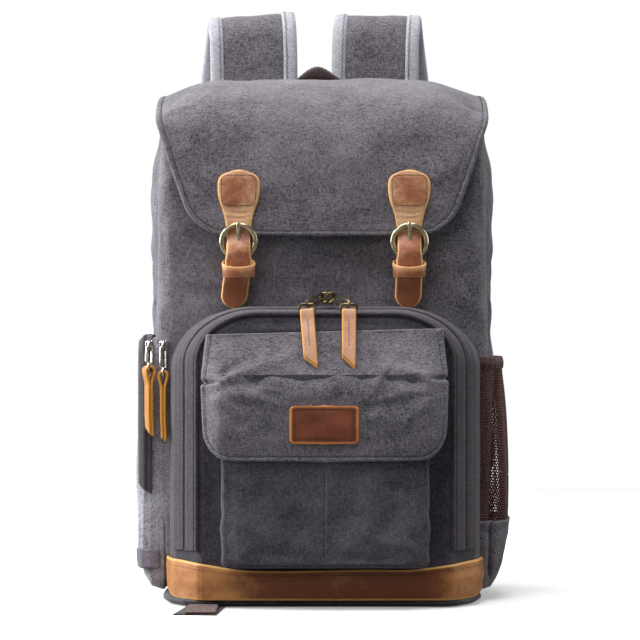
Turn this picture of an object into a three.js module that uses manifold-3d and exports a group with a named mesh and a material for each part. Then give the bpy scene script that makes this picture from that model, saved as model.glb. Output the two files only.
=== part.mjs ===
// A canvas camera backpack with leather trim, standing on its base with the flap buckled down.
// Millimetres, +Z up, front towards -Y. The origin is the middle of the flat underside.
import * as THREE from "three";
import { mergeVertices } from "three/addons/utils/BufferGeometryUtils.js";
import Module from "manifold-3d";

const wasm = await Module();
wasm.setup();

// Driving sizes of the bag
const HEIGHT = 440; // floor to the highest line of the closed flap
const BODY_WIDTH = 289; // widest place of the main bag, without the side pockets
const BODY_DEPTH = 135; // front wall to back wall of the main bag
const BODY_WALL = 5; // canvas, foam and lining together
const FRONT_POCKET_WIDTH = 257; // where it is sewn to the main bag
const FRONT_POCKET_X = 2.5; // its middle, a little right of the bag's
const FRONT_POCKET_DEPTH = 45;
const FRONT_POCKET_TOP = 244;
const FRONT_POCKET_CORNER_WIDTH = 66;
const FRONT_POCKET_CORNER_RISE = 51;
const CANVAS = 2; // single canvas wall with its lining
const LEATHER = 2.2;
const BASE_THICKNESS = 7;
const GAP = 0.3; // clearance kept between two pieces that touch
const SIDE_POCKET_START = 6; // how far behind the front wall the side pockets begin
const FRONT_Y = FRONT_POCKET_DEPTH / 2 - BODY_DEPTH / 2; // outside of the main bag's front wall
const BACK_Y = FRONT_Y + BODY_DEPTH;
const POCKET_Y = FRONT_Y - FRONT_POCKET_DEPTH; // front panel of the zipped front pocket
const BODY_BOTTOM = BASE_THICKNESS + GAP;
const SIDE_POCKET_FRONT = FRONT_Y + SIDE_POCKET_START;

// Colours and finishes
const finish = (color, roughness, metalness = 0) =>
  new THREE.MeshStandardMaterial({ color, roughness, metalness });
const canvasGrey = finish(0x57545a, 0.9);
const liningGrey = finish(0x3c3a40, 0.9);
const tapeGrey = finish(0x554c55, 0.8);
const bindingGrey = finish(0x9a9aa2, 0.8);
const tanLeather = finish(0x9a6238, 0.6);
const baseLeather = finish(0xa06a30, 0.55);
const paleLeather = finish(0xc08a5a, 0.65);
const brownWebbing = finish(0x3a2626, 0.8);
const brownMesh = finish(0x4a2b27, 0.85);
const blackFabric = finish(0x161618, 0.8);
const blackPlastic = finish(0x1b1b1d, 0.45);
const paleBrass = finish(0xc9bd97, 0.3, 1);
const agedBrass = finish(0x6f6240, 0.4, 1);
const nickel = finish(0xb9b4aa, 0.25, 1);

const root = new THREE.Group();

function addMesh(name, geometry, material) {
  const mesh = new THREE.Mesh(geometry, material);
  mesh.name = name;
  root.add(mesh);
  return mesh;
}

// A closed geometry from points and triangles, turned so that its faces point out.
function closedGeometry(points, triangles) {
  let volume = 0;
  for (const [a, b, c] of triangles)
    volume += points[a].dot(new THREE.Vector3().crossVectors(points[b], points[c])) / 6;
  const faces = volume < 0 ? triangles.map(([a, b, c]) => [a, c, b]) : triangles;
  const geometry = new THREE.BufferGeometry().setFromPoints(points);
  geometry.setIndex(faces.flat());
  geometry.computeVertexNormals();
  return geometry;
}

function solidOf(geometry) {
  const plain = geometry.clone();
  for (const name of Object.keys(plain.attributes))
    if (name !== "position") plain.deleteAttribute(name);
  const merged = mergeVertices(plain, 1e-4);
  return new wasm.Manifold(
    new wasm.Mesh({
      numProp: 3,
      vertProperties: new Float32Array(merged.attributes.position.array),
      triVerts: new Uint32Array(merged.index.array),
    }),
  );
}

function geometryOf(solid) {
  const mesh = solid.getMesh();
  const geometry = new THREE.BufferGeometry();
  geometry.setAttribute("position", new THREE.BufferAttribute(new Float32Array(mesh.vertProperties), 3));
  geometry.setIndex(new THREE.BufferAttribute(new Uint32Array(mesh.triVerts), 1));
  geometry.computeVertexNormals();
  return geometry;
}

// Rings of equal length joined in order. A fan closes each end, its middle raised by bulge,
// unless the triangles of a cap are given.
function loft(rings, bulge = new THREE.Vector3(), cap = null) {
  const count = rings[0].length;
  const points = rings.flat().map((p) => p.clone());
  const triangles = [];
  for (let k = 0; k + 1 < rings.length; k++)
    for (let i = 0; i < count; i++) {
      const a = k * count + i;
      const b = k * count + ((i + 1) % count);
      triangles.push([a, b, b + count], [a, b + count, a + count]);
    }
  const top = (rings.length - 1) * count;
  if (cap) {
    for (const [a, b, c] of cap) triangles.push([a, c, b], [top + a, top + b, top + c]);
    return closedGeometry(points, triangles);
  }
  const middleOf = (ring) =>
    ring.reduce((sum, p) => sum.add(p), new THREE.Vector3()).divideScalar(count);
  const first = points.push(middleOf(rings[0])) - 1;
  const last = points.push(middleOf(rings[rings.length - 1]).add(bulge)) - 1;
  for (let i = 0; i < count; i++) {
    const j = (i + 1) % count;
    triangles.push([first, j, i], [last, top + i, top + j]);
  }
  return closedGeometry(points, triangles);
}

// A sheet between two offsets of a grid of points, measured along the grid's own normals.
function sheet(grid, inner, outer) {
  const rows = grid.length;
  const columns = grid[0].length;
  const normalAt = (r, c) => {
    const along = new THREE.Vector3().subVectors(
      grid[Math.min(r + 1, rows - 1)][c],
      grid[Math.max(r - 1, 0)][c],
    );
    const across = new THREE.Vector3().subVectors(
      grid[r][Math.min(c + 1, columns - 1)],
      grid[r][Math.max(c - 1, 0)],
    );
    return along.cross(across).normalize();
  };
  const points = [];
  for (const offset of [inner, outer])
    for (let r = 0; r < rows; r++)
      for (let c = 0; c < columns; c++)
        points.push(grid[r][c].clone().addScaledVector(normalAt(r, c), offset));
  const layer = rows * columns;
  const at = (r, c) => r * columns + c;
  const triangles = [];
  for (let r = 0; r + 1 < rows; r++)
    for (let c = 0; c + 1 < columns; c++) {
      const [a, b, d, e] = [at(r, c), at(r, c + 1), at(r + 1, c), at(r + 1, c + 1)];
      triangles.push([a, d, e], [a, e, b]);
      triangles.push([layer + a, layer + e, layer + d], [layer + a, layer + b, layer + e]);
    }
  const rim = [];
  for (let c = 0; c + 1 < columns; c++) rim.push([at(0, c), at(0, c + 1)]);
  for (let r = 0; r + 1 < rows; r++) rim.push([at(r, columns - 1), at(r + 1, columns - 1)]);
  for (let c = columns - 1; c > 0; c--) rim.push([at(rows - 1, c), at(rows - 1, c - 1)]);
  for (let r = rows - 1; r > 0; r--) rim.push([at(r, 0), at(r - 1, 0)]);
  for (const [a, b] of rim) triangles.push([a, b, layer + b], [a, layer + b, layer + a]);
  return closedGeometry(points, triangles);
}

// A section carried along a path. Each step gives its place and its two section directions.
function sweep(steps, section) {
  return loft(
    steps.map(({ at, right, up }) =>
      section.map(([a, b]) => at.clone().addScaledVector(right, a).addScaledVector(up, b)),
    ),
  );
}

// Steps along a smooth curve whose section keeps its width along the given direction.
function stepsAlong(curve, count, widthDirection) {
  return Array.from({ length: count + 1 }, (_, i) => {
    const t = i / count;
    const tangent = curve.getTangentAt(t);
    const wide = widthDirection.clone();
    wide.addScaledVector(tangent, -wide.dot(tangent)).normalize();
    return { at: curve.getPointAt(t), right: wide, up: new THREE.Vector3().crossVectors(tangent, wide) };
  });
}

function roundSection(radius, sides = 6) {
  return Array.from({ length: sides }, (_, k) => {
    const angle = (2 * Math.PI * k) / sides;
    return [radius * Math.cos(angle), radius * Math.sin(angle)];
  });
}

// A flat strip of even thickness that follows a profile in the YZ plane, centred on x.
function profileStrip(profile, x, width, thickness) {
  const points = profile.map(([y, z]) => new THREE.Vector3(x, y, z));
  const curve = new THREE.CatmullRomCurve3(points, false, "centripetal");
  const steps = stepsAlong(curve, profile.length * 2 - 2, new THREE.Vector3(1, 0, 0));
  const [w, t] = [width / 2, thickness / 2];
  return sweep(steps, [[-w, -t], [w, -t], [w, t], [-w, t]]);
}

// A ring of wire: a circle or a loop stretched by length, in the plane of its two directions.
function wireLoop(centre, radius, wire, length, along, across, sides = 6, count = 16) {
  const out = new THREE.Vector3().crossVectors(along, across).normalize();
  const rings = [];
  for (let i = 0; i < count; i++) {
    const angle = (2 * Math.PI * i) / count;
    const radial = along.clone().multiplyScalar(Math.cos(angle)).addScaledVector(across, Math.sin(angle));
    const middle = centre.clone().addScaledVector(radial, radius);
    middle.addScaledVector(along, (Math.sign(Math.cos(angle)) * length) / 2);
    rings.push(
      Array.from({ length: sides }, (_, k) => {
        const turn = (2 * Math.PI * k) / sides;
        const onWire = middle.clone().addScaledVector(radial, wire * Math.cos(turn));
        return onWire.addScaledVector(out, wire * Math.sin(turn));
      }),
    );
  }
  const points = rings.flat();
  const triangles = [];
  for (let i = 0; i < count; i++)
    for (let k = 0; k < sides; k++) {
      const [a, b] = [i * sides + k, i * sides + ((k + 1) % sides)];
      const [c, d] = [((i + 1) % count) * sides + k, ((i + 1) % count) * sides + ((k + 1) % sides)];
      triangles.push([a, b, d], [a, d, c]);
    }
  return closedGeometry(points, triangles);
}

// A cut can leave slivers beside the piece: the piece is the largest of them.
function largest(solid) {
  return solid.decompose().sort((a, b) => b.volume() - a.volume())[0];
}

function boxBetween(low, high) {
  const size = high.map((value, i) => value - low[i]);
  const geometry = new THREE.BoxGeometry(...size);
  return geometry.translate(...low.map((value, i) => value + size[i] / 2));
}

function boxSolid(low, high) {
  return solidOf(boxBetween(low, high));
}

const lerp = THREE.MathUtils.lerp;
const smooth = (value, low, high) => THREE.MathUtils.smoothstep(value, low, high);

// Value of a column of a table at a place between its rows, along a smooth curve.
function column(table, key, share) {
  const place = share * (table.length - 1);
  const i = Math.min(Math.floor(place), table.length - 2);
  const value = (k) => table[THREE.MathUtils.clamp(k, 0, table.length - 1)][key];
  const [a, b, c, d] = [value(i - 1), value(i), value(i + 1), value(i + 2)];
  const t = place - i;
  const [square, cube] = [2 * a - 5 * b + 4 * c - d, 3 * b - a - 3 * c + d];
  return 0.5 * (2 * b + (c - a) * t + square * t * t + cube * t * t * t);
}

// Moves each point of a closed plane outline outwards, along the mean of its two edges' normals.
function growOutline(outline, distance) {
  return outline.map(([x, y], i) => {
    const [px, py] = outline[(i + outline.length - 1) % outline.length];
    const [nx, ny] = outline[(i + 1) % outline.length];
    const before = new THREE.Vector2(y - py, px - x).normalize();
    const after = new THREE.Vector2(ny - y, x - nx).normalize();
    const normal = before.clone().add(after).normalize();
    const reach = distance / Math.max(normal.dot(before), 0.6);
    return [x + normal.x * reach, y + normal.y * reach];
  });
}

// The main bag: a padded canvas shell that is open at the top, under the flap.
// out is a share of the half width, back a share of the depth behind the front wall.
// The side panel dips behind its front edge, where the soft wall folds in.
const BODY_PLAN = [
  { out: 0, back: -0.015 },
  { out: 0.45, back: -0.01 },
  { out: 0.8, back: 0.005 },
  { out: 0.905, back: 0.035 },
  { out: 0.95, back: 0.12 },
  { out: 0.965, back: 0.2 },
  { out: 0.95, back: 0.26 },
  { out: 0.99, back: 0.37 },
  { out: 1, back: 0.58 },
  { out: 0.985, back: 0.8 },
  { out: 0.95, back: 0.93 },
  { out: 0.88, back: 0.99 },
  { out: 0.45, back: 1 },
  { out: 0, back: 1 },
];
// up is a share of the height, width of the bag's width, lean moves the front wall back.
const BODY_SECTIONS = [
  { up: 0, width: 0.905, lean: 0.03 },
  { up: 0.045, width: 0.965, lean: 0.01 },
  { up: 0.11, width: 0.985, lean: 0 },
  { up: 0.3, width: 1, lean: 0 },
  { up: 0.78, width: 1, lean: 0 },
  { up: 0.87, width: 0.96, lean: 0.02 },
  { up: 1.02, width: 0.895, lean: 0.05 },
];

function bodyRings(grow, bottom, top) {
  return BODY_SECTIONS.map(({ up, width, lean }) => {
    const half = (BODY_WIDTH / 2) * width;
    const front = FRONT_Y + lean * BODY_DEPTH;
    const side = BODY_PLAN.map(({ out, back }) => [out * half, lerp(front, BACK_Y, back)]);
    const mirrored = side.slice(1, -1).reverse().map(([x, y]) => [-x, y]);
    const z = lerp(bottom, top, up);
    return growOutline([...side, ...mirrored], grow).map(([x, y]) => new THREE.Vector3(x, y, z));
  });
}

// Depth of the bag's front wall at a distance from its middle, as far as its rounded corner.
function bodyFrontAt(x) {
  const frontRows = BODY_PLAN.slice(0, 5);
  const share = Math.min(x / (BODY_WIDTH / 2), frontRows.at(-1).out);
  const i = frontRows.findIndex(({ out }, k) => k > 0 && out >= share);
  const [a, b] = [frontRows[i - 1], frontRows[i]];
  return lerp(FRONT_Y, BACK_Y, lerp(a.back, b.back, (share - a.out) / (b.out - a.out)));
}

const bodyOuter = (grow = 0) => solidOf(loft(bodyRings(grow, BODY_BOTTOM - grow, HEIGHT)));
const bodyTaken = bodyOuter(GAP);

// The top flap: doubled canvas hemmed on the back wall, folded over the mouth and hanging in front.
// back is a share of the depth, up of the height, width of the flap's width.
const FLAP_WIDTH = 275;
const FLAP_THICKNESS = 2.4;
const FLAP_HEM_CORNER = 24;
const FLAP_SIDE_DROOP = 15; // how far the sides fall below the middle on top
const FLAP_PROFILE = [
  { back: 1, up: 0.918, width: 0.955 },
  { back: 0.997, up: 0.952, width: 0.96 },
  { back: 0.965, up: 0.978, width: 0.965 },
  { back: 0.85, up: 0.99, width: 0.975 },
  { back: 0.62, up: 0.997, width: 0.99 },
  { back: 0.36, up: 0.987, width: 1 },
  { back: 0.13, up: 0.957, width: 1 },
  { back: 0.005, up: 0.912, width: 0.99 },
  { back: -0.045, up: 0.855, width: 0.94 },
  { back: -0.07, up: 0.785, width: 0.865 },
  { back: -0.085, up: 0.691, width: 0.753 },
];
const FLAP_SEAT = GAP + FLAP_THICKNESS / 2; // middle of the cloth off the walls it lies on

function flapProfilePoint(share) {
  const y = lerp(FRONT_Y - FLAP_SEAT, BACK_Y + FLAP_SEAT, column(FLAP_PROFILE, "back", share));
  return [y, HEIGHT * column(FLAP_PROFILE, "up", share)];
}

const FLAP_HEM_Z = flapProfilePoint(1)[1];

function flapPoint(across, share) {
  const [y, z] = flapProfilePoint(share);
  const toHem = z - FLAP_HEM_Z;
  const rounded = share > 0.8 ? Math.max(FLAP_HEM_CORNER - toHem, 0) : 0;
  const inset = FLAP_HEM_CORNER - Math.sqrt(Math.max(FLAP_HEM_CORNER ** 2 - rounded ** 2, 0));
  const half = (FLAP_WIDTH / 2) * column(FLAP_PROFILE, "width", share) - inset;
  const onTop = 1 - smooth(share, 0.55, 0.8);
  const droop = FLAP_SIDE_DROOP * smooth(Math.abs(across), 0.62, 1.05) * onTop;
  return new THREE.Vector3(across * half, y, z - droop);
}

const FLAP_ACROSS = [-1, -0.9, -0.76, -0.4, 0, 0.4, 0.76, 0.9, 1];
const FLAP_ALONG = [0, 0.1, 0.19, 0.29, 0.4, 0.5, 0.59, 0.67, 0.75, 0.84, 0.92, 0.965, 0.99, 1];
const flapGrid = FLAP_ALONG.map((share) => FLAP_ACROSS.map((across) => flapPoint(across, share)));

function buildBody() {
  const inside = bodyRings(-BODY_WALL, BODY_BOTTOM + BODY_WALL, HEIGHT + BODY_WALL);
  const aboveFlap = solidOf(sheet(flapGrid, -FLAP_THICKNESS / 2 - GAP, FLAP_SIDE_DROOP * 4));
  const shell = bodyOuter().subtract(solidOf(loft(inside))).subtract(aboveFlap);
  addMesh("body_shell", geometryOf(largest(shell)), canvasGrey);
}

function buildFlap() {
  addMesh("top_flap", sheet(flapGrid, -FLAP_THICKNESS / 2, FLAP_THICKNESS / 2), canvasGrey);
}

// The zipped front pocket: an arched shell whose open back is the main bag's front wall.
// out is a share of the pocket's depth, the other columns are shares of its arch's sizes.
const FRONT_POCKET_SECTIONS = [
  { out: -0.25, width: 1, top: 1, corner: 1 },
  { out: 0.06, width: 1, top: 1, corner: 1 },
  { out: 0.5, width: 0.956, top: 0.998, corner: 0.97 },
  { out: 0.86, width: 0.84, top: 0.984, corner: 0.8 },
  { out: 0.97, width: 0.8, top: 0.972, corner: 0.74 },
  { out: 1, width: 0.775, top: 0.955, corner: 0.68 },
];
const FRONT_PANEL_BULGE = 2.5;

// The pocket's arch at one section: up the left side, round two wide corners, down the right side.
function archOutline({ width, top, corner }, bottom, grow) {
  const half = (FRONT_POCKET_WIDTH / 2) * width + grow;
  const crown = FRONT_POCKET_TOP * top + grow;
  const across = FRONT_POCKET_CORNER_WIDTH * corner + grow;
  const rise = FRONT_POCKET_CORNER_RISE * corner + grow;
  const points = [0, 0.4, 0.75].map((share) => [-half, lerp(bottom, crown - rise, share)]);
  for (let i = 0; i <= 6; i++) {
    const angle = Math.PI - (i * Math.PI) / 12;
    points.push([-half + across + across * Math.cos(angle), crown - rise + rise * Math.sin(angle)]);
  }
  const right = points.slice().reverse().map(([x, z]) => [-x, z]);
  return [...points, [0, crown], ...right, [0, bottom]].map(([x, z]) => [x + FRONT_POCKET_X, z]);
}

function frontPocketRings(grow, bottom, depthGrow = grow) {
  return FRONT_POCKET_SECTIONS.map((section) => {
    const y = FRONT_Y - section.out * FRONT_POCKET_DEPTH - (section.out > 0.5 ? depthGrow : 0);
    return archOutline(section, bottom, grow).map(([x, z]) => new THREE.Vector3(x, y, z));
  });
}

function frontPocketOuter(grow, bottom = BODY_BOTTOM) {
  return solidOf(loft(frontPocketRings(grow, bottom), new THREE.Vector3(0, -FRONT_PANEL_BULGE, 0)));
}

const frontPocketTaken = frontPocketOuter(GAP, -HEIGHT);

function buildFrontPocket() {
  const inside = solidOf(
    loft(frontPocketRings(-CANVAS, BODY_BOTTOM + CANVAS), new THREE.Vector3(0, -FRONT_PANEL_BULGE, 0)));
  addMesh("front_pocket", geometryOf(frontPocketOuter(0).subtract(inside).subtract(bodyTaken)), canvasGrey);
}

// The zip round the front pocket's gusset: tape with its coil line raised along the middle.
const ZIP_TAPE_THICKNESS = 1.2;
const ZIP_TAPE_OUT = [0.5, 0.9]; // shares of the pocket's depth that the tape covers
const ZIP_COIL_WIDTH = 3;
const ZIP_COIL_RISE = 1;
const ZIP_END_Z = 46; // where the tape runs into its canvas end tab

function gussetSkin(inner, outer, outLow, outHigh, bottom, top = HEIGHT) {
  const skin = frontPocketOuter(outer, -HEIGHT).subtract(frontPocketOuter(inner, -HEIGHT));
  const [near, far] = [FRONT_Y - outLow * FRONT_POCKET_DEPTH, FRONT_Y - outHigh * FRONT_POCKET_DEPTH];
  return skin.intersect(boxSolid([-BODY_WIDTH, far, bottom], [BODY_WIDTH, near, top]));
}

function buildFrontZip() {
  const [low, high] = ZIP_TAPE_OUT;
  const tapeTop = GAP + ZIP_TAPE_THICKNESS;
  addMesh("front_zip_tape", geometryOf(gussetSkin(GAP, tapeTop, low, high, ZIP_END_Z)), tapeGrey);
  const middle = (low + high) / 2;
  const half = ZIP_COIL_WIDTH / FRONT_POCKET_DEPTH / 2;
  const coilFoot = tapeTop + GAP;
  const coil = gussetSkin(coilFoot, coilFoot + ZIP_COIL_RISE, middle - half, middle + half, ZIP_END_Z);
  addMesh("front_zip_coil", geometryOf(coil), tapeGrey);
}

// The corded piping that edges the front panel, from one foot of the arch to the other.
const PIPING_RADIUS = 1.7;

function buildPiping() {
  const section = FRONT_POCKET_SECTIONS[4];
  const outline = archOutline(section, ZIP_END_Z, PIPING_RADIUS + GAP * 2);
  const y = FRONT_Y - section.out * FRONT_POCKET_DEPTH - GAP;
  const path = outline.slice(0, -1).map(([x, z]) => new THREE.Vector3(x, y, z));
  const steps = path.map((at, i) => {
    const tangent = new THREE.Vector3().subVectors(
      path[Math.min(i + 1, path.length - 1)], path[Math.max(i - 1, 0)]).normalize();
    const back = new THREE.Vector3(0, 1, 0);
    return { at, right: back, up: new THREE.Vector3().crossVectors(tangent, back) };
  });
  const cord = solidOf(sweep(steps, roundSection(PIPING_RADIUS))).subtract(frontPocketTaken);
  addMesh("front_piping", geometryOf(cord), tapeGrey);
}

// The leather band round the foot of the front pocket. Its top edge sags in the middle.
const LEATHER_BAND_TOP = 37;
const LEATHER_BAND_SAG = 7;
const LEATHER_BAND_SAG_HALF = 84; // half the width of the sagging stretch
const LEATHER_BAND_CORNER = 14;

function buildLeatherBand() {
  const half = FRONT_POCKET_WIDTH / 2 + CANVAS;
  const back = SIDE_POCKET_FRONT - GAP;
  const face = new THREE.Shape();
  face.moveTo(-half, LEATHER_BAND_TOP);
  face.lineTo(-half, BASE_THICKNESS + LEATHER_BAND_CORNER);
  face.quadraticCurveTo(-half, BODY_BOTTOM, -half + LEATHER_BAND_CORNER, BODY_BOTTOM);
  face.lineTo(half - LEATHER_BAND_CORNER, BODY_BOTTOM);
  face.quadraticCurveTo(half, BODY_BOTTOM, half, BASE_THICKNESS + LEATHER_BAND_CORNER);
  face.lineTo(half, LEATHER_BAND_TOP);
  face.lineTo(half * 0.8, LEATHER_BAND_TOP - LEATHER_BAND_SAG * 0.3);
  face.lineTo(LEATHER_BAND_SAG_HALF, LEATHER_BAND_TOP - LEATHER_BAND_SAG);
  face.lineTo(-LEATHER_BAND_SAG_HALF, LEATHER_BAND_TOP - LEATHER_BAND_SAG);
  face.lineTo(-half * 0.8, LEATHER_BAND_TOP - LEATHER_BAND_SAG * 0.3);
  const reach = FRONT_POCKET_DEPTH * 2;
  const prism = new THREE.ExtrudeGeometry(face, { depth: reach, bevelEnabled: false, curveSegments: 4 });
  prism.rotateX(Math.PI / 2).translate(FRONT_POCKET_X, back, 0);
  const skin = frontPocketOuter(GAP + LEATHER, -HEIGHT).subtract(frontPocketTaken).subtract(bodyTaken);
  addMesh("leather_base_band", geometryOf(skin.intersect(solidOf(prism))), baseLeather);
}

// The padded floor of the bag, with rolled edges. Its underside is the face the bag stands on.
const BASE_ROLL = [
  { up: 0, inset: 9 },
  { up: 0.3, inset: 3 },
  { up: 0.7, inset: 0 },
  { up: 1, inset: 2 },
];
const BASE_FRONT_NARROWING = 0.8; // width of the pad's front edge as a share of its full width

function buildBasePad() {
  const half = (BODY_WIDTH / 2) * BODY_SECTIONS[0].width + 1;
  const front = POCKET_Y;
  const corner = FRONT_POCKET_DEPTH * 0.4;
  const plan = [
    [0, front], [half * BASE_FRONT_NARROWING, front], [half * 0.93, front + corner], [half, FRONT_Y],
    [half, BACK_Y - corner], [half - corner / 2, BACK_Y], [0, BACK_Y],
  ];
  const outline = [...plan, ...plan.slice(1, -1).reverse().map(([x, y]) => [-x, y])];
  const rings = BASE_ROLL.map(({ up, inset }) =>
    growOutline(outline, -inset).map(([x, y]) => new THREE.Vector3(x, y, up * BASE_THICKNESS)));
  addMesh("base_pad", loft(rings), liningGrey);
}

// The bellows pocket on the front panel, open at the top under its own flap.
const SMALL_POCKET_WIDTH = 168;
const SMALL_POCKET_DEPTH = 24;
const SMALL_POCKET_BOTTOM = 34;
const SMALL_POCKET_TOP = 204;
const SMALL_POCKET_Y = POCKET_Y - FRONT_PANEL_BULGE - SMALL_POCKET_DEPTH;
// out is a share of the pocket's depth, width of its width; the sides fold in like bellows.
const SMALL_POCKET_SECTIONS = [
  { out: -0.35, width: 0.97 },
  { out: 0.2, width: 0.97 },
  { out: 0.5, width: 0.94 },
  { out: 0.86, width: 1 },
  { out: 1, width: 0.96 },
];

function smallPocketRings(grow, top) {
  return SMALL_POCKET_SECTIONS.map(({ out, width }) => {
    const half = (SMALL_POCKET_WIDTH / 2) * width + grow;
    const y = lerp(POCKET_Y - FRONT_PANEL_BULGE, SMALL_POCKET_Y, out) - (out > 0.8 ? grow : 0);
    const bottom = SMALL_POCKET_BOTTOM + (out > 0.9 ? 3 : 0) - grow;
    const corner = 5;
    return [
      [-half, bottom + corner], [-half, lerp(bottom, top, 0.5)], [-half, top], [0, top], [half, top],
      [half, lerp(bottom, top, 0.5)], [half, bottom + corner], [half - corner, bottom], [0, bottom],
      [-half + corner, bottom],
    ].map(([x, z]) => new THREE.Vector3(x + FRONT_POCKET_X, y, z));
  });
}

// The small flap: hemmed to the front panel, darted at the sides so that it stands over the pocket.
const SMALL_FLAP_WIDTH = 197;
const SMALL_FLAP_X = 2;
const SMALL_FLAP_TOP = 223.5;
const SMALL_FLAP_HEM = 121;
const SMALL_FLAP_CORNER = 24;
const SMALL_FLAP_SIDE_TURN = 11; // how far the side edges turn back to the panel
const SMALL_FLAP_DART = 0.44; // where down each side a dart is sewn, as a share of the drop
const SMALL_FLAP_DART_HALF = 0.05; // half its height, as a share of the drop
const SMALL_FLAP_DART_DEPTH = 3.5;
// down is a share of the flap's drop, off of its stand over the front panel.
const SMALL_FLAP_PROFILE = [
  { down: 0, off: 0, width: 0.965 },
  { down: 0.07, off: 0.12, width: 0.972 },
  { down: 0.2, off: 0.42, width: 0.985 },
  { down: 0.38, off: 0.88, width: 1 },
  { down: 0.6, off: 1.02, width: 0.995 },
  { down: 0.8, off: 1.03, width: 0.985 },
  { down: 1, off: 1, width: 0.97 },
];
const SMALL_FLAP_OFF = SMALL_POCKET_DEPTH + FLAP_THICKNESS + GAP * 2;

function smallFlapPoint(across, share) {
  const z = lerp(SMALL_FLAP_TOP, SMALL_FLAP_HEM, column(SMALL_FLAP_PROFILE, "down", share));
  const rounded = Math.max(SMALL_FLAP_CORNER - (z - SMALL_FLAP_HEM), 0);
  const inset = SMALL_FLAP_CORNER - Math.sqrt(Math.max(SMALL_FLAP_CORNER ** 2 - rounded ** 2, 0));
  const half = (SMALL_FLAP_WIDTH / 2) * column(SMALL_FLAP_PROFILE, "width", share) - inset * 0.9;
  const seam = POCKET_Y - FRONT_PANEL_BULGE - FLAP_SEAT;
  const stand = SMALL_FLAP_OFF * column(SMALL_FLAP_PROFILE, "off", share);
  const x = across * half;
  const outside = smooth(Math.abs(x), (SMALL_POCKET_WIDTH / 2) * 0.98, (SMALL_FLAP_WIDTH / 2) * 1.02);
  const turned = SMALL_FLAP_SIDE_TURN * outside * Math.min(stand / SMALL_FLAP_OFF, 1);
  const atDart = 1 - smooth(Math.abs(share - SMALL_FLAP_DART), 0, SMALL_FLAP_DART_HALF);
  const dart = SMALL_FLAP_DART_DEPTH * atDart * smooth(Math.abs(across), 0.8, 1);
  return new THREE.Vector3(x - Math.sign(across) * dart + SMALL_FLAP_X, seam - stand + turned + dart, z);
}

const SMALL_FLAP_ACROSS = [-1, -0.93, -0.85, -0.45, 0, 0.45, 0.85, 0.93, 1];
const SMALL_FLAP_ALONG = [0, 0.12, 0.25, 0.38, 0.44, 0.5, 0.68, 0.82, 0.92, 0.975, 1];
const smallFlapGrid = SMALL_FLAP_ALONG.map((share) =>
  SMALL_FLAP_ACROSS.map((across) => smallFlapPoint(across, share)));

function buildSmallPocket() {
  const underFlap = solidOf(sheet(smallFlapGrid, -FLAP_THICKNESS / 2 - GAP, SMALL_POCKET_DEPTH));
  const outer = solidOf(loft(smallPocketRings(0, SMALL_POCKET_TOP)));
  const inner = solidOf(loft(smallPocketRings(-CANVAS, SMALL_FLAP_TOP)));
  const leatherY = POCKET_Y - FRONT_PANEL_BULGE - LEATHER - GAP * 2;
  const overLeather = boxSolid([-BODY_WIDTH, leatherY, 0], [BODY_WIDTH, BACK_Y, LEATHER_BAND_TOP]);
  const shell = outer.subtract(inner).subtract(frontPocketTaken).subtract(underFlap).subtract(overLeather);
  addMesh("small_pocket", geometryOf(largest(shell)), canvasGrey);
}

function buildSmallFlap() {
  addMesh("small_flap", sheet(smallFlapGrid, -FLAP_THICKNESS / 2, FLAP_THICKNESS / 2), canvasGrey);
}

// The bare leather patch sewn on the small flap.
const PATCH_WIDTH = 54;
const PATCH_HEIGHT = 30;
const PATCH_Z = 150;
const PATCH_THICKNESS = 1.8;

function buildPatch() {
  const shareAt = (z) => {
    let best = 0;
    for (let s = 0; s <= 1; s += 0.002)
      if (Math.abs(smallFlapPoint(0, s).z - z) < Math.abs(smallFlapPoint(0, best).z - z)) best = s;
    return best;
  };
  const across = PATCH_WIDTH / SMALL_FLAP_WIDTH;
  const shares = [PATCH_Z + PATCH_HEIGHT / 2, PATCH_Z, PATCH_Z - PATCH_HEIGHT / 2].map(shareAt);
  const grid = shares.map((share) => [-across, 0, across].map((u) => smallFlapPoint(u, share)));
  const seat = FLAP_THICKNESS / 2 + GAP;
  addMesh("leather_patch", sheet(grid, seat, seat + PATCH_THICKNESS), tanLeather);
}

// The zipped pocket on the left side, a shell whose open back is the main bag's side wall.
const SIDE_POCKET_BULGE = 10; // how far it stands out beyond the main bag
const SIDE_POCKET_DEPTH = 92;
const SIDE_POCKET_BOTTOM = 9;
const SIDE_POCKET_TOP = 220;
const SIDE_POCKET_CORNER = 12;
// out is a share of the stand-out, inset how far each edge draws in, foot how far the bottom rises.
const SIDE_POCKET_SECTIONS = [
  { out: -3, inset: 0, foot: 0 },
  { out: -1.05, inset: 0, foot: 0 },
  { out: -0.2, inset: 0.5, foot: 3 },
  { out: 0.45, inset: 2.5, foot: 12 },
  { out: 0.85, inset: 7, foot: 24 },
  { out: 1, inset: 14, foot: 40 },
];

function roundedOutline(low, high, radius, perCorner = 3) {
  const points = [];
  const corners = [
    [high[0], low[1], -90], [high[0], high[1], 0], [low[0], high[1], 90], [low[0], low[1], 180],
  ];
  for (const [cx, cy, start] of corners) {
    const middle = [cx + (cx === high[0] ? -radius : radius), cy + (cy === high[1] ? -radius : radius)];
    for (let i = 0; i <= perCorner; i++) {
      const angle = THREE.MathUtils.degToRad(start + (90 * i) / perCorner);
      points.push([middle[0] + radius * Math.cos(angle), middle[1] + radius * Math.sin(angle)]);
    }
  }
  return points;
}

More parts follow.
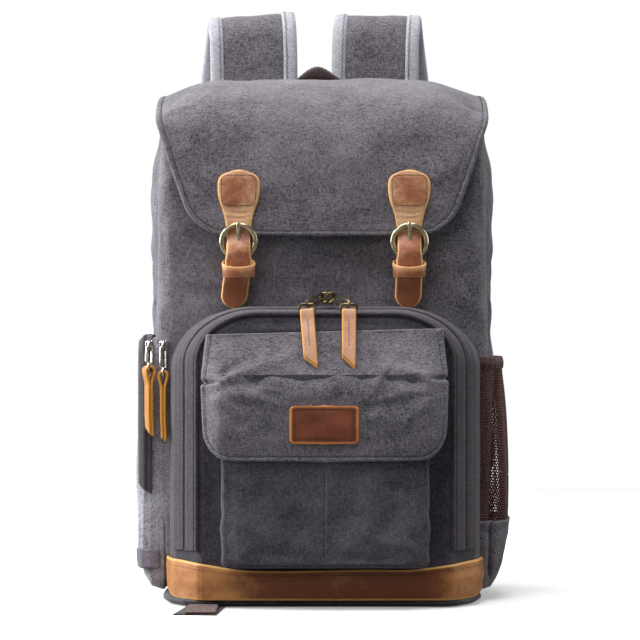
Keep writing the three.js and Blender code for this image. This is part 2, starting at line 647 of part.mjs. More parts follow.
function sidePocketOuter(grow) {
  const rings = SIDE_POCKET_SECTIONS.map(({ out, inset, foot }) => {
    const x = -BODY_WIDTH / 2 - out * SIDE_POCKET_BULGE - (out > 0 ? grow : 0);
    const low = [SIDE_POCKET_FRONT + inset - grow, SIDE_POCKET_BOTTOM + foot - grow];
    const high = [SIDE_POCKET_FRONT + SIDE_POCKET_DEPTH - inset + grow, SIDE_POCKET_TOP - inset + grow];
    return roundedOutline(low, high, SIDE_POCKET_CORNER + grow).map(([y, z]) => new THREE.Vector3(x, y, z));
  });
  return solidOf(loft(rings, new THREE.Vector3(-1.5, 0, 0)));
}


// A place across the side pocket's front face, from the front pocket's flank to its own outside.
const FRONT_FLANK = FRONT_POCKET_WIDTH / 2 - FRONT_POCKET_X;
const SIDE_FACE_WIDTH = BODY_WIDTH / 2 + SIDE_POCKET_BULGE - FRONT_FLANK;
const sideFaceX = (share) => -FRONT_FLANK - share * SIDE_FACE_WIDTH;

const SIDE_ZIP_X = [sideFaceX(0.88), sideFaceX(0.56)];
const SIDE_ZIP_BOTTOM = 78;
const SIDE_BAND_Z = [28, 43]; // the webbing band across the pocket's foot

function sidePocketSkin(low, high) {
  const skin = sidePocketOuter(GAP + ZIP_TAPE_THICKNESS)
    .subtract(sidePocketOuter(GAP)).subtract(bodyTaken).subtract(frontPocketTaken);
  return largest(skin.intersect(boxSolid(low, high)));
}

function buildSidePocket() {
  const shell = sidePocketOuter(0)
    .subtract(sidePocketOuter(-CANVAS)).subtract(bodyTaken).subtract(frontPocketTaken);
  addMesh("side_pocket", geometryOf(largest(shell)), canvasGrey);
  const [zipOuter, zipInner] = SIDE_ZIP_X;
  const zip = sidePocketSkin([zipOuter, -BODY_WIDTH, SIDE_ZIP_BOTTOM], [zipInner, BODY_WIDTH, HEIGHT]);
  addMesh("side_zip_tape", geometryOf(zip), tapeGrey);
  const [bandLow, bandHigh] = SIDE_BAND_Z;
  const band = sidePocketSkin([-BODY_WIDTH, -BODY_WIDTH, bandLow], [zipInner, BODY_WIDTH, bandHigh]);
  addMesh("side_pocket_band", geometryOf(band), tapeGrey);
}

// The open bottle pocket on the right side: net above a canvas foot, held by an elastic binding.
const NET_WALL = 1.5;
const NET_DEPTH = 94; // along Y
const NET_MIDDLE_Y = FRONT_Y + 53;
const NET_FOOT_Z = 11;
const NET_JOIN_Z = 66; // where the net is sewn to the canvas foot
const NET_BINDING_Z = 195;
const NET_TOP_Z = 202;
// up is a share of the pocket's height, bulge in mm beyond the main bag, depth a share of its own.
const NET_SECTIONS = [
  { up: 0, bulge: -2, depth: 0.86 },
  { up: 0.06, bulge: 4, depth: 0.92 },
  { up: 0.15, bulge: 9, depth: 0.97 },
  { up: 0.26, bulge: 12, depth: 1 },
  { up: 0.5, bulge: 12.5, depth: 1 },
  { up: 0.72, bulge: 11, depth: 1 },
  { up: 0.86, bulge: 9, depth: 0.98 },
  { up: 0.95, bulge: 7.5, depth: 0.97 },
  { up: 1, bulge: 7.2, depth: 0.97 },
];

function netRings(grow, top) {
  return NET_SECTIONS.map(({ up, bulge, depth }) => {
    const z = lerp(NET_FOOT_Z, NET_TOP_Z, up);
    const out = BODY_WIDTH / 2 + bulge + grow;
    const half = (NET_DEPTH / 2) * depth + grow;
    const inner = BODY_WIDTH / 2 - 22;
    const ring = [[inner, -half], [inner, half]];
    for (let i = 0; i <= 8; i++) {
      const angle = Math.PI / 2 - (i * Math.PI) / 8;
      const reach = Math.abs(Math.cos(angle)) ** 0.42 * (i % 8 ? 1 : 0.35);
      ring.push([inner + (out - inner) * reach, half * Math.sin(angle)]);
    }
    const raised = up === 1 ? top - NET_TOP_Z : 0;
    return ring.map(([x, y]) => new THREE.Vector3(x, NET_MIDDLE_Y + y, z + raised));
  });
}

function netShell(grow, inner) {
  const hollow = solidOf(loft(netRings(inner, NET_TOP_Z + CANVAS)));
  return solidOf(loft(netRings(grow, NET_TOP_Z)))
    .subtract(hollow).subtract(bodyTaken).subtract(frontPocketTaken);
}

function slabOf(solid, low, high) {
  const slab = boxSolid([-BODY_WIDTH, -BODY_WIDTH, low], [BODY_WIDTH, BODY_WIDTH, high]);
  return largest(solid.intersect(slab));
}

const NET_COLUMNS = 6;
const NET_ROWS = 6;
const NET_HOLE = 9; // side of each diamond hole

function netHoles() {
  const area = [NET_DEPTH * 0.84, NET_BINDING_Z - NET_JOIN_Z - NET_HOLE * 2];
  const holes = [];
  for (let row = 0; row < NET_ROWS; row++)
    for (let col = 0; col < NET_COLUMNS - (row % 2); col++) {
      const y = NET_MIDDLE_Y + area[0] * ((col + 0.5 * (row % 2)) / (NET_COLUMNS - 1) - 0.5);
      const z = NET_JOIN_Z + NET_HOLE + (area[1] * row) / (NET_ROWS - 1);
      const hole = new THREE.BoxGeometry(NET_DEPTH, NET_HOLE * 0.85, NET_HOLE * 0.85);
      hole.rotateX(Math.PI / 4).translate(BODY_WIDTH / 2 + NET_DEPTH / 2, y, z);
      holes.push(solidOf(hole));
    }
  return holes.reduce((all, hole) => all.add(hole));
}

function buildNetPocket() {
  const shell = netShell(0, -NET_WALL);
  const net = slabOf(shell, NET_JOIN_Z + GAP, NET_BINDING_Z - GAP).subtract(netHoles());
  addMesh("net_pocket", geometryOf(largest(net)), brownMesh);
  addMesh("net_pocket_foot", geometryOf(slabOf(shell, NET_FOOT_Z, NET_JOIN_Z)), canvasGrey);
  const binding = slabOf(netShell(1, -NET_WALL), NET_BINDING_Z, NET_TOP_Z);
  addMesh("net_pocket_binding", geometryOf(binding), brownWebbing);
}

// The two buckled closures. A leather tongue on the flap runs under the far side of a round
// buckle, over its bar and through a keeper; a folded strap on the bag holds the bar.
const CLOSURE_X = 70.3;
const TONGUE_TOP_Z = 357;
const TONGUE_TAIL_Z = 246;
const TONGUE_WIDTH = 21.5;
const TONGUE_WAIST = 19.4; // where it passes through the buckle
const TONGUE_HEAD_WIDTH = 37;
const BUCKLE_RADIUS = 13.8; // to the middle of its wire
const BUCKLE_WIRE = 1.85;
const BUCKLE_Z = 298.5;
const KEEPER_HEIGHT = 13;
const KEEPER_WALL = 1.8;
const KEEPER_Z = 276; // its middle
const PRONG_RADIUS = 1.1;
const hemY = flapProfilePoint(1)[0];
const tongueOnFlapY = hemY - FLAP_THICKNESS / 2 - GAP - LEATHER / 2;
const buckleFarY = tongueOnFlapY - LEATHER / 2 - GAP * 2 - BUCKLE_WIRE;
const buckleBarY = buckleFarY + 2.5;
const buckleBarZ = BUCKLE_Z - BUCKLE_RADIUS;
const ANCHOR_WIDTH = 12;
const ANCHOR_THICKNESS = 1.8;
const anchorBend = BUCKLE_WIRE + GAP * 2 + ANCHOR_THICKNESS / 2; // its middle round the bar
const tongueOverBarY = buckleBarY - anchorBend - ANCHOR_THICKNESS / 2 - GAP * 2 - LEATHER / 2;

// Height and depth of the tongue's middle, from its head down to its tail.
function tongueProfile() {
  const onFlap = [1, 0.7, 0.35, 0].map((share) => {
    const z = lerp(BUCKLE_Z + BUCKLE_RADIUS, TONGUE_TOP_Z, share);
    let best = 1;
    for (let s = 0.6; s <= 1; s += 0.002)
      if (Math.abs(flapProfilePoint(s)[1] - z) < Math.abs(flapProfilePoint(best)[1] - z)) best = s;
    return [flapProfilePoint(best)[0] - FLAP_THICKNESS / 2 - GAP - LEATHER / 2 - 0.15, z];
  });
  return [
    ...onFlap,
    [tongueOnFlapY, BUCKLE_Z + BUCKLE_RADIUS * 0.5],
    [tongueOverBarY, BUCKLE_Z - BUCKLE_RADIUS * 0.45],
    [tongueOverBarY - 0.3, buckleBarZ],
    [lerp(tongueOverBarY, tongueOnFlapY, 0.3), KEEPER_Z - KEEPER_HEIGHT * 0.4],
    [tongueOnFlapY + 0.5, lerp(KEEPER_Z, TONGUE_TAIL_Z, 0.6)],
    [tongueOnFlapY + 2.5, TONGUE_TAIL_Z],
  ];
}

function tongueHalfWidth(z) {
  const head = TONGUE_HEAD_WIDTH / 2;
  const neck = TONGUE_WIDTH / 2;
  const below = TONGUE_TOP_Z - z;
  const narrowed = lerp(head, neck, smooth(below, head * 0.9, TONGUE_TOP_Z - BUCKLE_Z - BUCKLE_RADIUS));
  const crown = below < head * 0.75 ? Math.sqrt(Math.max(1 - (1 - below / (head * 0.75)) ** 2.6, 0)) : 1;
  const fromTail = z - TONGUE_TAIL_Z;
  const tail = fromTail < neck ? Math.sqrt(Math.max(1 - (1 - fromTail / neck) ** 2, 0)) : 1;
  const nearRing = 1 - smooth(Math.abs(z - BUCKLE_Z), BUCKLE_RADIUS * 0.6, BUCKLE_RADIUS * 1.2);
  const waist = lerp(1, TONGUE_WAIST / TONGUE_WIDTH, nearRing);
  return waist * Math.max(narrowed * crown, head * 0.4 * (below < head ? 1 : 0)) * Math.max(tail, 0.25);
}

function buildTongue(name, x) {
  const curve = new THREE.CatmullRomCurve3(
    tongueProfile().map(([y, z]) => new THREE.Vector3(x, y, z)), false, "centripetal");
  const shares = [
    0, 0.015, 0.05, 0.11, 0.2, 0.3, 0.4, 0.47, 0.52, 0.57, 0.62, 0.67, 0.73, 0.8, 0.9, 0.95, 0.985, 1,
  ];
  const grid = shares.map((share) => {
    const middle = curve.getPointAt(share);
    const half = tongueHalfWidth(middle.z);
    return [-1, 0, 1].map((u) => new THREE.Vector3(x + u * half, middle.y, middle.z));
  });
  const slot = boxSolid(
    [x - PRONG_RADIUS - GAP * 2, hemY - TONGUE_WIDTH, BUCKLE_Z - BUCKLE_RADIUS * 0.45],
    [x + PRONG_RADIUS + GAP * 2, hemY, BUCKLE_Z + BUCKLE_RADIUS * 0.62]);
  const strap = solidOf(sheet(grid, -LEATHER / 2, LEATHER / 2)).subtract(slot);
  addMesh(name, geometryOf(strap), tanLeather);
}

function buildBuckle(side, x) {
  const far = new THREE.Vector3(x, buckleFarY, BUCKLE_Z + BUCKLE_RADIUS);
  const bar = new THREE.Vector3(x, buckleBarY, buckleBarZ);
  const along = new THREE.Vector3().subVectors(far, bar).normalize();
  const middle = new THREE.Vector3().addVectors(far, bar).divideScalar(2);
  const radius = far.distanceTo(bar) / 2;
  const ring = (wire) => wireLoop(middle, radius, wire, 0, along, new THREE.Vector3(1, 0, 0), 6, 18);
  addMesh("buckle_ring_" + side, ring(BUCKLE_WIRE), paleBrass);
  const overRing = BUCKLE_WIRE + PRONG_RADIUS + GAP;
  const rootZ = buckleBarZ + anchorBend + ANCHOR_THICKNESS / 2 + PRONG_RADIUS + GAP * 2;
  const path = new THREE.CatmullRomCurve3([
    new THREE.Vector3(x, buckleBarY, rootZ),
    new THREE.Vector3(x, buckleBarY - 0.5, rootZ + 2),
    new THREE.Vector3(x, lerp(buckleBarY, buckleFarY - overRing, 0.6), BUCKLE_Z + 2),
    new THREE.Vector3(x, buckleFarY - overRing, BUCKLE_Z + BUCKLE_RADIUS - 1),
    new THREE.Vector3(x, buckleFarY - overRing, BUCKLE_Z + BUCKLE_RADIUS + BUCKLE_WIRE),
  ]);
  const prong = sweep(stepsAlong(path, 5, new THREE.Vector3(1, 0, 0)), roundSection(PRONG_RADIUS));
  addMesh("buckle_prong_" + side, prong, paleBrass);
  const anchor = profileStrip(anchorProfile(), x, ANCHOR_WIDTH, ANCHOR_THICKNESS);
  const cut = solidOf(anchor).subtract(solidOf(ring(BUCKLE_WIRE + GAP)));
  addMesh("buckle_strap_" + side, geometryOf(largest(cut)), tanLeather);
}

// The strap that holds the buckle: up from the bag's front wall, round the bar and back down.
function anchorProfile() {
  const wallY = FRONT_Y - BODY_DEPTH * 0.015 - GAP * 2 - ANCHOR_THICKNESS / 2;
  const round = [20, 60, 100, 140, 180, 215].map((degrees) => {
    const angle = THREE.MathUtils.degToRad(degrees);
    return [buckleBarY + anchorBend * Math.cos(angle), buckleBarZ + anchorBend * Math.sin(angle)];
  });
  const footZ = KEEPER_Z - KEEPER_HEIGHT * 1.9;
  return [
    [wallY, footZ], [wallY - 1.5, lerp(footZ, buckleBarZ, 0.45)], ...round,
    [lerp(wallY, buckleBarY, 0.5) - ANCHOR_THICKNESS, lerp(footZ, buckleBarZ, 0.5)],
    [wallY - ANCHOR_THICKNESS - GAP * 2, footZ + 2],
  ];
}

function buildKeeper(name, x) {
  const half = TONGUE_WIDTH / 2 + GAP * 3;
  const front = tongueOverBarY - LEATHER / 2 - GAP * 4;
  const back = FRONT_Y - BODY_DEPTH * 0.015 - GAP * 2 - KEEPER_WALL;
  const wide = half + KEEPER_WALL;
  const outer = roundedOutline([-wide, front - KEEPER_WALL], [wide, back + KEEPER_WALL], 5, 2);
  const inner = roundedOutline([-half, front], [half, back], 3, 2);
  const shape = new THREE.Shape(outer.map(([a, b]) => new THREE.Vector2(a, b)));
  shape.holes.push(new THREE.Path(inner.map(([a, b]) => new THREE.Vector2(a, b))));
  const loop = new THREE.ExtrudeGeometry(shape, { depth: KEEPER_HEIGHT, bevelEnabled: false });
  loop.translate(x, 0, KEEPER_Z - KEEPER_HEIGHT / 2);
  addMesh(name, loop, tanLeather);
}

function buildClosures() {
  for (const [side, x] of [["left", -CLOSURE_X], ["right", CLOSURE_X]]) {
    buildTongue("buckle_tongue_" + side, x);
    buildBuckle(side, x);
    buildKeeper("keeper_loop_" + side, x);
  }
}

// Zip pulls: a slider, two wire links and a leather strip folded over the last link.
const PULL_WIDTH = 11.5;
const FRONT_PULL_LENGTH = 47;
const SIDE_PULL_LENGTH = 52;
const PULL_THICKNESS = 4.6;
const LINK_WIRE = 0.9;
const LINK_RADIUS = 3.4;
const D_RING_RADIUS = 3.2;

// The D-ring whose lower side passes through the strip's fold at the origin.
function pullRing(width, wire) {
  const centre = new THREE.Vector3(0, 0, D_RING_RADIUS);
  const straight = width + 2 - D_RING_RADIUS * 2;
  const [x, up] = [new THREE.Vector3(1, 0, 0), new THREE.Vector3(0, 0, 1)];
  return solidOf(wireLoop(centre, D_RING_RADIUS, wire, straight, x, up, 5, 10));
}

// A folded leather strip hanging from the origin, face towards -Y, its end cut at a slant.
function pullLeather(width, length, tilt = 0) {
  const half = width / 2;
  const slant = half * 1.5;
  const face = new THREE.Shape([
    new THREE.Vector2(-half, D_RING_RADIUS), new THREE.Vector2(-half, -length + slant),
    new THREE.Vector2(half, -length), new THREE.Vector2(half, D_RING_RADIUS)]);
  const strip = new THREE.ExtrudeGeometry(face, { depth: PULL_THICKNESS, bevelEnabled: false });
  strip.rotateX(Math.PI / 2).translate(0, PULL_THICKNESS / 2, 0).rotateX(-THREE.MathUtils.degToRad(tilt));
  return largest(solidOf(strip).subtract(pullRing(width, LINK_WIRE + GAP)));
}

// The metal that carries one leather strip: D-ring round its fold, an oval link and the slider.
function pullChain(width, linkTo, sliderAt, sliderSize) {
  const x = new THREE.Vector3(1, 0, 0);
  const up = new THREE.Vector3(0, 0, 1);
  const ringTop = D_RING_RADIUS * 2;
  const from = new THREE.Vector3(0, 0, ringTop);
  const direction = new THREE.Vector3().subVectors(linkTo, from);
  const length = Math.max(direction.length() - LINK_RADIUS * 2 + LINK_WIRE * 2, 0.5);
  const middle = new THREE.Vector3().addVectors(from, linkTo).divideScalar(2);
  const across = new THREE.Vector3(0, 1, 0).cross(direction).normalize();
  const link = wireLoop(middle, LINK_RADIUS, LINK_WIRE, length, direction.normalize(), across, 5, 10);
  const eyelet = wireLoop(
    sliderAt.clone().add(new THREE.Vector3(0, 0, sliderSize[2] / 2 + LINK_RADIUS * 0.8)),
    LINK_RADIUS, LINK_WIRE * 1.15, 0, x, up, 5, 10);
  const half = sliderSize.map((value) => value / 2);
  const slider = boxSolid(
    [sliderAt.x - half[0], sliderAt.y - half[1], sliderAt.z - half[2]],
    [sliderAt.x + half[0], sliderAt.y + half[1], sliderAt.z + half[2]]);
  return pullRing(width, LINK_WIRE).add(solidOf(link)).add(solidOf(eyelet)).add(slider);
}

const placed = (solid, matrix) => geometryOf(solid).applyMatrix4(matrix);

const FRONT_PULLS_MIDDLE_X = 4.8;
const FRONT_PULL_X = 17; // each side of their middle
const FRONT_PULL_TOP = 240.5;
const FRONT_PULL_TILT = 22; // degrees: the strips lie on the small flap's slope

function buildFrontPulls() {
  const y = POCKET_Y - GAP * 4 - PULL_THICKNESS / 2 - FRONT_PANEL_BULGE - PIPING_RADIUS;
  const zipY = FRONT_Y - FRONT_POCKET_DEPTH * ((ZIP_TAPE_OUT[0] + ZIP_TAPE_OUT[1]) / 2);
  const tapeTop = FRONT_POCKET_TOP * 0.999 + GAP + ZIP_TAPE_THICKNESS + GAP + ZIP_COIL_RISE;
  for (const [side, sign] of [["left", -1], ["right", 1]]) {
    const x = FRONT_PULLS_MIDDLE_X + sign * FRONT_PULL_X;
    const hang = new THREE.Matrix4().makeTranslation(x, y, FRONT_PULL_TOP);
    const leather = pullLeather(PULL_WIDTH, FRONT_PULL_LENGTH, FRONT_PULL_TILT);
    addMesh("front_pull_" + side, placed(leather, hang), paleLeather);
    const sliderHeight = 3;
    const sliderX = -sign * (FRONT_PULL_X - LINK_RADIUS - GAP * 5);
    const sliderZ = tapeTop + GAP + sliderHeight / 2 - FRONT_PULL_TOP;
    const slider = new THREE.Vector3(sliderX, zipY - y, sliderZ);
    const eye = new THREE.Vector3(sign * 1.5, -1, sliderHeight / 2 + LINK_RADIUS * 0.9);
    const linkTo = slider.clone().add(eye);
    const chain = pullChain(PULL_WIDTH, linkTo, slider, [7, 11, sliderHeight]);
    addMesh("front_pull_chain_" + side, placed(chain, hang), agedBrass);
  }
}

// The two pulls of the side pocket hang in front of it, side by side. across is a place on its
// front face, drop how far the strip's ring hangs below the slider.
const SIDE_PULLS = [
  { name: "outer", across: 0.614, drop: 21 },
  { name: "inner", across: 0.193, drop: 25 },
];
const SIDE_SLIDER_Z = SIDE_POCKET_TOP - 7;
const SIDE_SLIDER = [3, SIDE_FACE_WIDTH * 0.245, 9]; // thickness, width and height
const SIDE_SLIDER_SUNK = 1; // they lie this far back, where the pocket's top corner rounds off

function buildSidePulls() {
  const width = PULL_WIDTH * 0.8;
  const ringReach = width / 2 + 1 + LINK_WIRE + GAP;
  const eyeletReach = LINK_RADIUS + LINK_WIRE * 1.15 + GAP;
  const tapeY = SIDE_POCKET_FRONT - GAP * 2 - ZIP_TAPE_THICKNESS;
  for (const { name, across, drop } of SIDE_PULLS) {
    const x = sideFaceX(across);
    const wallY = bodyFrontAt(-x - LINK_WIRE);
    const y = Math.min(tapeY - GAP * 2, wallY) - ringReach;
    const sliderY = Math.min(tapeY + SIDE_SLIDER_SUNK - SIDE_SLIDER[0] / 2, wallY - eyeletReach);
    const hang = new THREE.Matrix4().makeTranslation(x, y, SIDE_SLIDER_Z - drop);
    hang.multiply(new THREE.Matrix4().makeRotationZ(-Math.PI / 2));
    addMesh("side_pull_" + name, placed(pullLeather(width, SIDE_PULL_LENGTH), hang), paleLeather);
    const slider = new THREE.Vector3(y - sliderY, 0, drop);
    const linkTo = slider.clone().add(new THREE.Vector3(SIDE_SLIDER[0], 0, 2));
    addMesh("side_pull_chain_" + name, placed(pullChain(width, linkTo, slider, SIDE_SLIDER), hang), nickel);
  }
}

// Padded shoulder straps: up from the yoke, over, and down behind the back to their webbing.
const STRAP_WIDTH = 74;
const STRAP_THICKNESS = 12;
const STRAPS_MIDDLE_X = -6.5;
const STRAP_X = 53.5; // each side of their middle
const STRAP_TOP_Z = 505;
const STRAP_START_Z = 378;
const STRAP_END_Z = 168;
const STRAP_END_X = 112;
const BACK_PAD_THICKNESS = 12;
const BINDING_WIDTH = 10;
const BINDING_THICKNESS = 1.2;
const STRAP_Y = BACK_Y + FLAP_SEAT + FLAP_THICKNESS / 2 + GAP * 3 + BINDING_THICKNESS + STRAP_THICKNESS / 2;
// x is a share of the way from the strap's start to its end, y the stand-off behind its start in mm.
const STRAP_ROUTE = [
  { x: 0, y: 0, z: STRAP_START_Z },
  { x: 0, y: 0, z: lerp(STRAP_START_Z, STRAP_TOP_Z, 0.45) },
  { x: 0.01, y: 2, z: lerp(STRAP_START_Z, STRAP_TOP_Z, 0.76) },
  { x: 0.03, y: 8, z: lerp(STRAP_START_Z, STRAP_TOP_Z, 0.9) },
  { x: 0.06, y: 21, z: STRAP_TOP_Z - STRAP_THICKNESS / 2 },
  { x: 0.09, y: 34, z: lerp(STRAP_START_Z, STRAP_TOP_Z, 0.88) },
  { x: 0.14, y: 41, z: lerp(STRAP_START_Z, STRAP_TOP_Z, 0.7) },
  { x: 0.28, y: 46, z: lerp(STRAP_START_Z, STRAP_TOP_Z, 0.2) },
  { x: 0.5, y: 47, z: lerp(STRAP_END_Z, STRAP_START_Z, 0.72) },
  { x: 0.8, y: 43, z: lerp(STRAP_END_Z, STRAP_START_Z, 0.34) },
  { x: 1, y: 34, z: STRAP_END_Z },
];
const STRAP_STEPS = 14;

// Width of the strap as a share of its full width: it narrows to its webbing at the end.
const strapTaper = (share) => lerp(1, 0.62, smooth(share, 0.7, 1));

function strapSteps() {
  const points = STRAP_ROUTE.map(({ x, y, z }) =>
    new THREE.Vector3(-lerp(STRAP_X, STRAP_END_X, x), STRAP_Y + y, z));
  const curve = new THREE.CatmullRomCurve3(points, false, "centripetal");
  return stepsAlong(curve, STRAP_STEPS, new THREE.Vector3(1, 0, 0));
}

// A section carried along the left strap's route. The right strap is its mirror image.
function strapLoft(sign, sectionAt, cap = null) {
  const mirror = new THREE.Vector3(-sign, 1, 1);
  const middle = new THREE.Vector3(STRAPS_MIDDLE_X, 0, 0);
  const rings = strapSteps().map(({ at, right, up }, i) =>
    sectionAt(strapTaper(i / STRAP_STEPS)).map(([a, b]) =>
      at.clone().addScaledVector(right, a).addScaledVector(up, b).multiply(mirror).add(middle)));
  return loft(rings, new THREE.Vector3(), cap);
}

// The pad's section has a corner where its bindings end, so that both follow the same twist.
function strapSection(taper, grow = 0) {
  const [w, t] = [(STRAP_WIDTH / 2) * taper + grow, STRAP_THICKNESS / 2 + grow];
  const quarter = [[w, t], [w - BINDING_WIDTH, t]];
  const upper = [...quarter, ...quarter.slice().reverse().map(([a, b]) => [-a, b])];
  return [...upper, ...upper.slice().reverse().map(([a, b]) => [a, -b])];
}

function bindingSection(taper, way) {
  const outside = (STRAP_WIDTH / 2) * taper + GAP + BINDING_THICKNESS;
  const inside = outside - BINDING_THICKNESS;
  const face = STRAP_THICKNESS / 2 + GAP;
  const skin = face + BINDING_THICKNESS;
  const end = outside - BINDING_WIDTH;
  const profile = [
    [end, face], [inside, face], [inside, -face], [end, -face],
    [end, -skin], [outside, -skin], [outside, skin], [end, skin]];
  return way > 0 ? profile : profile.map(([a, b]) => [-a, b]).reverse();
}

function buildStrap(side, sign) {
  addMesh("shoulder_strap_" + side, strapLoft(sign, strapSection), canvasGrey);
  for (const [edge, way] of [["outer", -1], ["inner", 1]]) {
    const flat = bindingSection(1, way).map(([a, b]) => new THREE.Vector2(a, b));
    const cap = THREE.ShapeUtils.triangulateShape(flat, []);
    const binding = strapLoft(sign, (taper) => bindingSection(taper, way), cap);
    addMesh(`strap_binding_${side}_${edge}`, binding, bindingGrey);
  }
}

// The webbing below each strap: a loop to the ladder buckle and a length down to the base tab.
const WEBBING_WIDTH = 25;
const WEBBING_THICKNESS = 1.6;
const LADDER_Z = 128;
const LADDER_HEIGHT = 32;
const LADDER_THICKNESS = 4;
const LADDER_BAR = 4;
const TAB_Z = 34;
const LADDER_Y = STRAP_Y + 32;

function buildLadder(side, x) {
  const half = WEBBING_WIDTH / 2 + 1.5;
  const frame = (w, h) => [[-w, -h], [w, -h], [w, h], [-w, h]].map(([a, b]) => new THREE.Vector2(a, b));
  const shape = new THREE.Shape(frame(half + 4, LADDER_HEIGHT / 2));
  const slot = (LADDER_HEIGHT - 3 * LADDER_BAR) / 2;
  for (const way of [-1, 1]) {
    const middle = (way * (slot + LADDER_BAR)) / 2;
    const opening = frame(half, slot / 2).map((p) => new THREE.Vector2(p.x, p.y + middle));
    shape.holes.push(new THREE.Path(opening));
  }
  const plate = new THREE.ExtrudeGeometry(shape, { depth: LADDER_THICKNESS, bevelEnabled: false });
  plate.rotateX(Math.PI / 2).translate(x, LADDER_Y + LADDER_THICKNESS / 2, LADDER_Z);
  addMesh("strap_ladder_" + side, plate, blackPlastic);
}

// Centreline of webbing that passes round a flat bar lying along X.
function roundBar(y, z, way) {
  const reach = LADDER_THICKNESS / 2 + GAP * 4 + WEBBING_THICKNESS / 2;
  const rise = LADDER_BAR / 2 + GAP * 8 + WEBBING_THICKNESS / 2;
  return [
    [y - reach, z + way * LADDER_BAR * 0.6], [y - reach, z - way * rise * 0.35],
    [y - reach * 0.6, z - way * rise], [y + reach * 0.6, z - way * rise],
    [y + reach, z - way * rise * 0.35], [y + reach, z + way * LADDER_BAR * 0.6],
  ];
}

function buildWebbing(side, sign) {
  const x = STRAPS_MIDDLE_X + sign * STRAP_END_X;
  const topBar = LADDER_Z + (LADDER_HEIGHT - LADDER_BAR) / 2;
  const endY = STRAP_Y + STRAP_ROUTE[STRAP_ROUTE.length - 1].y;
  const inStrap = STRAP_END_Z + STRAP_THICKNESS;
  const loop = [
    [endY - 1.5, inStrap], [LADDER_Y - 3.6, lerp(inStrap, topBar, 0.6)], ...roundBar(LADDER_Y, topBar, 1),
    [LADDER_Y + 3.6, lerp(inStrap, topBar, 0.6)], [endY + 1.5, inStrap],
  ];
  const grown = strapLoft(sign, (taper) => strapSection(taper, GAP));
  const cut = solidOf(profileStrip(loop, x, WEBBING_WIDTH, WEBBING_THICKNESS)).subtract(solidOf(grown));
  addMesh("strap_loop_" + side, geometryOf(largest(cut)), brownWebbing);
  const tabY = BACK_Y + GAP * 2 + WEBBING_THICKNESS * 1.5;
  const run = [
    [tabY, TAB_Z], [tabY + 1, TAB_Z + 14], [lerp(tabY, LADDER_Y, 0.6), lerp(TAB_Z, LADDER_Z, 0.6)],
    [LADDER_Y - 4.6, LADDER_Z - LADDER_HEIGHT * 0.55], ...roundBar(LADDER_Y, LADDER_Z, -1),
    [LADDER_Y + 4.6, LADDER_Z - LADDER_HEIGHT * 0.6], [LADDER_Y + 5, LADDER_Z - LADDER_HEIGHT * 1.6],
  ];
  addMesh("strap_webbing_" + side, profileStrip(run, x, WEBBING_WIDTH, WEBBING_THICKNESS), brownWebbing);
}

// The triangular fabric tab that holds the webbing at each lower corner of the back.
const TAB_RISE = 20; // above the webbing's end
const TAB_DROP = 18; // below it, at the outer corner's point

function buildTab(side, sign) {
  const reach = WEBBING_WIDTH / 2 + 4;
  const corners = [[-reach, TAB_RISE], [-reach, -TAB_DROP / 2], [reach / 2, -TAB_DROP], [reach, TAB_RISE]];
  const face = new THREE.Shape(
    corners.map(([a, b]) => new THREE.Vector2(STRAPS_MIDDLE_X + sign * (STRAP_END_X + a), TAB_Z + b)));
  const tab = new THREE.ExtrudeGeometry(face, { depth: WEBBING_THICKNESS, bevelEnabled: false });
  tab.rotateX(Math.PI / 2).translate(0, BACK_Y + GAP + WEBBING_THICKNESS, 0);
  addMesh("strap_tab_" + side, geometryOf(solidOf(tab).subtract(bodyTaken)), blackFabric);
}

// The padded back panel and the yoke that covers the starts of both straps.
const BACK_PAD_WIDTH = 196;
const BACK_PAD_BOTTOM = 62;
const BACK_PAD_TOP = STRAP_START_Z - 6;

function buildBack() {
  const rings = [
    { y: 0, inset: 0 },
    { y: 0.55, inset: 1 },
    { y: 1, inset: 10 },
  ].map(({ y, inset }) => {
    const half = BACK_PAD_WIDTH / 2 - inset;
    const outline = roundedOutline([-half, BACK_PAD_BOTTOM + inset], [half, BACK_PAD_TOP - inset], 24);
    return outline.map(([x, z]) => new THREE.Vector3(x, BACK_Y + GAP + y * BACK_PAD_THICKNESS, z));
  });
  addMesh("back_pad", loft(rings), liningGrey);
  const yokeY = STRAP_Y + STRAP_THICKNESS / 2 + GAP + BINDING_THICKNESS + GAP;
  const half = STRAP_X + STRAP_WIDTH / 2 + 6;
  const yoke = boxBetween([-half, yokeY, STRAP_START_Z - 8], [half, yokeY + CANVAS, STRAP_START_Z + 24]);
  addMesh("strap_yoke", yoke, canvasGrey);
}

// The carrying handle: a wrapped webbing grip bridging the back of the flap.
const HANDLE_SPAN = 78;
const HANDLE_TOP_Z = 456;
const HANDLE_WIDTH = 20;
const HANDLE_THICKNESS = 9;

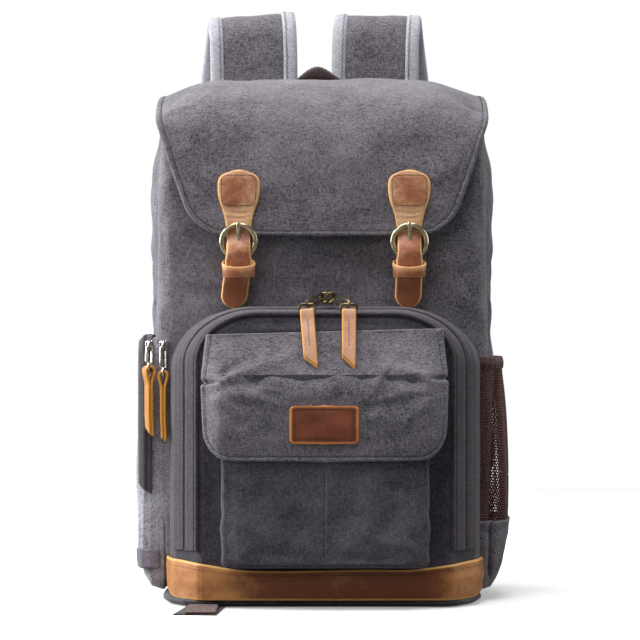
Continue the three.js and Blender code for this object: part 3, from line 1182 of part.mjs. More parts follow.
function buildHandle() {
  const footShare = 0.27;
  const [footY, footZ] = flapProfilePoint(footShare);
  const seat = footZ + FLAP_THICKNESS / 2 + GAP;
  const rise = HANDLE_TOP_Z - HANDLE_THICKNESS - seat;
  const steps = [-1, -0.93, -0.75, -0.5, -0.25, 0, 0.25, 0.5, 0.75, 0.93, 1].map((u) => {
    const lift = rise * (1 - Math.abs(u) ** 2.4);
    const thick = lerp(3, HANDLE_THICKNESS, smooth(1 - Math.abs(u), 0.02, 0.45));
    return { x: (u * HANDLE_SPAN) / 2, low: seat + lift, high: seat + lift + thick };
  });
  const rings = steps.map(({ x, low, high }) => {
    const [near, far] = [footY - HANDLE_WIDTH / 2, footY + HANDLE_WIDTH / 2];
    const round = (high - low) * 0.3;
    return [
      [near + round, low], [far - round, low], [far, low + round], [far, high - round],
      [far - round, high], [near + round, high], [near, high - round], [near, low + round],
    ].map(([y, z]) => new THREE.Vector3(x, y, z));
  });
  const underside = solidOf(sheet(flapGrid, -FLAP_THICKNESS * 4, FLAP_THICKNESS / 2 + GAP));
  addMesh("carry_handle", geometryOf(solidOf(loft(rings)).subtract(underside)), brownWebbing);
}

// A black tab under the left front corner, with a short webbing end that lies on the floor.
const FLOOR_TAB_X = -96.5;
const FLOOR_TAB_REACH = 56; // in front of the base's rolled edge

function buildFloorTab() {
  const back = POCKET_Y + BASE_ROLL[0].inset * 0.65 - GAP;
  const front = POCKET_Y - FLOOR_TAB_REACH;
  const half = WEBBING_WIDTH / 2;
  const face = new THREE.Shape([
    new THREE.Vector2(FLOOR_TAB_X - half - 1, back), new THREE.Vector2(FLOOR_TAB_X - half - 9, front + 4),
    new THREE.Vector2(FLOOR_TAB_X + half, front), new THREE.Vector2(FLOOR_TAB_X + half + 5, back)]);
  const tab = new THREE.ExtrudeGeometry(face, { depth: 1, bevelEnabled: false });
  addMesh("floor_tab", tab, blackFabric);
  const low = [FLOOR_TAB_X - half, front + 3, 1 + GAP];
  const high = [FLOOR_TAB_X + half, POCKET_Y - GAP, 1 + GAP + WEBBING_THICKNESS];
  addMesh("floor_tab_webbing", boxBetween(low, high), brownWebbing);
}

buildBody();
buildFlap();
buildFrontPocket();
buildFrontZip();
buildPiping();
buildLeatherBand();
buildBasePad();
buildSmallPocket();
buildSmallFlap();
buildPatch();
buildSidePocket();
buildNetPocket();
buildClosures();
buildFrontPulls();
buildSidePulls();
for (const [side, sign] of [["left", -1], ["right", 1]]) {
  buildStrap(side, sign);
  buildLadder(side, STRAPS_MIDDLE_X + sign * STRAP_END_X);
  buildWebbing(side, sign);
  buildTab(side, sign);
}
buildBack();
buildHandle();
buildFloorTab();

export default root;
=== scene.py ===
import math

import bpy
import numpy as np
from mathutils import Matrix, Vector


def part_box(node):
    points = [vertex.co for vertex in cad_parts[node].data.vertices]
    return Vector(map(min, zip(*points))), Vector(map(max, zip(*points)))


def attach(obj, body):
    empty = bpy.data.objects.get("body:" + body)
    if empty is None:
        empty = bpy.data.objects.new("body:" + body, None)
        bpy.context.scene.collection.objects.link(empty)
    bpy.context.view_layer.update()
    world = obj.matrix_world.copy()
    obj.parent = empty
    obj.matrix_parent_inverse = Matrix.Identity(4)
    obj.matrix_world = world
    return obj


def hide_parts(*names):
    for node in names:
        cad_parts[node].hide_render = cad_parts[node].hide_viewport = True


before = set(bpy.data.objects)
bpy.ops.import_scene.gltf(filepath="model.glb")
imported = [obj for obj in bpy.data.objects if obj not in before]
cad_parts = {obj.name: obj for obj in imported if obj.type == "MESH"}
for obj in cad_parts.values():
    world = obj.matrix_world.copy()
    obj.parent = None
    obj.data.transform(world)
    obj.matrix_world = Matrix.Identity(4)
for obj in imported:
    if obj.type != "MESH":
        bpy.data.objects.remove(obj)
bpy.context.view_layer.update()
MM = 0.001

# The studio
# A white floor in a white room. A large soft light hangs overhead, one stands on the left and a
# weaker one on the right, and a long lens looks at the bag from half its height.
CAMERA_DISTANCE = 2200
VIEW_WIDTH = 542.3  # of the picture, measured at the bag's middle
CAMERA_X, CAMERA_Z = -1.7, 234
ROOM_LIGHT = 0.19
FLOOR_BOUNCE = 0.16  # how white the floor is to the bag; the camera sees it white

scene = bpy.context.scene
camera = bpy.data.objects.new("camera", bpy.data.cameras.new("camera"))
scene.collection.objects.link(camera)
scene.camera = camera
camera.location = (CAMERA_X * MM, -CAMERA_DISTANCE * MM, CAMERA_Z * MM)
camera.rotation_euler = (math.radians(90), 0, 0)
camera.data.sensor_width = 36
camera.data.lens = 36 * CAMERA_DISTANCE / VIEW_WIDTH
scene.view_settings.view_transform = "Standard"
scene.view_settings.look = "None"

room = bpy.data.worlds.new("room")
room.use_nodes = True
lit = room.node_tree
background = lit.nodes["Background"]
seen = lit.nodes.new("ShaderNodeLightPath")
strength = lit.nodes.new("ShaderNodeMapRange")  # white to the camera, dimmer as a light
lit.links.new(seen.outputs["Is Camera Ray"], strength.inputs["Value"])
strength.inputs["To Min"].default_value = ROOM_LIGHT
lit.links.new(strength.outputs[0], background.inputs["Strength"])
background.inputs["Color"].default_value = (1, 1, 1, 1)
scene.world = room


def area_light(name, place, towards, size, watts):
    """A square soft light at a place, turned to face a point. All in metres."""
    data = bpy.data.lights.new(name, "AREA")
    data.size = size
    data.energy = watts
    light = bpy.data.objects.new(name, data)
    scene.collection.objects.link(light)
    light.location = place
    way = Vector(towards) - Vector(place)
    light.rotation_euler = way.to_track_quat("-Z", "Y").to_euler()


area_light("overhead_light", (-0.2, -0.42, 1.9), (0, 0, 0.3), 1.4, 40)
area_light("left_light", (-1.5, 0.05, 0.75), (0, 0, 0.25), 1.2, 40)
area_light("right_light", (1.7, 0.1, 0.7), (0, 0, 0.25), 1.2, 9)
area_light("front_light", (-0.9, -2.0, 1.1), (0, 0, 0.25), 0.6, 5)

floor_mesh = bpy.data.meshes.new("floor")
floor_mesh.from_pydata([(-1.6, -1.6, 0), (1.6, -1.6, 0), (1.6, 1.4, 0), (-1.6, 1.4, 0)], [], [(0, 1, 2, 3)])
floor = bpy.data.objects.new("floor", floor_mesh)
scene.collection.objects.link(floor)
floor_paint = bpy.data.materials.new("floor_paint")
floor_paint.use_nodes = True
floor_tree = floor_paint.node_tree
floor_seen = floor_tree.nodes.new("ShaderNodeLightPath")
floor_white = floor_tree.nodes.new("ShaderNodeMapRange")
floor_white.inputs["To Min"].default_value = FLOOR_BOUNCE
floor_tree.links.new(floor_seen.outputs["Is Camera Ray"], floor_white.inputs["Value"])
floor_tree.links.new(floor_white.outputs[0], floor_tree.nodes["Principled BSDF"].inputs["Base Color"])
floor_glow = floor_tree.nodes.new("ShaderNodeMapRange")
floor_glow.inputs["To Max"].default_value = 0.25
floor_tree.nodes["Principled BSDF"].inputs["Emission Color"].default_value = (1, 1, 1, 1)
floor_tree.links.new(floor_seen.outputs["Is Camera Ray"], floor_glow.inputs["Value"])
floor_tree.links.new(floor_glow.outputs[0], floor_tree.nodes["Principled BSDF"].inputs["Emission Strength"])
floor_paint.node_tree.nodes["Principled BSDF"].inputs["Roughness"].default_value = 0.7
floor_mesh.materials.append(floor_paint)

# The main bag
# A padded shell of waxed canvas, foam and lining, open at the top under the flap. Its side
# panels are sewn to the front wall with a corded seam and fold in softly behind it.
HEIGHT = 440
BODY_WIDTH = 289
BODY_WALL = 5
FRONT_Y, BACK_Y = -45, 90
BODY_DEPTH = BACK_Y - FRONT_Y
BASE_THICKNESS = 7
GAP = 0.3
BODY_BOTTOM = BASE_THICKNESS + GAP
FLAP_WIDTH = 275
FLAP_THICKNESS = 2.4
FLAP_SIDE_DROOP = 15
BODY_PLAN = [  # out from the middle as a share of half the width, back as a share of the depth
    (0, -0.015), (0.45, -0.01), (0.8, 0.005), (0.905, 0.035), (0.95, 0.12), (0.965, 0.2),
    (0.95, 0.26), (0.99, 0.37), (1, 0.58), (0.985, 0.8), (0.95, 0.93), (0.88, 0.99),
    (0.45, 1), (0, 1),
]
BODY_SECTIONS = np.array([  # share of the height, width, lean of the front wall
    (0, 0.905, 0.03), (0.045, 0.965, 0.01), (0.11, 0.985, 0), (0.3, 1, 0),
    (0.78, 1, 0), (0.87, 0.96, 0.02), (1.02, 0.895, 0.05),
])
FLAP_LINE = [  # back as a share of the depth, up of the height, width of the flap's width
    (1, 0.918, 0.955), (0.997, 0.952, 0.96), (0.965, 0.978, 0.965), (0.85, 0.99, 0.975),
    (0.62, 0.997, 0.99), (0.36, 0.987, 1), (0.13, 0.957, 1), (0.005, 0.912, 0.99),
    (-0.045, 0.855, 0.94), (-0.07, 0.785, 0.865), (-0.085, 0.691, 0.753),
]
FLAP_SEAT = GAP + FLAP_THICKNESS / 2


def spline(rows, share, closed=False):
    """A smooth curve through the rows of a table (Catmull-Rom), read at shares of its length."""
    rows = np.asarray(rows, float)
    count = len(rows)
    place = np.asarray(share, float) * (count if closed else count - 1)
    i = np.floor(place).astype(int)
    if not closed:
        i = np.clip(i, 0, count - 2)
    t = (place - i)[..., None]
    near = [(i + k) % count if closed else np.clip(i + k, 0, count - 1) for k in (-1, 0, 1, 2)]
    a, b, c, d = (rows[k] for k in near)
    square, cube = 2 * a - 5 * b + 4 * c - d, 3 * b - a - 3 * c + d
    return 0.5 * (2 * b + (c - a) * t + square * t**2 + cube * t**3)


def smooth(value, low, high):
    """0 below low, 1 above high and a smooth S between them. It falls where high is the smaller."""
    t = np.clip((np.asarray(value, float) - low) / (high - low), 0, 1)
    return t * t * (3 - 2 * t)


def mix(low, high, share):
    return low + (high - low) * share


def unit(vectors):
    return vectors / np.maximum(np.linalg.norm(vectors, axis=-1, keepdims=True), 1e-9)


def normals_of(grid, closed=False):
    """Unit normals of a grid of points: its direction along the rows crossed with that across."""
    along = np.gradient(grid, axis=0)
    if closed:
        across = np.roll(grid, -1, 1) - np.roll(grid, 1, 1)
    else:
        across = np.gradient(grid, axis=1)
    return unit(np.cross(along, across))


def grid_faces(rows, columns, closed=False):
    """Quads between neighbouring rows and columns, closed round the columns if asked."""
    r, c = np.meshgrid(np.arange(rows - 1), np.arange(columns - (not closed)), indexing="ij")
    n = (c + 1) % columns
    quads = [r * columns + c, r * columns + n, (r + 1) * columns + n, (r + 1) * columns + c]
    return np.stack(quads, -1).reshape(-1, 4)


def tube(rings):
    """A closed surface through rings of points, with a fan of triangles over each end ring."""
    rows, count = rings.shape[:2]
    ends = rings[[0, -1]].mean(1)
    points = np.concatenate([rings.reshape(-1, 3), ends])
    i = np.arange(count)
    j = (i + 1) % count
    first = np.stack([np.full(count, rows * count), j, i], -1)
    top = (rows - 1) * count
    last = np.stack([np.full(count, rows * count + 1), top + i, top + j], -1)
    return points, [grid_faces(rows, count, True), first, last]


def torus(rings):
    """A surface through rings of points whose last ring joins the first."""
    rows, count = rings.shape[:2]
    faces = grid_faces(rows + 1, count, True) % (rows * count)
    return rings.reshape(-1, 3), [faces]


def cloth(grid, low, high, normal=None):
    """A closed sheet between two offsets of a grid along its normals, with rounded edges."""
    normal = normals_of(grid) if normal is None else normal
    low, high = (np.broadcast_to(np.asarray(v, float), grid.shape[:2])[..., None] for v in (low, high))
    thick = high - low
    middle = grid + normal * (low + high) / 2

    def ring_rows(part, spread):
        """Outer row, right rim, inner row turned back and left rim of each row of the grid."""
        rows = slice(*part)
        n, m, t = normal[rows], middle[rows], thick[rows] * spread / 2
        outer, inner = m + n * t, m - n * t
        side = unit(grid[rows, -1:] - grid[rows, -2:-1]) * thick[rows, -1:] / 2
        other = unit(grid[rows, :1] - grid[rows, 1:2]) * thick[rows, :1] / 2
        return np.concatenate([outer, m[:, -1:] + side, inner[:, ::-1], m[:, :1] + other], 1)

    rings = ring_rows((0, None), 1)
    first, last = ring_rows((0, 1), 0.55), ring_rows((-1, None), 0.55)
    columns = grid.shape[1]

    def out_of(edge, inside, edge_thick):
        way = unit(edge - inside) * edge_thick * 0.45
        return np.concatenate([way, way[-1:], way[::-1], way[:1]])[None]

    first = first + out_of(grid[0], grid[1], thick[0])
    last = last + out_of(grid[-1], grid[-2], thick[-1])
    rings = np.concatenate([first, rings, last])
    rows, count = rings.shape[:2]
    c = np.arange(columns - 1)
    cap = np.stack([c, c + 1, 2 * columns - c - 1, 2 * columns - c], -1)
    ends = np.array([[columns - 1, columns, columns + 1], [2 * columns, 2 * columns + 1, 0]])
    top = (rows - 1) * count
    faces = [grid_faces(rows, count, True), cap[:, ::-1], ends[:, ::-1], top + cap, top + ends]
    return rings.reshape(-1, 3), faces


def add_piece(name, parts, material, nodes=(), worn=None, shade=None, groups=None):
    """One mesh from (points, faces) pairs in millimetres. A closed pair that is inside out is turned.
    worn and shade hold a value per point for the material, groups a material index per pair."""
    points, faces, kinds, start = [], [], [], 0
    for k, (p, lists) in enumerate(parts):
        p = np.asarray(p, float).reshape(-1, 3)
        volume = 0
        for f in lists:
            for b, c in ((1, 2), (2, 3))[: f.shape[1] - 2]:
                volume += np.einsum("ij,ij->", p[f[:, 0]], np.cross(p[f[:, b]], p[f[:, c]]))
        for f in lists:
            turned = f[:, ::-1] if volume < 0 else f
            faces.extend((turned + start).tolist())
            kinds.extend([groups[k] if groups else 0] * len(f))
        points.append(p)
        start += len(p)
    mesh = bpy.data.meshes.new(name)
    mesh.from_pydata((np.concatenate(points) * MM).tolist(), [], faces)
    mesh.polygons.foreach_set("use_smooth", [True] * len(faces))
    mesh.polygons.foreach_set("material_index", kinds)
    for m in material if isinstance(material, (list, tuple)) else [material]:
        mesh.materials.append(m)
    for label, values in (("worn", worn), ("shade", shade)):
        if values is not None:
            mesh.attributes.new(label, "FLOAT", "POINT").data.foreach_set("value", np.ravel(values))
    piece = bpy.data.objects.new(name, mesh)
    scene.collection.objects.link(piece)
    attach(piece, "root")
    if nodes:
        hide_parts(*nodes)
    return piece


def creases(x, z, rows):
    """Soft folds. Each row is a line (x, z, x, z), half width and height: a bell across the line
    that fades towards its two ends."""
    total = np.zeros(np.shape(x))
    for x0, z0, x1, z1, width, height in rows:
        length = math.hypot(x1 - x0, z1 - z0)
        t = ((x - x0) * (x1 - x0) + (z - z0) * (z1 - z0)) / length**2
        off = ((x - x0) * (z1 - z0) - (z - z0) * (x1 - x0)) / length
        fade = smooth(t, -0.15, 0.25) * smooth(t, 1.15, 0.7)
        total = total + height * np.exp(-((off / width) ** 2)) * fade
    return total


def rumple(x, z, size, seed, stretch=1.0):
    """A smooth random field of about -1 to 1: the sum of waves with random ways and lengths
    near size. stretch makes its forms longer along z."""
    random = np.random.default_rng(seed)
    total = np.zeros(np.shape(x))
    for _ in range(14):
        way, turn = random.uniform(0, np.pi), random.uniform(0, 2 * np.pi)
        length = size * random.uniform(0.6, 1.7)
        total = total + np.cos(2 * np.pi * (x * np.cos(way) + z / stretch * np.sin(way)) / length + turn)
    return total / 4.5


def body_outline(grow, around, z):
    """The bag's plan at a height: a closed smooth outline, moved out along its own normals."""
    plan = BODY_PLAN + [(-out, back) for out, back in BODY_PLAN[-2:0:-1]]
    up = (z - BODY_BOTTOM) / (HEIGHT - BODY_BOTTOM)
    width = np.interp(up, BODY_SECTIONS[:, 0], BODY_SECTIONS[:, 1])
    lean = np.interp(up, BODY_SECTIONS[:, 0], BODY_SECTIONS[:, 2])
    at = spline(plan, around, closed=True)
    x = at[..., 0] * BODY_WIDTH / 2 * width
    front = FRONT_Y + lean * BODY_DEPTH
    grid = np.stack([x, mix(front, BACK_Y, at[..., 1]), z], -1)
    tangent = np.roll(grid, -1, -2) - np.roll(grid, 1, -2)
    way = unit(np.stack([tangent[..., 1], -tangent[..., 0], 0 * x], -1))
    return grid + way * np.asarray(grow)[..., None], way


flap_shares = np.linspace(0, 0.7, 80)
flap_top_line = spline(FLAP_LINE, flap_shares)


def mouth_height(x, y):
    """Height of the flap's underside over a point of the bag's wall, a little lower for clearance."""
    line_y = mix(FRONT_Y - FLAP_SEAT, BACK_Y + FLAP_SEAT, flap_top_line[:, 0])
    z = np.interp(y, line_y[::-1], HEIGHT * flap_top_line[::-1, 1])
    return z - FLAP_SIDE_DROOP * smooth(np.abs(x), 0.62 * 137, 1.05 * 137) - FLAP_THICKNESS - 1.5


BODY_FOLDS = [  # on the front wall: x, z, x, z, half width, height
    (-112, 316, -86, 326, 5, 1.2), (-128, 300, -108, 272, 5, -1.0), (-120, 262, -60, 250, 7, -1.3),
    (-100, 268, -50, 262, 5, 1.0), (40, 292, 110, 282, 7, 1.3), (30, 275, 100, 262, 6, -1.3),
    (-50, 285, 30, 290, 9, 1.2), (112, 330, 124, 296, 5, 1.0), (-30, 262, 40, 258, 6, -1.0),
    (104, 268, 130, 240, 5, 1.3), (-132, 250, -112, 228, 4, 1.2), (95, 240, 128, 215, 4, 1.2),
]

around = (np.arange(300) + 0.5) / 300
rise = np.concatenate([np.linspace(0, 0.12, 24), np.linspace(0.12, 1, 150)[1:]])
flat_plan, _ = body_outline(0, around, np.full(300, 400.0))
top_of = mouth_height(flat_plan[:, 0], flat_plan[:, 1])
wall_z = BODY_BOTTOM + (top_of[None] - BODY_BOTTOM) * rise[:, None]
outer, wall_way = body_outline(0, around[None], wall_z)
x, y, z = outer[..., 0], outer[..., 1], outer[..., 2]
on_front = smooth(-wall_way[..., 1], 0.5, 0.9)
on_side = smooth(np.abs(wall_way[..., 0]), 0.4, 0.9)
on_back = smooth(wall_way[..., 1], 0.5, 0.9)
SEAM_X = 135.5  # of the corded seam between the front wall and each side panel
seam_off = np.where(y < FRONT_Y + 25, np.abs(x) - SEAM_X * (0.985 + 0.015 * smooth(z, 390, 340)), 99)
soft = on_front * (creases(x, z, BODY_FOLDS) + 0.9 * rumple(x, z, 62, 3))
soft = (soft + on_side * (1.5 * rumple(y, z, 34, 5, 3.2) + 0.9 * rumple(y, z, 19, 6, 1.6)
    + 2 * smooth(np.abs(y - 5), 14, 2) * rumple(y, z, 70, 7)))
soft = soft + on_back * 0.6 * rumple(x, z, 50, 8)
edge_fade = smooth(rise, 0, 0.03)[:, None] * smooth(rise, 1.0, 0.985)[:, None]
seam_form = 1.1 * np.exp(-((seam_off / 1.1) ** 2)) - 0.9 * np.exp(-(((seam_off - 3.2) / 1.6) ** 2))
outer = outer + wall_way * (soft * edge_fade + seam_form)[..., None]
inner, _ = body_outline(-BODY_WALL, around[None], wall_z[::-6] + 0.0)
rim_low = (outer[-1:] + inner[:1]) / 2 + np.array([0, 0, 1.0])
inner[-1, :, 2] = BODY_BOTTOM + BODY_WALL
body_rings = np.concatenate([outer, rim_low, inner])


def node_group(name, inputs, outputs):
    """An empty shader node group with named sockets: (name, kind, default) in and (name, kind) out."""
    group = bpy.data.node_groups.new(name, "ShaderNodeTree")
    for label, kind, default in inputs:
        socket = group.interface.new_socket(label, in_out="INPUT", socket_type="NodeSocket" + kind)
        socket.default_value = default
    for label, kind in outputs:
        group.interface.new_socket(label, in_out="OUTPUT", socket_type="NodeSocket" + kind)
    return group, group.nodes.new("NodeGroupInput"), group.nodes.new("NodeGroupOutput")


def add_node(tree, kind, links=(), **values):
    """A shader node whose inputs and properties are set by name, with links into its inputs."""
    node = tree.nodes.new("ShaderNode" + kind)
    for key, value in values.items():
        if hasattr(node, key):
            setattr(node, key, value)
        else:
            node.inputs[key.replace("_", " ")].default_value = value
    for socket, source in links:
        tree.links.new(source, node.inputs[socket])
    return node


def maths(tree, operation, a, b=None, c=None):
    """One Math node; each of its inputs is a number or another node's socket."""
    node = tree.nodes.new("ShaderNodeMath")
    node.operation = operation
    for i, value in enumerate((a, b, c)):
        if isinstance(value, (int, float)):
            node.inputs[i].default_value = value
        elif value is not None:
            tree.links.new(value, node.inputs[i])
    return node.outputs[0]


def blend_colour(tree, share, low, high, mode="MIX"):
    """One Mix node on colours; each input is a colour, a number or another node's socket."""
    node = tree.nodes.new("ShaderNodeMix")
    node.data_type = "RGBA"
    node.blend_type = mode
    for i, value in ((0, share), (6, low), (7, high)):
        if isinstance(value, bpy.types.NodeSocket):
            tree.links.new(value, node.inputs[i])
        else:
            node.inputs[i].default_value = value
    return node.outputs[2]


def colour(code):
    """A hex colour as Blender's linear red, green, blue and alpha."""
    values = [int(code[i : i + 2], 16) / 255 for i in (0, 2, 4)]
    return (*[((v + 0.055) / 1.055) ** 2.4 if v > 0.04 else v / 12.92 for v in values], 1)


def woven_group():
    """Waxed cloth: heathered yarns, cloudy wax, pale rubbed creases, and the height of its weave."""
    group, given, out = node_group(
        "woven_cloth",
        [("Dark", "Color", colour("3a383d")), ("Light", "Color", colour("8b8990")),
         ("Yarn Pitch", "Float", 0.9), ("Clouds", "Float", 1.0), ("Crease", "Float", 1.0)],
        [("Color", "Color"), ("Height", "Float"), ("Roughness", "Float")])
    place = add_node(group, "TexCoord").outputs["Object"]
    fine = add_node(group, "TexNoise", [("Vector", place)], Scale=850.0, Detail=3.0, Roughness=0.75)
    wide = add_node(group, "Mapping", [("Vector", place)], Scale=(1, 1, 4.5))
    weft = add_node(group, "TexNoise", [("Vector", wide.outputs[0])], Scale=260.0, Detail=2.0)
    tall = add_node(group, "Mapping", [("Vector", place)], Scale=(4.5, 4.5, 1))
    warp = add_node(group, "TexNoise", [("Vector", tall.outputs[0])], Scale=260.0, Detail=2.0)
    clouds = add_node(group, "TexNoise", [("Vector", place)], Scale=13.0, Detail=4.0, Roughness=0.6)
    patch = add_node(group, "TexNoise", [("Vector", place)], Scale=55.0, Detail=3.0, Roughness=0.6)
    heather = maths(group, "ADD", maths(group, "MULTIPLY", fine.outputs[0], 1.1), weft.outputs[0])
    heather = maths(group, "ADD", heather, warp.outputs[0])
    heather = maths(group, "MULTIPLY_ADD", heather, 1.15, -1.28)
    cloudy = maths(group, "ADD", clouds.outputs[0], maths(group, "MULTIPLY", patch.outputs[0], 0.55))
    cloudy = maths(group, "MULTIPLY_ADD", cloudy, 1.5, -1.16)
    cloudy = maths(group, "MULTIPLY", cloudy, given.outputs["Clouds"])
    ridge = add_node(group, "TexNoise", [("Vector", place)], Scale=21.0, Detail=2.0, Distortion=0.4)
    line = maths(group, "ABSOLUTE", maths(group, "SUBTRACT", ridge.outputs[0], 0.5))
    line = add_node(group, "MapRange", [("Value", line)], From_Min=0.012, From_Max=0.0).outputs[0]
    rare = add_node(group, "MapRange", [("Value", patch.outputs[0])], From_Min=0.5, From_Max=0.68)
    line = maths(group, "MULTIPLY", line, rare.outputs[0])
    worn = add_node(group, "Attribute", attribute_name="worn").outputs["Fac"]
    rubbed = maths(group, "ADD", maths(group, "MULTIPLY", line, 0.16), maths(group, "MULTIPLY", worn, 0.5))
    rubbed = maths(group, "MULTIPLY", rubbed, given.outputs["Crease"])
    share = maths(group, "ADD", maths(group, "ADD", heather, cloudy), rubbed)
    tone = blend_colour(group, maths(group, "MINIMUM", maths(group, "MAXIMUM", share, 0.0), 1.0),
                        given.outputs["Dark"], given.outputs["Light"])
    group.links.new(tone, out.inputs["Color"])
    apart = add_node(group, "SeparateXYZ", [("Vector", place)])
    turns = maths(group, "DIVIDE", 2 * math.pi * 1000, given.outputs["Yarn Pitch"])
    side = maths(group, "ADD", apart.outputs[0], apart.outputs[1])
    upward = maths(group, "ADD", apart.outputs[2], maths(group, "MULTIPLY", apart.outputs[1], 0.35))
    weave = maths(group, "MULTIPLY", maths(group, "SINE", maths(group, "MULTIPLY", side, turns)),
                  maths(group, "SINE", maths(group, "MULTIPLY", upward, turns)))
    height = maths(group, "ADD", maths(group, "MULTIPLY", weave, 0.3), maths(group, "MULTIPLY", heather, 0.9))
    group.links.new(height, out.inputs["Height"])
    dull = maths(group, "MULTIPLY_ADD", cloudy, -0.12, 0.8)
    group.links.new(dull, out.inputs["Roughness"])
    return group


woven = woven_group()


def cloth_material(name, dark, light, pitch=0.9, clouds=1.0, crease=1.0, bump=0.35, depth=0.0005):
    """A finish of woven cloth with its own colours, yarn pitch in mm and strength of its marks."""
    made = bpy.data.materials.new(name)
    made.use_nodes = True
    tree = made.node_tree
    shader = tree.nodes["Principled BSDF"]
    weave = add_node(tree, "Group", node_tree=woven)
    for label, value in (("Dark", colour(dark)), ("Light", colour(light)), ("Yarn Pitch", pitch),
                         ("Clouds", clouds), ("Crease", crease)):
        weave.inputs[label].default_value = value
    relief = add_node(tree, "Bump", [("Height", weave.outputs["Height"])], Strength=bump, Distance=depth)
    tree.links.new(weave.outputs["Color"], shader.inputs["Base Color"])
    tree.links.new(weave.outputs["Roughness"], shader.inputs["Roughness"])
    tree.links.new(relief.outputs[0], shader.inputs["Normal"])
    shader.inputs["Specular IOR Level"].default_value = 0.3
    shader.inputs["Sheen Weight"].default_value = 0.25
    shader.inputs["Sheen Roughness"].default_value = 0.5
    return made


canvas = cloth_material("waxed_canvas", "1f1c20", "86818a", clouds=0.5)
body_worn = np.concatenate([
    np.clip(0.5 * np.exp(-((seam_off / 1.3) ** 2)) + 0.12 * soft * on_side, 0, 1).ravel(),
    np.zeros(300 * (1 + len(inner)) + 2)])
body = add_piece("padded_body", [tube(body_rings)], canvas, ["body_shell"], body_worn)

# The top flap
# Doubled waxed canvas hemmed on the back wall. It lies over the mouth, rolls down the front
# and narrows to a straight hem with round corners, stitched 3 mm inside its edge.
FLAP_HEM_CORNER = 24


def flap_point(across, share):
    """The flap's middle surface: its line from back to hem, spread to a width that narrows and
    rounds off at the hem's corners, its sides drooping on top."""
    line = spline(FLAP_LINE, share)
    hem_z = HEIGHT * FLAP_LINE[-1][1]
    y = mix(FRONT_Y - FLAP_SEAT, BACK_Y + FLAP_SEAT, line[..., 0])
    z = HEIGHT * line[..., 1]
    rounded = np.where(share > 0.8, np.maximum(FLAP_HEM_CORNER - (z - hem_z), 0), 0)
    inset = FLAP_HEM_CORNER - np.sqrt(np.maximum(FLAP_HEM_CORNER**2 - rounded**2, 0))
    half = FLAP_WIDTH / 2 * line[..., 2] - inset
    droop = FLAP_SIDE_DROOP * smooth(np.abs(across), 0.62, 1.05) * (1 - smooth(share, 0.55, 0.8))
    return np.stack(np.broadcast_arrays(across * half, y, z - droop), -1)


def spread(count, dense=0.0):
    """Values from -1 to 1, closer together near both ends by a share."""
    t = np.linspace(-1, 1, count)
    return mix(t, np.sin(t * np.pi / 2), dense)


def edge_path(grid, inset, sides="left hem right", step=1.0):
    """Points and normals along the edges of a grid, moved inwards by inset: down its first
    column, along its last row and back up its last column, at even steps."""
    normal = normals_of(grid)
    pick = {"left": (slice(None), 0), "hem": (-1, slice(None)), "right": (slice(None, None, -1), -1),
            "top": (0, slice(None, None, -1))}
    line = np.concatenate([grid[pick[s]] for s in sides.split()])
    facing = np.concatenate([normal[pick[s]] for s in sides.split()])
    run = np.concatenate([[0], np.cumsum(np.linalg.norm(np.diff(line, axis=0), axis=1))])
    at = np.arange(0, run[-1], step)
    line, facing = (np.stack([np.interp(at, run, v[:, k]) for k in range(3)], -1) for v in (line, facing))
    tangent = unit(np.gradient(line, axis=0))
    reach = max(int(inset / step), 1)
    kernel = np.ones(2 * reach + 1) / (2 * reach + 1)
    padded = np.pad(tangent, ((reach, reach), (0, 0)), mode="edge")
    tangent = unit(np.stack([np.convolve(padded[:, k], kernel, "valid") for k in range(3)], -1))
    return line + unit(np.cross(facing, tangent)) * inset, unit(facing)


def edge_distance(grid, sides="left hem right", step=2.0):
    """Distance of every point of a grid from its edges, in millimetres, to marks a step apart."""
    line, _ = edge_path(grid, 0, sides, step)
    flat = grid.reshape(-1, 3).astype(np.float32)
    best = np.full(len(flat), 1e6, np.float32)
    for part in np.array_split(line.astype(np.float32), max(len(line) // 60, 1)):
        best = np.minimum(best, np.linalg.norm(flat[:, None] - part[None], axis=2).min(1))
    return best.reshape(grid.shape[:2])


def stitches(path, facing, pitch=3.4, length=2.3, width=0.6, lift=0.25):
    """A row of thread stitches along a path, each a six-point lens laid on the cloth, and the
    dark lenses between them, painted shade for the needle holes. Returns two (points, faces) pairs."""
    run = np.concatenate([[0], np.cumsum(np.linalg.norm(np.diff(path, axis=0), axis=1))])
    count = max(int(run[-1] / pitch), 2)
    at = (np.arange(count) + 0.5) * run[-1] / count

    def sampled(values, where):
        return np.stack([np.interp(where, run, values[:, k]) for k in range(3)], -1)

    def lenses(where, long, wide, high):
        middle, up = sampled(path, where), unit(sampled(facing, where))
        way = unit(sampled(path, where + 0.3) - sampled(path, where - 0.3))
        side = np.cross(up, way)
        points = np.stack([middle - way * long / 2, middle + way * long / 2, middle + side * wide / 2,
                           middle - side * wide / 2, middle + up * high, middle - up * high], 1)
        one = np.array([[0, 2, 4], [2, 1, 4], [1, 3, 4], [3, 0, 4], [2, 0, 5], [1, 2, 5], [3, 1, 5],
            [0, 3, 5]])
        faces = (one[None] + 6 * np.arange(len(where))[:, None, None]).reshape(-1, 3)
        return points.reshape(-1, 3), [faces[:, ::-1]]

    # the dark lenses between the stitches are painted shade for the needle holes
    holes = (at + 0.5 * run[-1] / count)[:-1]
    return lenses(at, length, width, lift), lenses(holes, 1.0, 0.9, 0.12)


thread_parts = []
thread_groups = []


def sew(path, facing, above=0.0, kind=0, **sizes):
    """Adds a row of stitches to the bag's sewing: thread kind 0 is grey, 1 tan, 2 dark; 3 is a needle hole, a
    dark mark of painted shade.
    """
    thread, holes = stitches(path + unit(facing) * above, facing, **sizes)
    thread_parts.extend([thread, holes])
    thread_groups.extend([kind, 3])


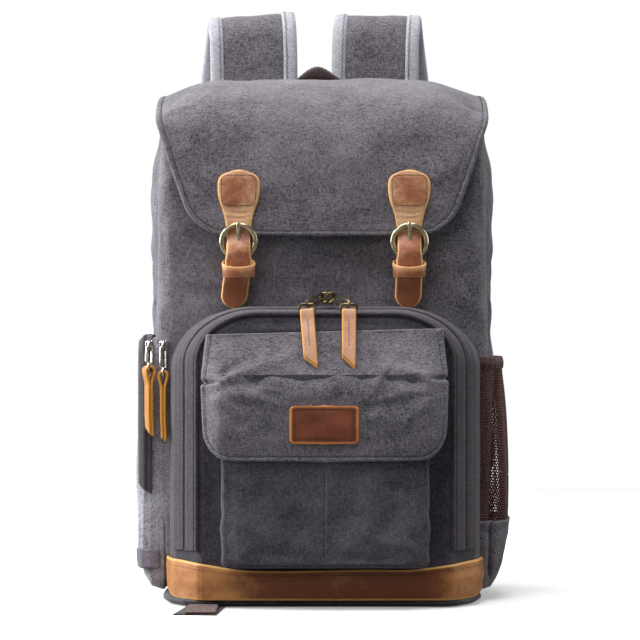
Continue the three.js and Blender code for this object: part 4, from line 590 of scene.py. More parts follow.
FLAP_FOLDS = [  # on the front of the flap: x, z, x, z, half width, height
    (-131, 404, -106, 413, 2.2, 1.1), (-106, 413, -93, 424, 2.0, 1.0), (-104, 382, -88, 356, 8, -1.5),
    (-60, 372, 0, 380, 16, 1.1), (90, 350, 118, 368, 9, 1.3), (58, 372, 100, 376, 9, -1.2),
    (-120, 380, -100, 330, 9, 1.0), (-30, 330, 40, 322, 12, 0.9), (-70, 322, -10, 330, 9, -0.9),
    (20, 360, 60, 398, 14, 1.0), (-20, 400, 50, 404, 10, -0.9), (100, 395, 122, 380, 8, -1.0),
    (80, 330, 110, 322, 7, 0.9), (-48, 352, -20, 318, 8, 0.8),
]
FLAP_PLEAT = (120.5, 413.5, 134, 406, 1.4, -2.2)  # the short tuck at the right shoulder
share = np.concatenate([np.linspace(0, 0.5, 60), np.linspace(0.5, 0.9, 80)[1:], np.linspace(0.9, 1, 34)[1:]])
flap = flap_point(spread(150, 0.5)[None], share[:, None])
flap_way = normals_of(flap)
x, y, z = flap[..., 0], flap[..., 1], flap[..., 2]
on_front = smooth(share, 0.48, 0.62)[:, None]
fold = on_front * (creases(x, z, FLAP_FOLDS) + 0.8 * rumple(x, z, 75, 11) + 0.35 * rumple(x, z, 28, 12))
fold = fold + (1 - on_front) * (1.1 * rumple(x, y, 80, 13) + 0.4 * rumple(x, y, 30, 14))
pleat = creases(x, z, [FLAP_PLEAT]) * on_front
edge = edge_distance(flap)
settle = smooth(edge, 0, 14)
hem = 0.35 * np.exp(-(((edge - 1.6) / 1.3) ** 2)) - 0.45 * np.exp(-(((edge - 3.4) / 0.8) ** 2))
flap = flap + flap_way * (np.maximum(fold, -1.2) * mix(0.35, 1, settle) + 0.6 + pleat)[..., None]
flap_rings, flap_faces = cloth(flap, -FLAP_THICKNESS / 2, FLAP_THICKNESS / 2 + hem, flap_way)
flap_piece = add_piece("canvas_flap", [(flap_rings, flap_faces)], canvas, ["top_flap"])
path, facing = edge_path(flap, 3.4)
sew(path, facing, FLAP_THICKNESS / 2, kind=2, pitch=3.3, length=1.5, width=0.9, lift=0.4)
flap_front, flap_front_way = flap[share > 0.5], flap_way[share > 0.5]


def plain_material(name, code, roughness, metallic=0.0):
    """A plain finish of one colour, its roughness broken by a fine noise."""
    made = bpy.data.materials.new(name)
    made.use_nodes = True
    tree = made.node_tree
    shader = tree.nodes["Principled BSDF"]
    shader.inputs["Metallic"].default_value = metallic
    place = add_node(tree, "TexCoord").outputs["Object"]
    grain = add_node(tree, "TexNoise", [("Vector", place)], Scale=900.0, Detail=2.0)
    base = colour(code)
    darker = tuple(0.6 * v for v in base[:3]) + (1,)
    tone = blend_colour(tree, grain.outputs[0], darker, base)
    tree.links.new(tone, shader.inputs["Base Color"])
    tree.links.new(maths(tree, "MULTIPLY_ADD", grain.outputs[0], 0.2, roughness - 0.1),
        shader.inputs["Roughness"])
    return made


# The front pocket
# A box pocket of waxed canvas on the bag's front wall: an arched front panel, and a slanted
# gusset round it that narrows from the wall to the panel.
FRONT_POCKET_WIDTH = 257
FRONT_POCKET_X = 2.5
FRONT_POCKET_DEPTH = 45
FRONT_POCKET_TOP = 244
POCKET_CORNER = (66, 51)  # width and rise of the arch's corners
FRONT_PANEL_BULGE = 2.5
POCKET_Y = FRONT_Y - FRONT_POCKET_DEPTH
CANVAS_WALL = 2
POCKET_SECTIONS = np.array([  # share of the depth, then shares of the arch's width, top, corner
    (-0.02, 1, 1, 1), (0.06, 1, 1, 1), (0.5, 0.956, 0.998, 0.97), (0.86, 0.84, 0.984, 0.8),
    (0.97, 0.8, 0.972, 0.74), (1, 0.775, 0.955, 0.68),
])


def pocket_section(out):
    return [np.interp(out, POCKET_SECTIONS[:, 0], POCKET_SECTIONS[:, k]) for k in (1, 2, 3)]


def arch(turn, section, bottom, grow=0.0):
    """The pocket's arch, for turn 0 at the left foot to 1 at the right foot: a straight side up
    to turn 0.32, a quarter ellipse to 0.44, and a straight top across the middle."""
    width, top, corner = section
    half = FRONT_POCKET_WIDTH / 2 * width + grow
    crown = FRONT_POCKET_TOP * top + grow
    across, lift = POCKET_CORNER[0] * corner + grow, POCKET_CORNER[1] * corner + grow
    side = np.minimum(turn, 1 - turn)
    up, bend, flat = (np.clip((side - a) / (b - a), 0, 1) for a, b in ((0, 0.32), (0.32, 0.44), (0.44, 0.5)))
    angle = np.pi - bend * np.pi / 2
    x = -half + across * (1 + np.cos(angle)) + flat * (half - across)
    z = mix(bottom, crown - lift, up) + lift * np.sin(angle)
    return x * np.where(turn > 0.5, -1, 1) + FRONT_POCKET_X, z


def gusset(turn, out, bottom, grow=0.0):
    """Points of the pocket's gusset: its arch at one turn and share of the depth."""
    x, z = arch(turn, pocket_section(out), bottom, grow)
    y = FRONT_Y - out * FRONT_POCKET_DEPTH
    return np.stack(np.broadcast_arrays(x, y, z), -1)


def wall_fold(points, size, height, seed, stretch=1.0):
    """Random soft unevenness read at a grid's own places, x and y together against z."""
    return height * rumple(points[..., 0] + points[..., 1] * 1.3, points[..., 2], size, seed, stretch)


turn = np.linspace(0, 1, 330)
out = np.linspace(-0.02, 1, 30)[:, None]
side_wall = gusset(turn[None], out, BODY_BOTTOM)
side_way = normals_of(side_wall)
side_way = (side_way * np.sign((side_way
    * (side_wall - [FRONT_POCKET_X, FRONT_Y, 120])).sum(-1, keepdims=True)))
settle = smooth(out, -0.02, 0.2) * smooth(out, 1.0, 0.9)
side_wall = side_wall + side_way * (settle * (wall_fold(side_wall, 45, 0.8, 21, 2.5)))[..., None]
PANEL_FOLDS = [  # x, z, x, z, half width, height
    (-84, 60, -76, 150, 5, 0.8), (90, 70, 84, 140, 5, 0.8), (-70, 226, 60, 229, 6, 0.8),
    (-60, 236, -10, 234, 4, -0.6), (20, 234, 80, 232, 5, -0.7), (-92, 150, -84, 200, 4, -0.7),
]
inwards = np.linspace(1, 0, 46)[1:, None]
edge_x, edge_z = arch(turn, pocket_section(1.0), BODY_BOTTOM)
middle_z = np.minimum(edge_z, edge_z.max() - POCKET_CORNER[1] * 0.68)
panel_x = FRONT_POCKET_X + (edge_x[None] - FRONT_POCKET_X) * inwards
panel_z = middle_z[None] + (edge_z - middle_z)[None] * inwards
bulge = FRONT_PANEL_BULGE * smooth(inwards, 1, 0.75)
relief = (bulge + smooth(inwards, 1, 0.8) * (creases(panel_x, panel_z, PANEL_FOLDS)
    + 0.7 * rumple(panel_x, panel_z, 60, 22)))
panel = np.stack([panel_x, POCKET_Y - relief, panel_z], -1)
shell = np.concatenate([side_wall, panel])
inside = np.concatenate([side_wall - side_way * CANVAS_WALL, panel + [0, CANVAS_WALL, 0]])
shell_points = np.concatenate([shell, inside[::-1][::5], inside[:1]])
pocket_faces = grid_faces(len(shell_points), shell.shape[1])
back_rim = np.stack([np.arange(329), np.arange(1, 330)], -1)
last_row = (len(shell_points) - 1) * 330
pocket_faces = [pocket_faces, np.concatenate([back_rim[:, ::-1], last_row + back_rim], 1)]
# the same canvas, painted darker to stand for the shade that falls on the front pocket
panel_canvas_painted_shade = cloth_material("panel_canvas_painted_shade", "100e12", "4c4853", clouds=0.6)
front_pocket = add_piece("pocket_shell", [(shell_points, pocket_faces)], panel_canvas_painted_shade,
    ["front_pocket"])

# The zip of the front pocket
# Coil zip sewn along the middle of the gusset: mauve-grey tape, a woven coil line on it, a row
# of stitches along each edge, and a corded piping where the gusset meets the panel.
ZIP_TAPE = (0.5, 0.9)  # shares of the pocket's depth
ZIP_TAPE_THICKNESS = 1.2
ZIP_COIL_WIDTH = 3
ZIP_END_Z = 46
PIPING_RADIUS = 1.7
tape_cloth = cloth_material("zip_tape", "241f26", "564f58", 0.6, 0.5, 0.6, 0.3)
coil_plastic = plain_material("zip_coil", "5a515c", 0.45)


tape_turn = np.linspace(0, 1, 360)
tape = gusset(tape_turn[None], np.linspace(*ZIP_TAPE, 17)[:, None], ZIP_END_Z, GAP + ZIP_TAPE_THICKNESS / 2)
tape_way = -normals_of(tape)
off = np.linspace(*ZIP_TAPE, 17) - sum(ZIP_TAPE) / 2
lift = (0.5 * np.exp(-((off * FRONT_POCKET_DEPTH / 1.9) ** 2))
    - 0.35 * np.exp(-(((np.abs(off) * FRONT_POCKET_DEPTH - 3.6) / 0.8) ** 2)))
tape = tape + tape_way * lift[:, None, None]
add_piece("front_zip_band", [cloth(tape, -0.6, 0.6, tape_way)], tape_cloth, ["front_zip_tape"])


def coil_row(path, facing, pitch, width, height):
    """Zip teeth: bent links laid across a path at even steps, each a bar of six corners whose
    middle is raised."""
    run = np.concatenate([[0], np.cumsum(np.linalg.norm(np.diff(path, axis=0), axis=1))])
    at = np.arange(pitch, run[-1] - pitch, pitch)
    middle = np.stack([np.interp(at, run, path[:, k]) for k in range(3)], -1)
    ahead = np.stack([np.interp(at + 0.3, run, path[:, k]) for k in range(3)], -1)
    up = unit(np.stack([np.interp(at, run, facing[:, k]) for k in range(3)], -1))
    way = unit(ahead - middle)
    cross = np.cross(up, way)
    t = np.linspace(-1, 1, 7)[None, :, None]
    line = middle[:, None] + cross[:, None] * t * width / 2 + up[:, None] * height * (1 - t**2)
    a = np.arange(4) * np.pi / 2 + np.pi / 4
    spread_way = (way[:, None, None] * np.cos(a)[None, None, :, None]
        + up[:, None, None] * np.sin(a)[None, None, :, None])
    rings = line[:, :, None] + spread_way * pitch * 0.33
    base = grid_faces(7, 4, True)
    caps = np.array([[3, 2, 1, 0], [24, 25, 26, 27]])
    one = np.concatenate([base, caps])
    faces = (one[None] + 28 * np.arange(len(at))[:, None, None]).reshape(-1, 4)
    return rings.reshape(-1, 3), [faces]


middle_out = sum(ZIP_TAPE) / 2
coil_line = gusset(np.linspace(0, 1, 900), middle_out, ZIP_END_Z, GAP * 2 + ZIP_TAPE_THICKNESS + 0.35)
coil_way = np.gradient(coil_line, axis=0)
coil_way = unit(np.cross(coil_way, gusset(np.linspace(0, 1, 900), middle_out + 0.02, ZIP_END_Z, GAP * 2
    + ZIP_TAPE_THICKNESS + 0.35) - coil_line))
coil_way = (coil_way * np.sign((coil_way
    * (coil_line - [FRONT_POCKET_X, FRONT_Y, 120])).sum(-1, keepdims=True)))
add_piece("front_zip_teeth", [coil_row(coil_line, coil_way, 1.5, ZIP_COIL_WIDTH, 0.35)], coil_plastic,
    ["front_zip_coil"])
for out_at in (0.585, 0.815):
    line = gusset(np.linspace(0, 1, 500), out_at, ZIP_END_Z, GAP + ZIP_TAPE_THICKNESS)
    sew(line, coil_way[np.linspace(0, 899, 500).astype(int)], 0.0, pitch=2.6, length=1.7, width=0.45)


def cord_rings(path, radius, sides=10, wide=None):
    """Rings of a round cord along a path, its section turned to keep one side towards wide."""
    tangent = unit(np.gradient(path, axis=0))
    right = unit(wide - (wide * tangent).sum(-1, keepdims=True) * tangent)
    up = np.cross(tangent, right)
    a = np.arange(sides) * 2 * np.pi / sides
    radius = np.broadcast_to(radius, len(path))[:, None, None]
    return path[:, None] + radius * (np.cos(a)[None, :, None] * right[:, None]
        + np.sin(a)[None, :, None] * up[:, None])


x, z = arch(np.linspace(0, 1, 420), pocket_section(0.97), ZIP_END_Z, PIPING_RADIUS + GAP)
piping_line = np.stack([x, np.full(420, POCKET_Y + 1.0), z], -1)
piping = cord_rings(piping_line, PIPING_RADIUS * (1 + 0.04 * np.sin(np.arange(420) * 1.9)), 10,
    np.array([0.0, 1.0, 0.0]))
add_piece("panel_piping", [tube(piping)], tape_cloth, ["front_piping"])

# The leather band
# Oiled leather round the foot of the front pocket. Its upper edge sags a little in the
# middle, its middle is painted darker as shade under the small pocket, and its raw edges show golden.
LEATHER_BAND_TOP = 37
LEATHER_BAND_SAG = 7
LEATHER_BAND_CORNER = 14
LEATHER = 2.2
SIDE_POCKET_FRONT = FRONT_Y + 6


def leather_group():
    """Oiled leather: cloudy pull-up tone, fine pebbled grain, small scratches and pale edges."""
    group, given, out = node_group(
        "oiled_leather",
        [("Dark", "Color", colour("5a3016")), ("Light", "Color", colour("a8672f")),
         ("Edge", "Color", colour("d9973f")), ("Clouds", "Float", 1.0), ("Grain", "Float", 700.0)],
        [("Color", "Color"), ("Height", "Float"), ("Roughness", "Float")])
    place = add_node(group, "TexCoord").outputs["Object"]
    clouds = add_node(group, "TexNoise", [("Vector", place)], Scale=38.0, Detail=5.0, Roughness=0.62)
    stains = add_node(group, "TexNoise", [("Vector", place)], Scale=160.0, Detail=4.0, Roughness=0.7)
    long = add_node(group, "Mapping", [("Vector", place)], Scale=(1, 1, 7), Rotation=(0.0, 0.5, 0.0))
    scratch = add_node(group, "TexNoise", [("Vector", long.outputs[0])], Scale=190.0, Detail=3.0)
    tone = maths(group, "MULTIPLY_ADD", clouds.outputs[0], 2.4, -0.72)
    tone = maths(group, "MULTIPLY", maths(group, "SUBTRACT", tone, 0.5), given.outputs["Clouds"])
    tone = maths(group, "ADD", tone, maths(group, "MULTIPLY_ADD", stains.outputs[0], 0.7, 0.15))
    pale = add_node(group, "MapRange", [("Value", scratch.outputs[0])], From_Min=0.62,
        From_Max=0.72).outputs[0]
    tone = maths(group, "ADD", tone, maths(group, "MULTIPLY", pale, 0.25))
    # the shade attribute darkens the tone; on the foot band it carries painted shade
    shade = add_node(group, "Attribute", attribute_name="shade").outputs["Fac"]
    tone = maths(group, "SUBTRACT", tone, shade)
    tone = maths(group, "MINIMUM", maths(group, "MAXIMUM", tone, 0.0), 1.0)
    face = blend_colour(group, tone, given.outputs["Dark"], given.outputs["Light"])
    worn = add_node(group, "Attribute", attribute_name="worn").outputs["Fac"]
    ragged = maths(group, "MULTIPLY_ADD", stains.outputs[0], 0.9, -0.45)
    rim = maths(group, "MINIMUM", maths(group, "MAXIMUM",
        maths(group, "ADD", worn, maths(group, "MULTIPLY", ragged, worn)), 0.0), 1.0)
    group.links.new(blend_colour(group, rim, face, given.outputs["Edge"]), out.inputs["Color"])
    pebble = add_node(group, "TexVoronoi", [("Vector", place), ("Scale", given.outputs["Grain"])],
        feature="SMOOTH_F1")
    height = maths(group, "ADD", maths(group, "MULTIPLY", pebble.outputs["Distance"], -0.6),
                   maths(group, "MULTIPLY", scratch.outputs[0], 0.5))
    group.links.new(height, out.inputs["Height"])
    group.links.new(maths(group, "MULTIPLY_ADD", tone, 0.2, 0.42), out.inputs["Roughness"])
    return group


oiled = leather_group()


def leather_material(name, dark, light, edge, clouds=1.0, grain=700.0, bump=0.3):
    """A finish of oiled leather with its own tones, strength of clouding and grain."""
    made = bpy.data.materials.new(name)
    made.use_nodes = True
    tree = made.node_tree
    shader = tree.nodes["Principled BSDF"]
    hide = add_node(tree, "Group", node_tree=oiled)
    for label, value in (("Dark", colour(dark)), ("Light", colour(light)), ("Edge", colour(edge)),
                         ("Clouds", clouds), ("Grain", grain)):
        hide.inputs[label].default_value = value
    relief = add_node(tree, "Bump", [("Height", hide.outputs["Height"])], Strength=bump, Distance=0.0004)
    tree.links.new(hide.outputs["Color"], shader.inputs["Base Color"])
    tree.links.new(hide.outputs["Roughness"], shader.inputs["Roughness"])
    tree.links.new(relief.outputs[0], shader.inputs["Normal"])
    shader.inputs["Specular IOR Level"].default_value = 0.35
    return made


def worn_edges(grid, reach, sides="left hem right top", rows=None):
    """The worn value of a cloth() sheet's points: 1 at the grid's edges, 0 past reach."""
    value = smooth(edge_distance(grid, sides, 0.5), reach, 0)
    ring = np.concatenate([value, value[:, -1:] * 0 + 1, value[:, ::-1], value[:, :1] * 0 + 1], 1)
    return np.concatenate([np.ones((1, ring.shape[1])), ring, np.ones((1, ring.shape[1]))])


base_leather = leather_material("base_leather", "7d4526", "d99a5c", "e2ad62", 0.6, 600.0)
plan_y = np.array([SIDE_POCKET_FRONT - 1, -50, -60, -67.5, -76, -83.7, -87, -88.7, -89.6])
out_of_y = (FRONT_Y - plan_y) / FRONT_POCKET_DEPTH
flank_x = FRONT_POCKET_WIDTH / 2 * np.interp(out_of_y, POCKET_SECTIONS[:, 0], POCKET_SECTIONS[:, 1])
front_x = np.linspace(-96, 96, 9)
front_bulge = FRONT_PANEL_BULGE * (1 - (front_x / 99) ** 2) * 0.9
plan = np.concatenate([
    np.stack([-flank_x, plan_y], -1), np.stack([front_x, POCKET_Y - front_bulge], -1),
    np.stack([flank_x[::-1], plan_y[::-1]], -1)])
band_line = spline(plan, np.linspace(0, 1, 260))
half = FRONT_POCKET_WIDTH / 2 + 2
reach = np.abs(band_line[:, 0]) - (half - LEATHER_BAND_CORNER)
low = (BODY_BOTTOM + LEATHER_BAND_CORNER * (1
    - np.sqrt(np.clip(1 - np.clip(reach / LEATHER_BAND_CORNER, 0, 1) ** 2, 0, 1))))
high = (LEATHER_BAND_TOP - LEATHER_BAND_SAG * smooth(np.abs(band_line[:, 0]), 128, 60)
    + 0.5 * np.sin(band_line[:, 0] / 23))
rows = np.linspace(0, 1, 22)[:, None]
band = np.stack([
    np.broadcast_to(band_line[:, 0], (22, 260)) + FRONT_POCKET_X, np.broadcast_to(band_line[:, 1], (22, 260)),
    mix(high, low, rows)], -1)
band_way = normals_of(band)
band_way = band_way * np.sign((band_way * (band - [0, FRONT_Y, 20])).sum(-1, keepdims=True))
swell = 0.5 * rumple(band[..., 0], band[..., 2] * 3, 55, 31) + 0.6 * np.sin(rows * np.pi)
band = band + band_way * (GAP + LEATHER / 2 + 0.4 + swell)[..., None]
# painted shade: darker in the middle of the band's length, under the small pocket, plus a little random tone
band_painted_shade_and_tone = (0.62 * smooth(band[..., 0], -85, -40) * smooth(band[..., 0], 122, 85)
    + 0.12 * rumple(band[..., 0], band[..., 2] * 3, 60, 32))
band_painted_shade_and_tone = np.concatenate([band_painted_shade_and_tone, band_painted_shade_and_tone[:, -1:], band_painted_shade_and_tone[:, ::-1], band_painted_shade_and_tone[:, :1]], 1)
band_painted_shade_and_tone = np.concatenate([band_painted_shade_and_tone[:1], band_painted_shade_and_tone, band_painted_shade_and_tone[-1:]])
add_piece("foot_band", [cloth(band, -LEATHER / 2, LEATHER / 2, band_way)], base_leather,
          ["leather_base_band"], worn_edges(band, 1.0, "hem top"), shade=band_painted_shade_and_tone)
path = band[3] + band_way[3] * LEATHER / 2
sew(path, band_way[3], 0.0, kind=1, pitch=3.6, length=2.4, width=0.65)

# The padded floor
# The bag's bottom panel, its canvas rolled over foam, showing as a dark lip under the band.
base_plan_half = BODY_WIDTH / 2 * BODY_SECTIONS[0, 1] + 1
BASE_ROLL = [(0, 9), (0.12, 5), (0.3, 2.6), (0.5, 0.6), (0.7, 0), (0.88, 0.6), (1, 2.4)]  # up, inset
corner = FRONT_POCKET_DEPTH * 0.4
side = [(0, POCKET_Y), (base_plan_half * 0.55, POCKET_Y), (base_plan_half * 0.8, POCKET_Y + 1.0),
        (base_plan_half * 0.93, POCKET_Y + corner), (base_plan_half, FRONT_Y), (base_plan_half, 20),
        (base_plan_half, BACK_Y - corner), (base_plan_half - corner / 2, BACK_Y - 1),
        (base_plan_half * 0.55, BACK_Y), (0, BACK_Y)]
plan = side + [(-px, py) for px, py in side[-2:0:-1]]
outline = spline(plan, np.arange(260) / 260, closed=True)
tangent = unit(np.roll(outline, -1, 0) - np.roll(outline, 1, 0))
away = np.stack([tangent[:, 1], -tangent[:, 0]], -1)
rings = np.array([np.column_stack([outline - away * inset,
    np.full(260, up * BASE_THICKNESS)]) for up, inset in BASE_ROLL])
rings[2:, :, :2] += away[None] * (0.35 * rumple(outline[:, 0] * 3, outline[:, 1] * 3, 60, 33))[None, :, None]
base_cloth = cloth_material("base_canvas", "29272b", "6a676e", 0.9, 0.8, 1.2)
base = add_piece("padded_floor", [tube(rings)], base_cloth, ["base_pad"])

# The small pocket
# A bellows pocket of waxed canvas on the front panel, open at the top under its flap. Its
# front wall sags over gussets that fold in behind its edges.
SMALL_POCKET_WIDTH = 168
SMALL_POCKET_DEPTH = 24
SMALL_POCKET_BOTTOM = 34
PANEL_Y = POCKET_Y - FRONT_PANEL_BULGE
POUCH_TOP = 190
POUCH_SECTIONS = [  # share of the depth, share of the width, rise of the bottom in mm
    (-0.04, 0.965, 0), (0.25, 0.955, 0.6), (0.5, 0.94, 1.6), (0.7, 0.955, 1.0), (0.86, 0.992, 0.4),
    (0.95, 0.99, 1.4), (1, 0.968, 3),
]
POUCH_FOLDS = [  # x, z, x, z, half width, height
    (-70, 108, -40, 98, 8, 0.9), (60, 96, 78, 60, 4, 1.3), (48, 104, 76, 92, 4.5, -1.2),
    (30, 60, 70, 52, 5, 0.9), (-78, 60, -50, 42, 4, 0.9), (-30, 84, 30, 78, 10, 0.8),
    (64, 118, 80, 100, 4, 1.0), (10, 44, 60, 40, 4, -0.8), (-60, 48, -10, 43, 4, -0.6),
    (-80, 118, -72, 80, 3.5, -0.8), (70, 56, 82, 42, 3, 1.2),
]


def pouch_edge(turn, width, rise, grow=0.0):
    """The pocket's outline from the top left down, round two small corners and up the right."""
    half = SMALL_POCKET_WIDTH / 2 * width + grow
    bottom = SMALL_POCKET_BOTTOM + rise - grow
    corner = 7.0
    side = np.minimum(turn, 1 - turn)
    down, bend, flat = (np.clip((side - a) / (b - a), 0, 1) for a, b in ((0, 0.33), (0.33, 0.37),
        (0.37, 0.5)))
    angle = bend * np.pi / 2
    x = -half + corner * (1 - np.cos(angle)) + flat * (half - corner)
    z = mix(POUCH_TOP, bottom + corner, down) - corner * np.sin(angle)
    return x * np.where(turn > 0.5, -1, 1) + FRONT_POCKET_X, z


turn = np.linspace(0, 1, 260)
depth = np.linspace(0, 1, 22)
rows = spline(POUCH_SECTIONS, depth)
grid = []
for out_at, width, rise in rows:
    px, pz = pouch_edge(turn, width, rise)
    grid.append(np.stack([px, np.full(260, mix(PANEL_Y, PANEL_Y - SMALL_POCKET_DEPTH, out_at)), pz], -1))
side_wall = np.array(grid)
edge_x, edge_z = side_wall[-1, :, 0], side_wall[-1, :, 2]
inwards = np.linspace(1, 0, 44)[1:, None]
front_x = FRONT_POCKET_X + (edge_x[None] - FRONT_POCKET_X) * inwards
rise_z = np.maximum(edge_z, SMALL_POCKET_BOTTOM + 10)[None]
front_z = rise_z + (edge_z[None] - rise_z) * inwards
swell = (smooth(inwards, 1, 0.86) * (1.4 + creases(front_x, front_z, POUCH_FOLDS)
    + 0.9 * rumple(front_x, front_z, 48, 41) + 0.35 * rumple(front_x, front_z, 20, 42)))
low_sag = 1.6 * smooth(front_z, 75, 45) * smooth(inwards, 1, 0.8)
front = np.stack([front_x, PANEL_Y - SMALL_POCKET_DEPTH - swell - low_sag, front_z], -1)
side_fold = (0.7 * rumple(side_wall[..., 1] * 2, side_wall[..., 2], 22,
    43) * smooth(np.abs(side_wall[..., 0]), 70, 80))
side_wall[..., 0] += (np.sign(side_wall[..., 0]) * side_fold * smooth(depth, 0, 0.2)[:, None]
    * smooth(depth, 1, 0.9)[:, None])
shell = np.concatenate([side_wall, front])
to_middle = shell - np.array([FRONT_POCKET_X, 0, 110])
lining = (shell - unit(to_middle * [1, 0, 0.6]) * CANVAS_WALL
    * np.concatenate([np.ones(22), np.zeros(43)])[:, None, None])
lining[22:, :, 1] += CANVAS_WALL
points = np.concatenate([shell, lining[::-1][::4], lining[:1]])
faces = grid_faces(len(points), 260)
last_row = (len(points) - 1) * 260
rim = np.stack([np.arange(259), np.arange(1, 260)], -1)
# the same canvas, painted darker to stand for the shade it lies in under the small flap
pocket_canvas_painted_shade = cloth_material("pocket_canvas_painted_shade", "19171b", "625e68", clouds=0.55)
pouch = add_piece("bellows_pocket", [(points, [faces, np.concatenate([rim[:, ::-1], last_row + rim], 1)])],
    pocket_canvas_painted_shade, ["small_pocket"])

# The small flap
# Hemmed canvas sewn to the panel above the pocket. A dart at each side makes it stand over the
# pocket's depth, and creases fan out from the darts' ends.
SMALL_FLAP_WIDTH = 197
SMALL_FLAP_X = 2
SMALL_FLAP_TOP, SMALL_FLAP_HEM = 223.5, 121
SMALL_FLAP_CORNER = 24
SMALL_FLAP_SIDE_TURN = 11
SMALL_FLAP_LINE = [  # down as a share of the drop, stand-off, width
    (0, 0, 0.965), (0.07, 0.12, 0.972), (0.2, 0.42, 0.985), (0.38, 0.88, 1), (0.6, 1.02, 0.995),
    (0.8, 1.03, 0.985), (1, 1, 0.97),
]
SMALL_FLAP_OFF = SMALL_POCKET_DEPTH + FLAP_THICKNESS + GAP * 2
DART_LEFT, DART_RIGHT = (-82.5, 183.5), (86.0, 187.0)  # where each dart ends
SMALL_FLAP_FOLDS = [  # x, z, x, z, half width, height
    (-84, 184, -46, 197, 3.4, 1.9), (-82, 189, -58, 204, 2.6, -1.3), (-82, 180, -40, 184, 4.0, -1.4),
    (-80, 176, -44, 168, 4.5, 1.4), (-90, 173, -62, 158, 5, 1.2), (-52, 196, -14, 206, 5, 1.2),
    (-60, 190, -20, 190, 5, -1.1), (86, 187, 52, 196, 3.2, 1.8), (84, 182, 44, 186, 3.6, -1.3),
    (84, 192, 62, 206, 3.0, -1.2), (82, 178, 46, 170, 4.5, 1.4), (56, 202, 38, 172, 3.2, 1.5),
    (44, 204, 28, 180, 3.6, -1.0), (60, 168, 30, 160, 5, -1.0), (-30, 176, 30, 182, 8, 0.9),
    (-10, 205, 40, 203, 6, -0.8), (64, 150, 84, 168, 5, 1.1), (-84, 150, -60, 138, 5, 0.8),
    (-34, 164, -60, 176, 4, 1.0), (36, 152, 52, 166, 4, 0.9),
]


def small_flap_point(across, share):
    """The small flap's middle surface: its line from the seam to the hem, spread to its width,
    its corners rounded and its side edges turned back."""
    line = spline(SMALL_FLAP_LINE, share)
    z = mix(SMALL_FLAP_TOP, SMALL_FLAP_HEM, line[..., 0])
    rounded = np.maximum(SMALL_FLAP_CORNER - (z - SMALL_FLAP_HEM), 0)
    inset = SMALL_FLAP_CORNER - np.sqrt(np.maximum(SMALL_FLAP_CORNER**2 - rounded**2, 0))
    half = SMALL_FLAP_WIDTH / 2 * line[..., 2] - inset * 0.9
    stand = SMALL_FLAP_OFF * line[..., 1]
    x = across * half
    outside = smooth(np.abs(x), SMALL_POCKET_WIDTH / 2 * 0.98, SMALL_FLAP_WIDTH / 2 * 1.02)
    turned = SMALL_FLAP_SIDE_TURN * outside * np.minimum(stand / SMALL_FLAP_OFF, 1)
    top_tilt = 2.6 * (x / 98) * smooth(share, 0.25, 0)
    y = PANEL_Y - FLAP_SEAT - stand + turned
    return np.stack(np.broadcast_arrays(x + SMALL_FLAP_X, y, z + top_tilt), -1)


share = np.concatenate([np.linspace(0, 0.86, 96), np.linspace(0.86, 1, 36)[1:]])
flap = small_flap_point(spread(140, 0.45)[None], share[:, None])
flap_way = normals_of(flap)
x, y, z = flap[..., 0], flap[..., 1], flap[..., 2]
edge = edge_distance(flap)
settle = smooth(edge, 0, 16)
fold = creases(x, z, SMALL_FLAP_FOLDS) + 0.55 * rumple(x, z, 42, 51) + 0.3 * rumple(x, z, 17, 52)
left_dart = np.exp(-(((z - DART_LEFT[1]) / 1.5) ** 2)) * smooth(x, DART_LEFT[0] + 2, DART_LEFT[0] - 6)
right_dart = np.exp(-(((z - DART_RIGHT[1]) / 1.5) ** 2)) * smooth(x, DART_RIGHT[0] - 2, DART_RIGHT[0] + 6)
dart_lip = np.exp(-(((z - DART_LEFT[1] + 3.5) / 2.2) ** 2)) * smooth(x, DART_LEFT[0] + 6, DART_LEFT[0] - 4)
dart_lip = (dart_lip + np.exp(-(((z - DART_RIGHT[1] + 3.5) / 2.2) ** 2))
    * smooth(x, DART_RIGHT[0] - 6, DART_RIGHT[0] + 4))
hem = 0.35 * np.exp(-(((edge - 1.6) / 1.3) ** 2)) - 0.45 * np.exp(-(((edge - 3.4) / 0.8) ** 2))
relief = np.maximum(fold, -1.4) * mix(0.3, 1, settle) * smooth(share, 0, 0.06)[:, None] + 0.5 * dart_lip
flap = flap + flap_way * (relief - 2.3 * (left_dart + right_dart))[..., None] * 1.0
flap[..., 0] -= np.sign(x) * 2.0 * (left_dart + right_dart) * smooth(edge, 12, 0)
add_small = [cloth(flap, -FLAP_THICKNESS / 2, FLAP_THICKNESS / 2 + hem, flap_way)]
small_flap = add_piece("canvas_small_flap", add_small, canvas, ["small_flap"])
small_flap_grid, small_flap_way = flap, flap_way
path, facing = edge_path(flap, 3.4)
sew(path, facing, FLAP_THICKNESS / 2, kind=2, pitch=3.0, length=1.4, width=0.7, lift=0.35)

# The leather patch
# A small bare plate of dark oiled leather with round corners, sewn to the flap with tan thread.
PATCH_WIDTH, PATCH_HEIGHT, PATCH_Z = 54, 30, 150
PATCH_THICKNESS = 1.8


def rounded_half(z, low, high, half, radius):
    """Half width of a plate with round corners at each height."""
    near = np.minimum(z - low, high - z)
    cut = np.clip(radius - near, 0, radius)
    return half - radius + np.sqrt(radius**2 - cut**2)


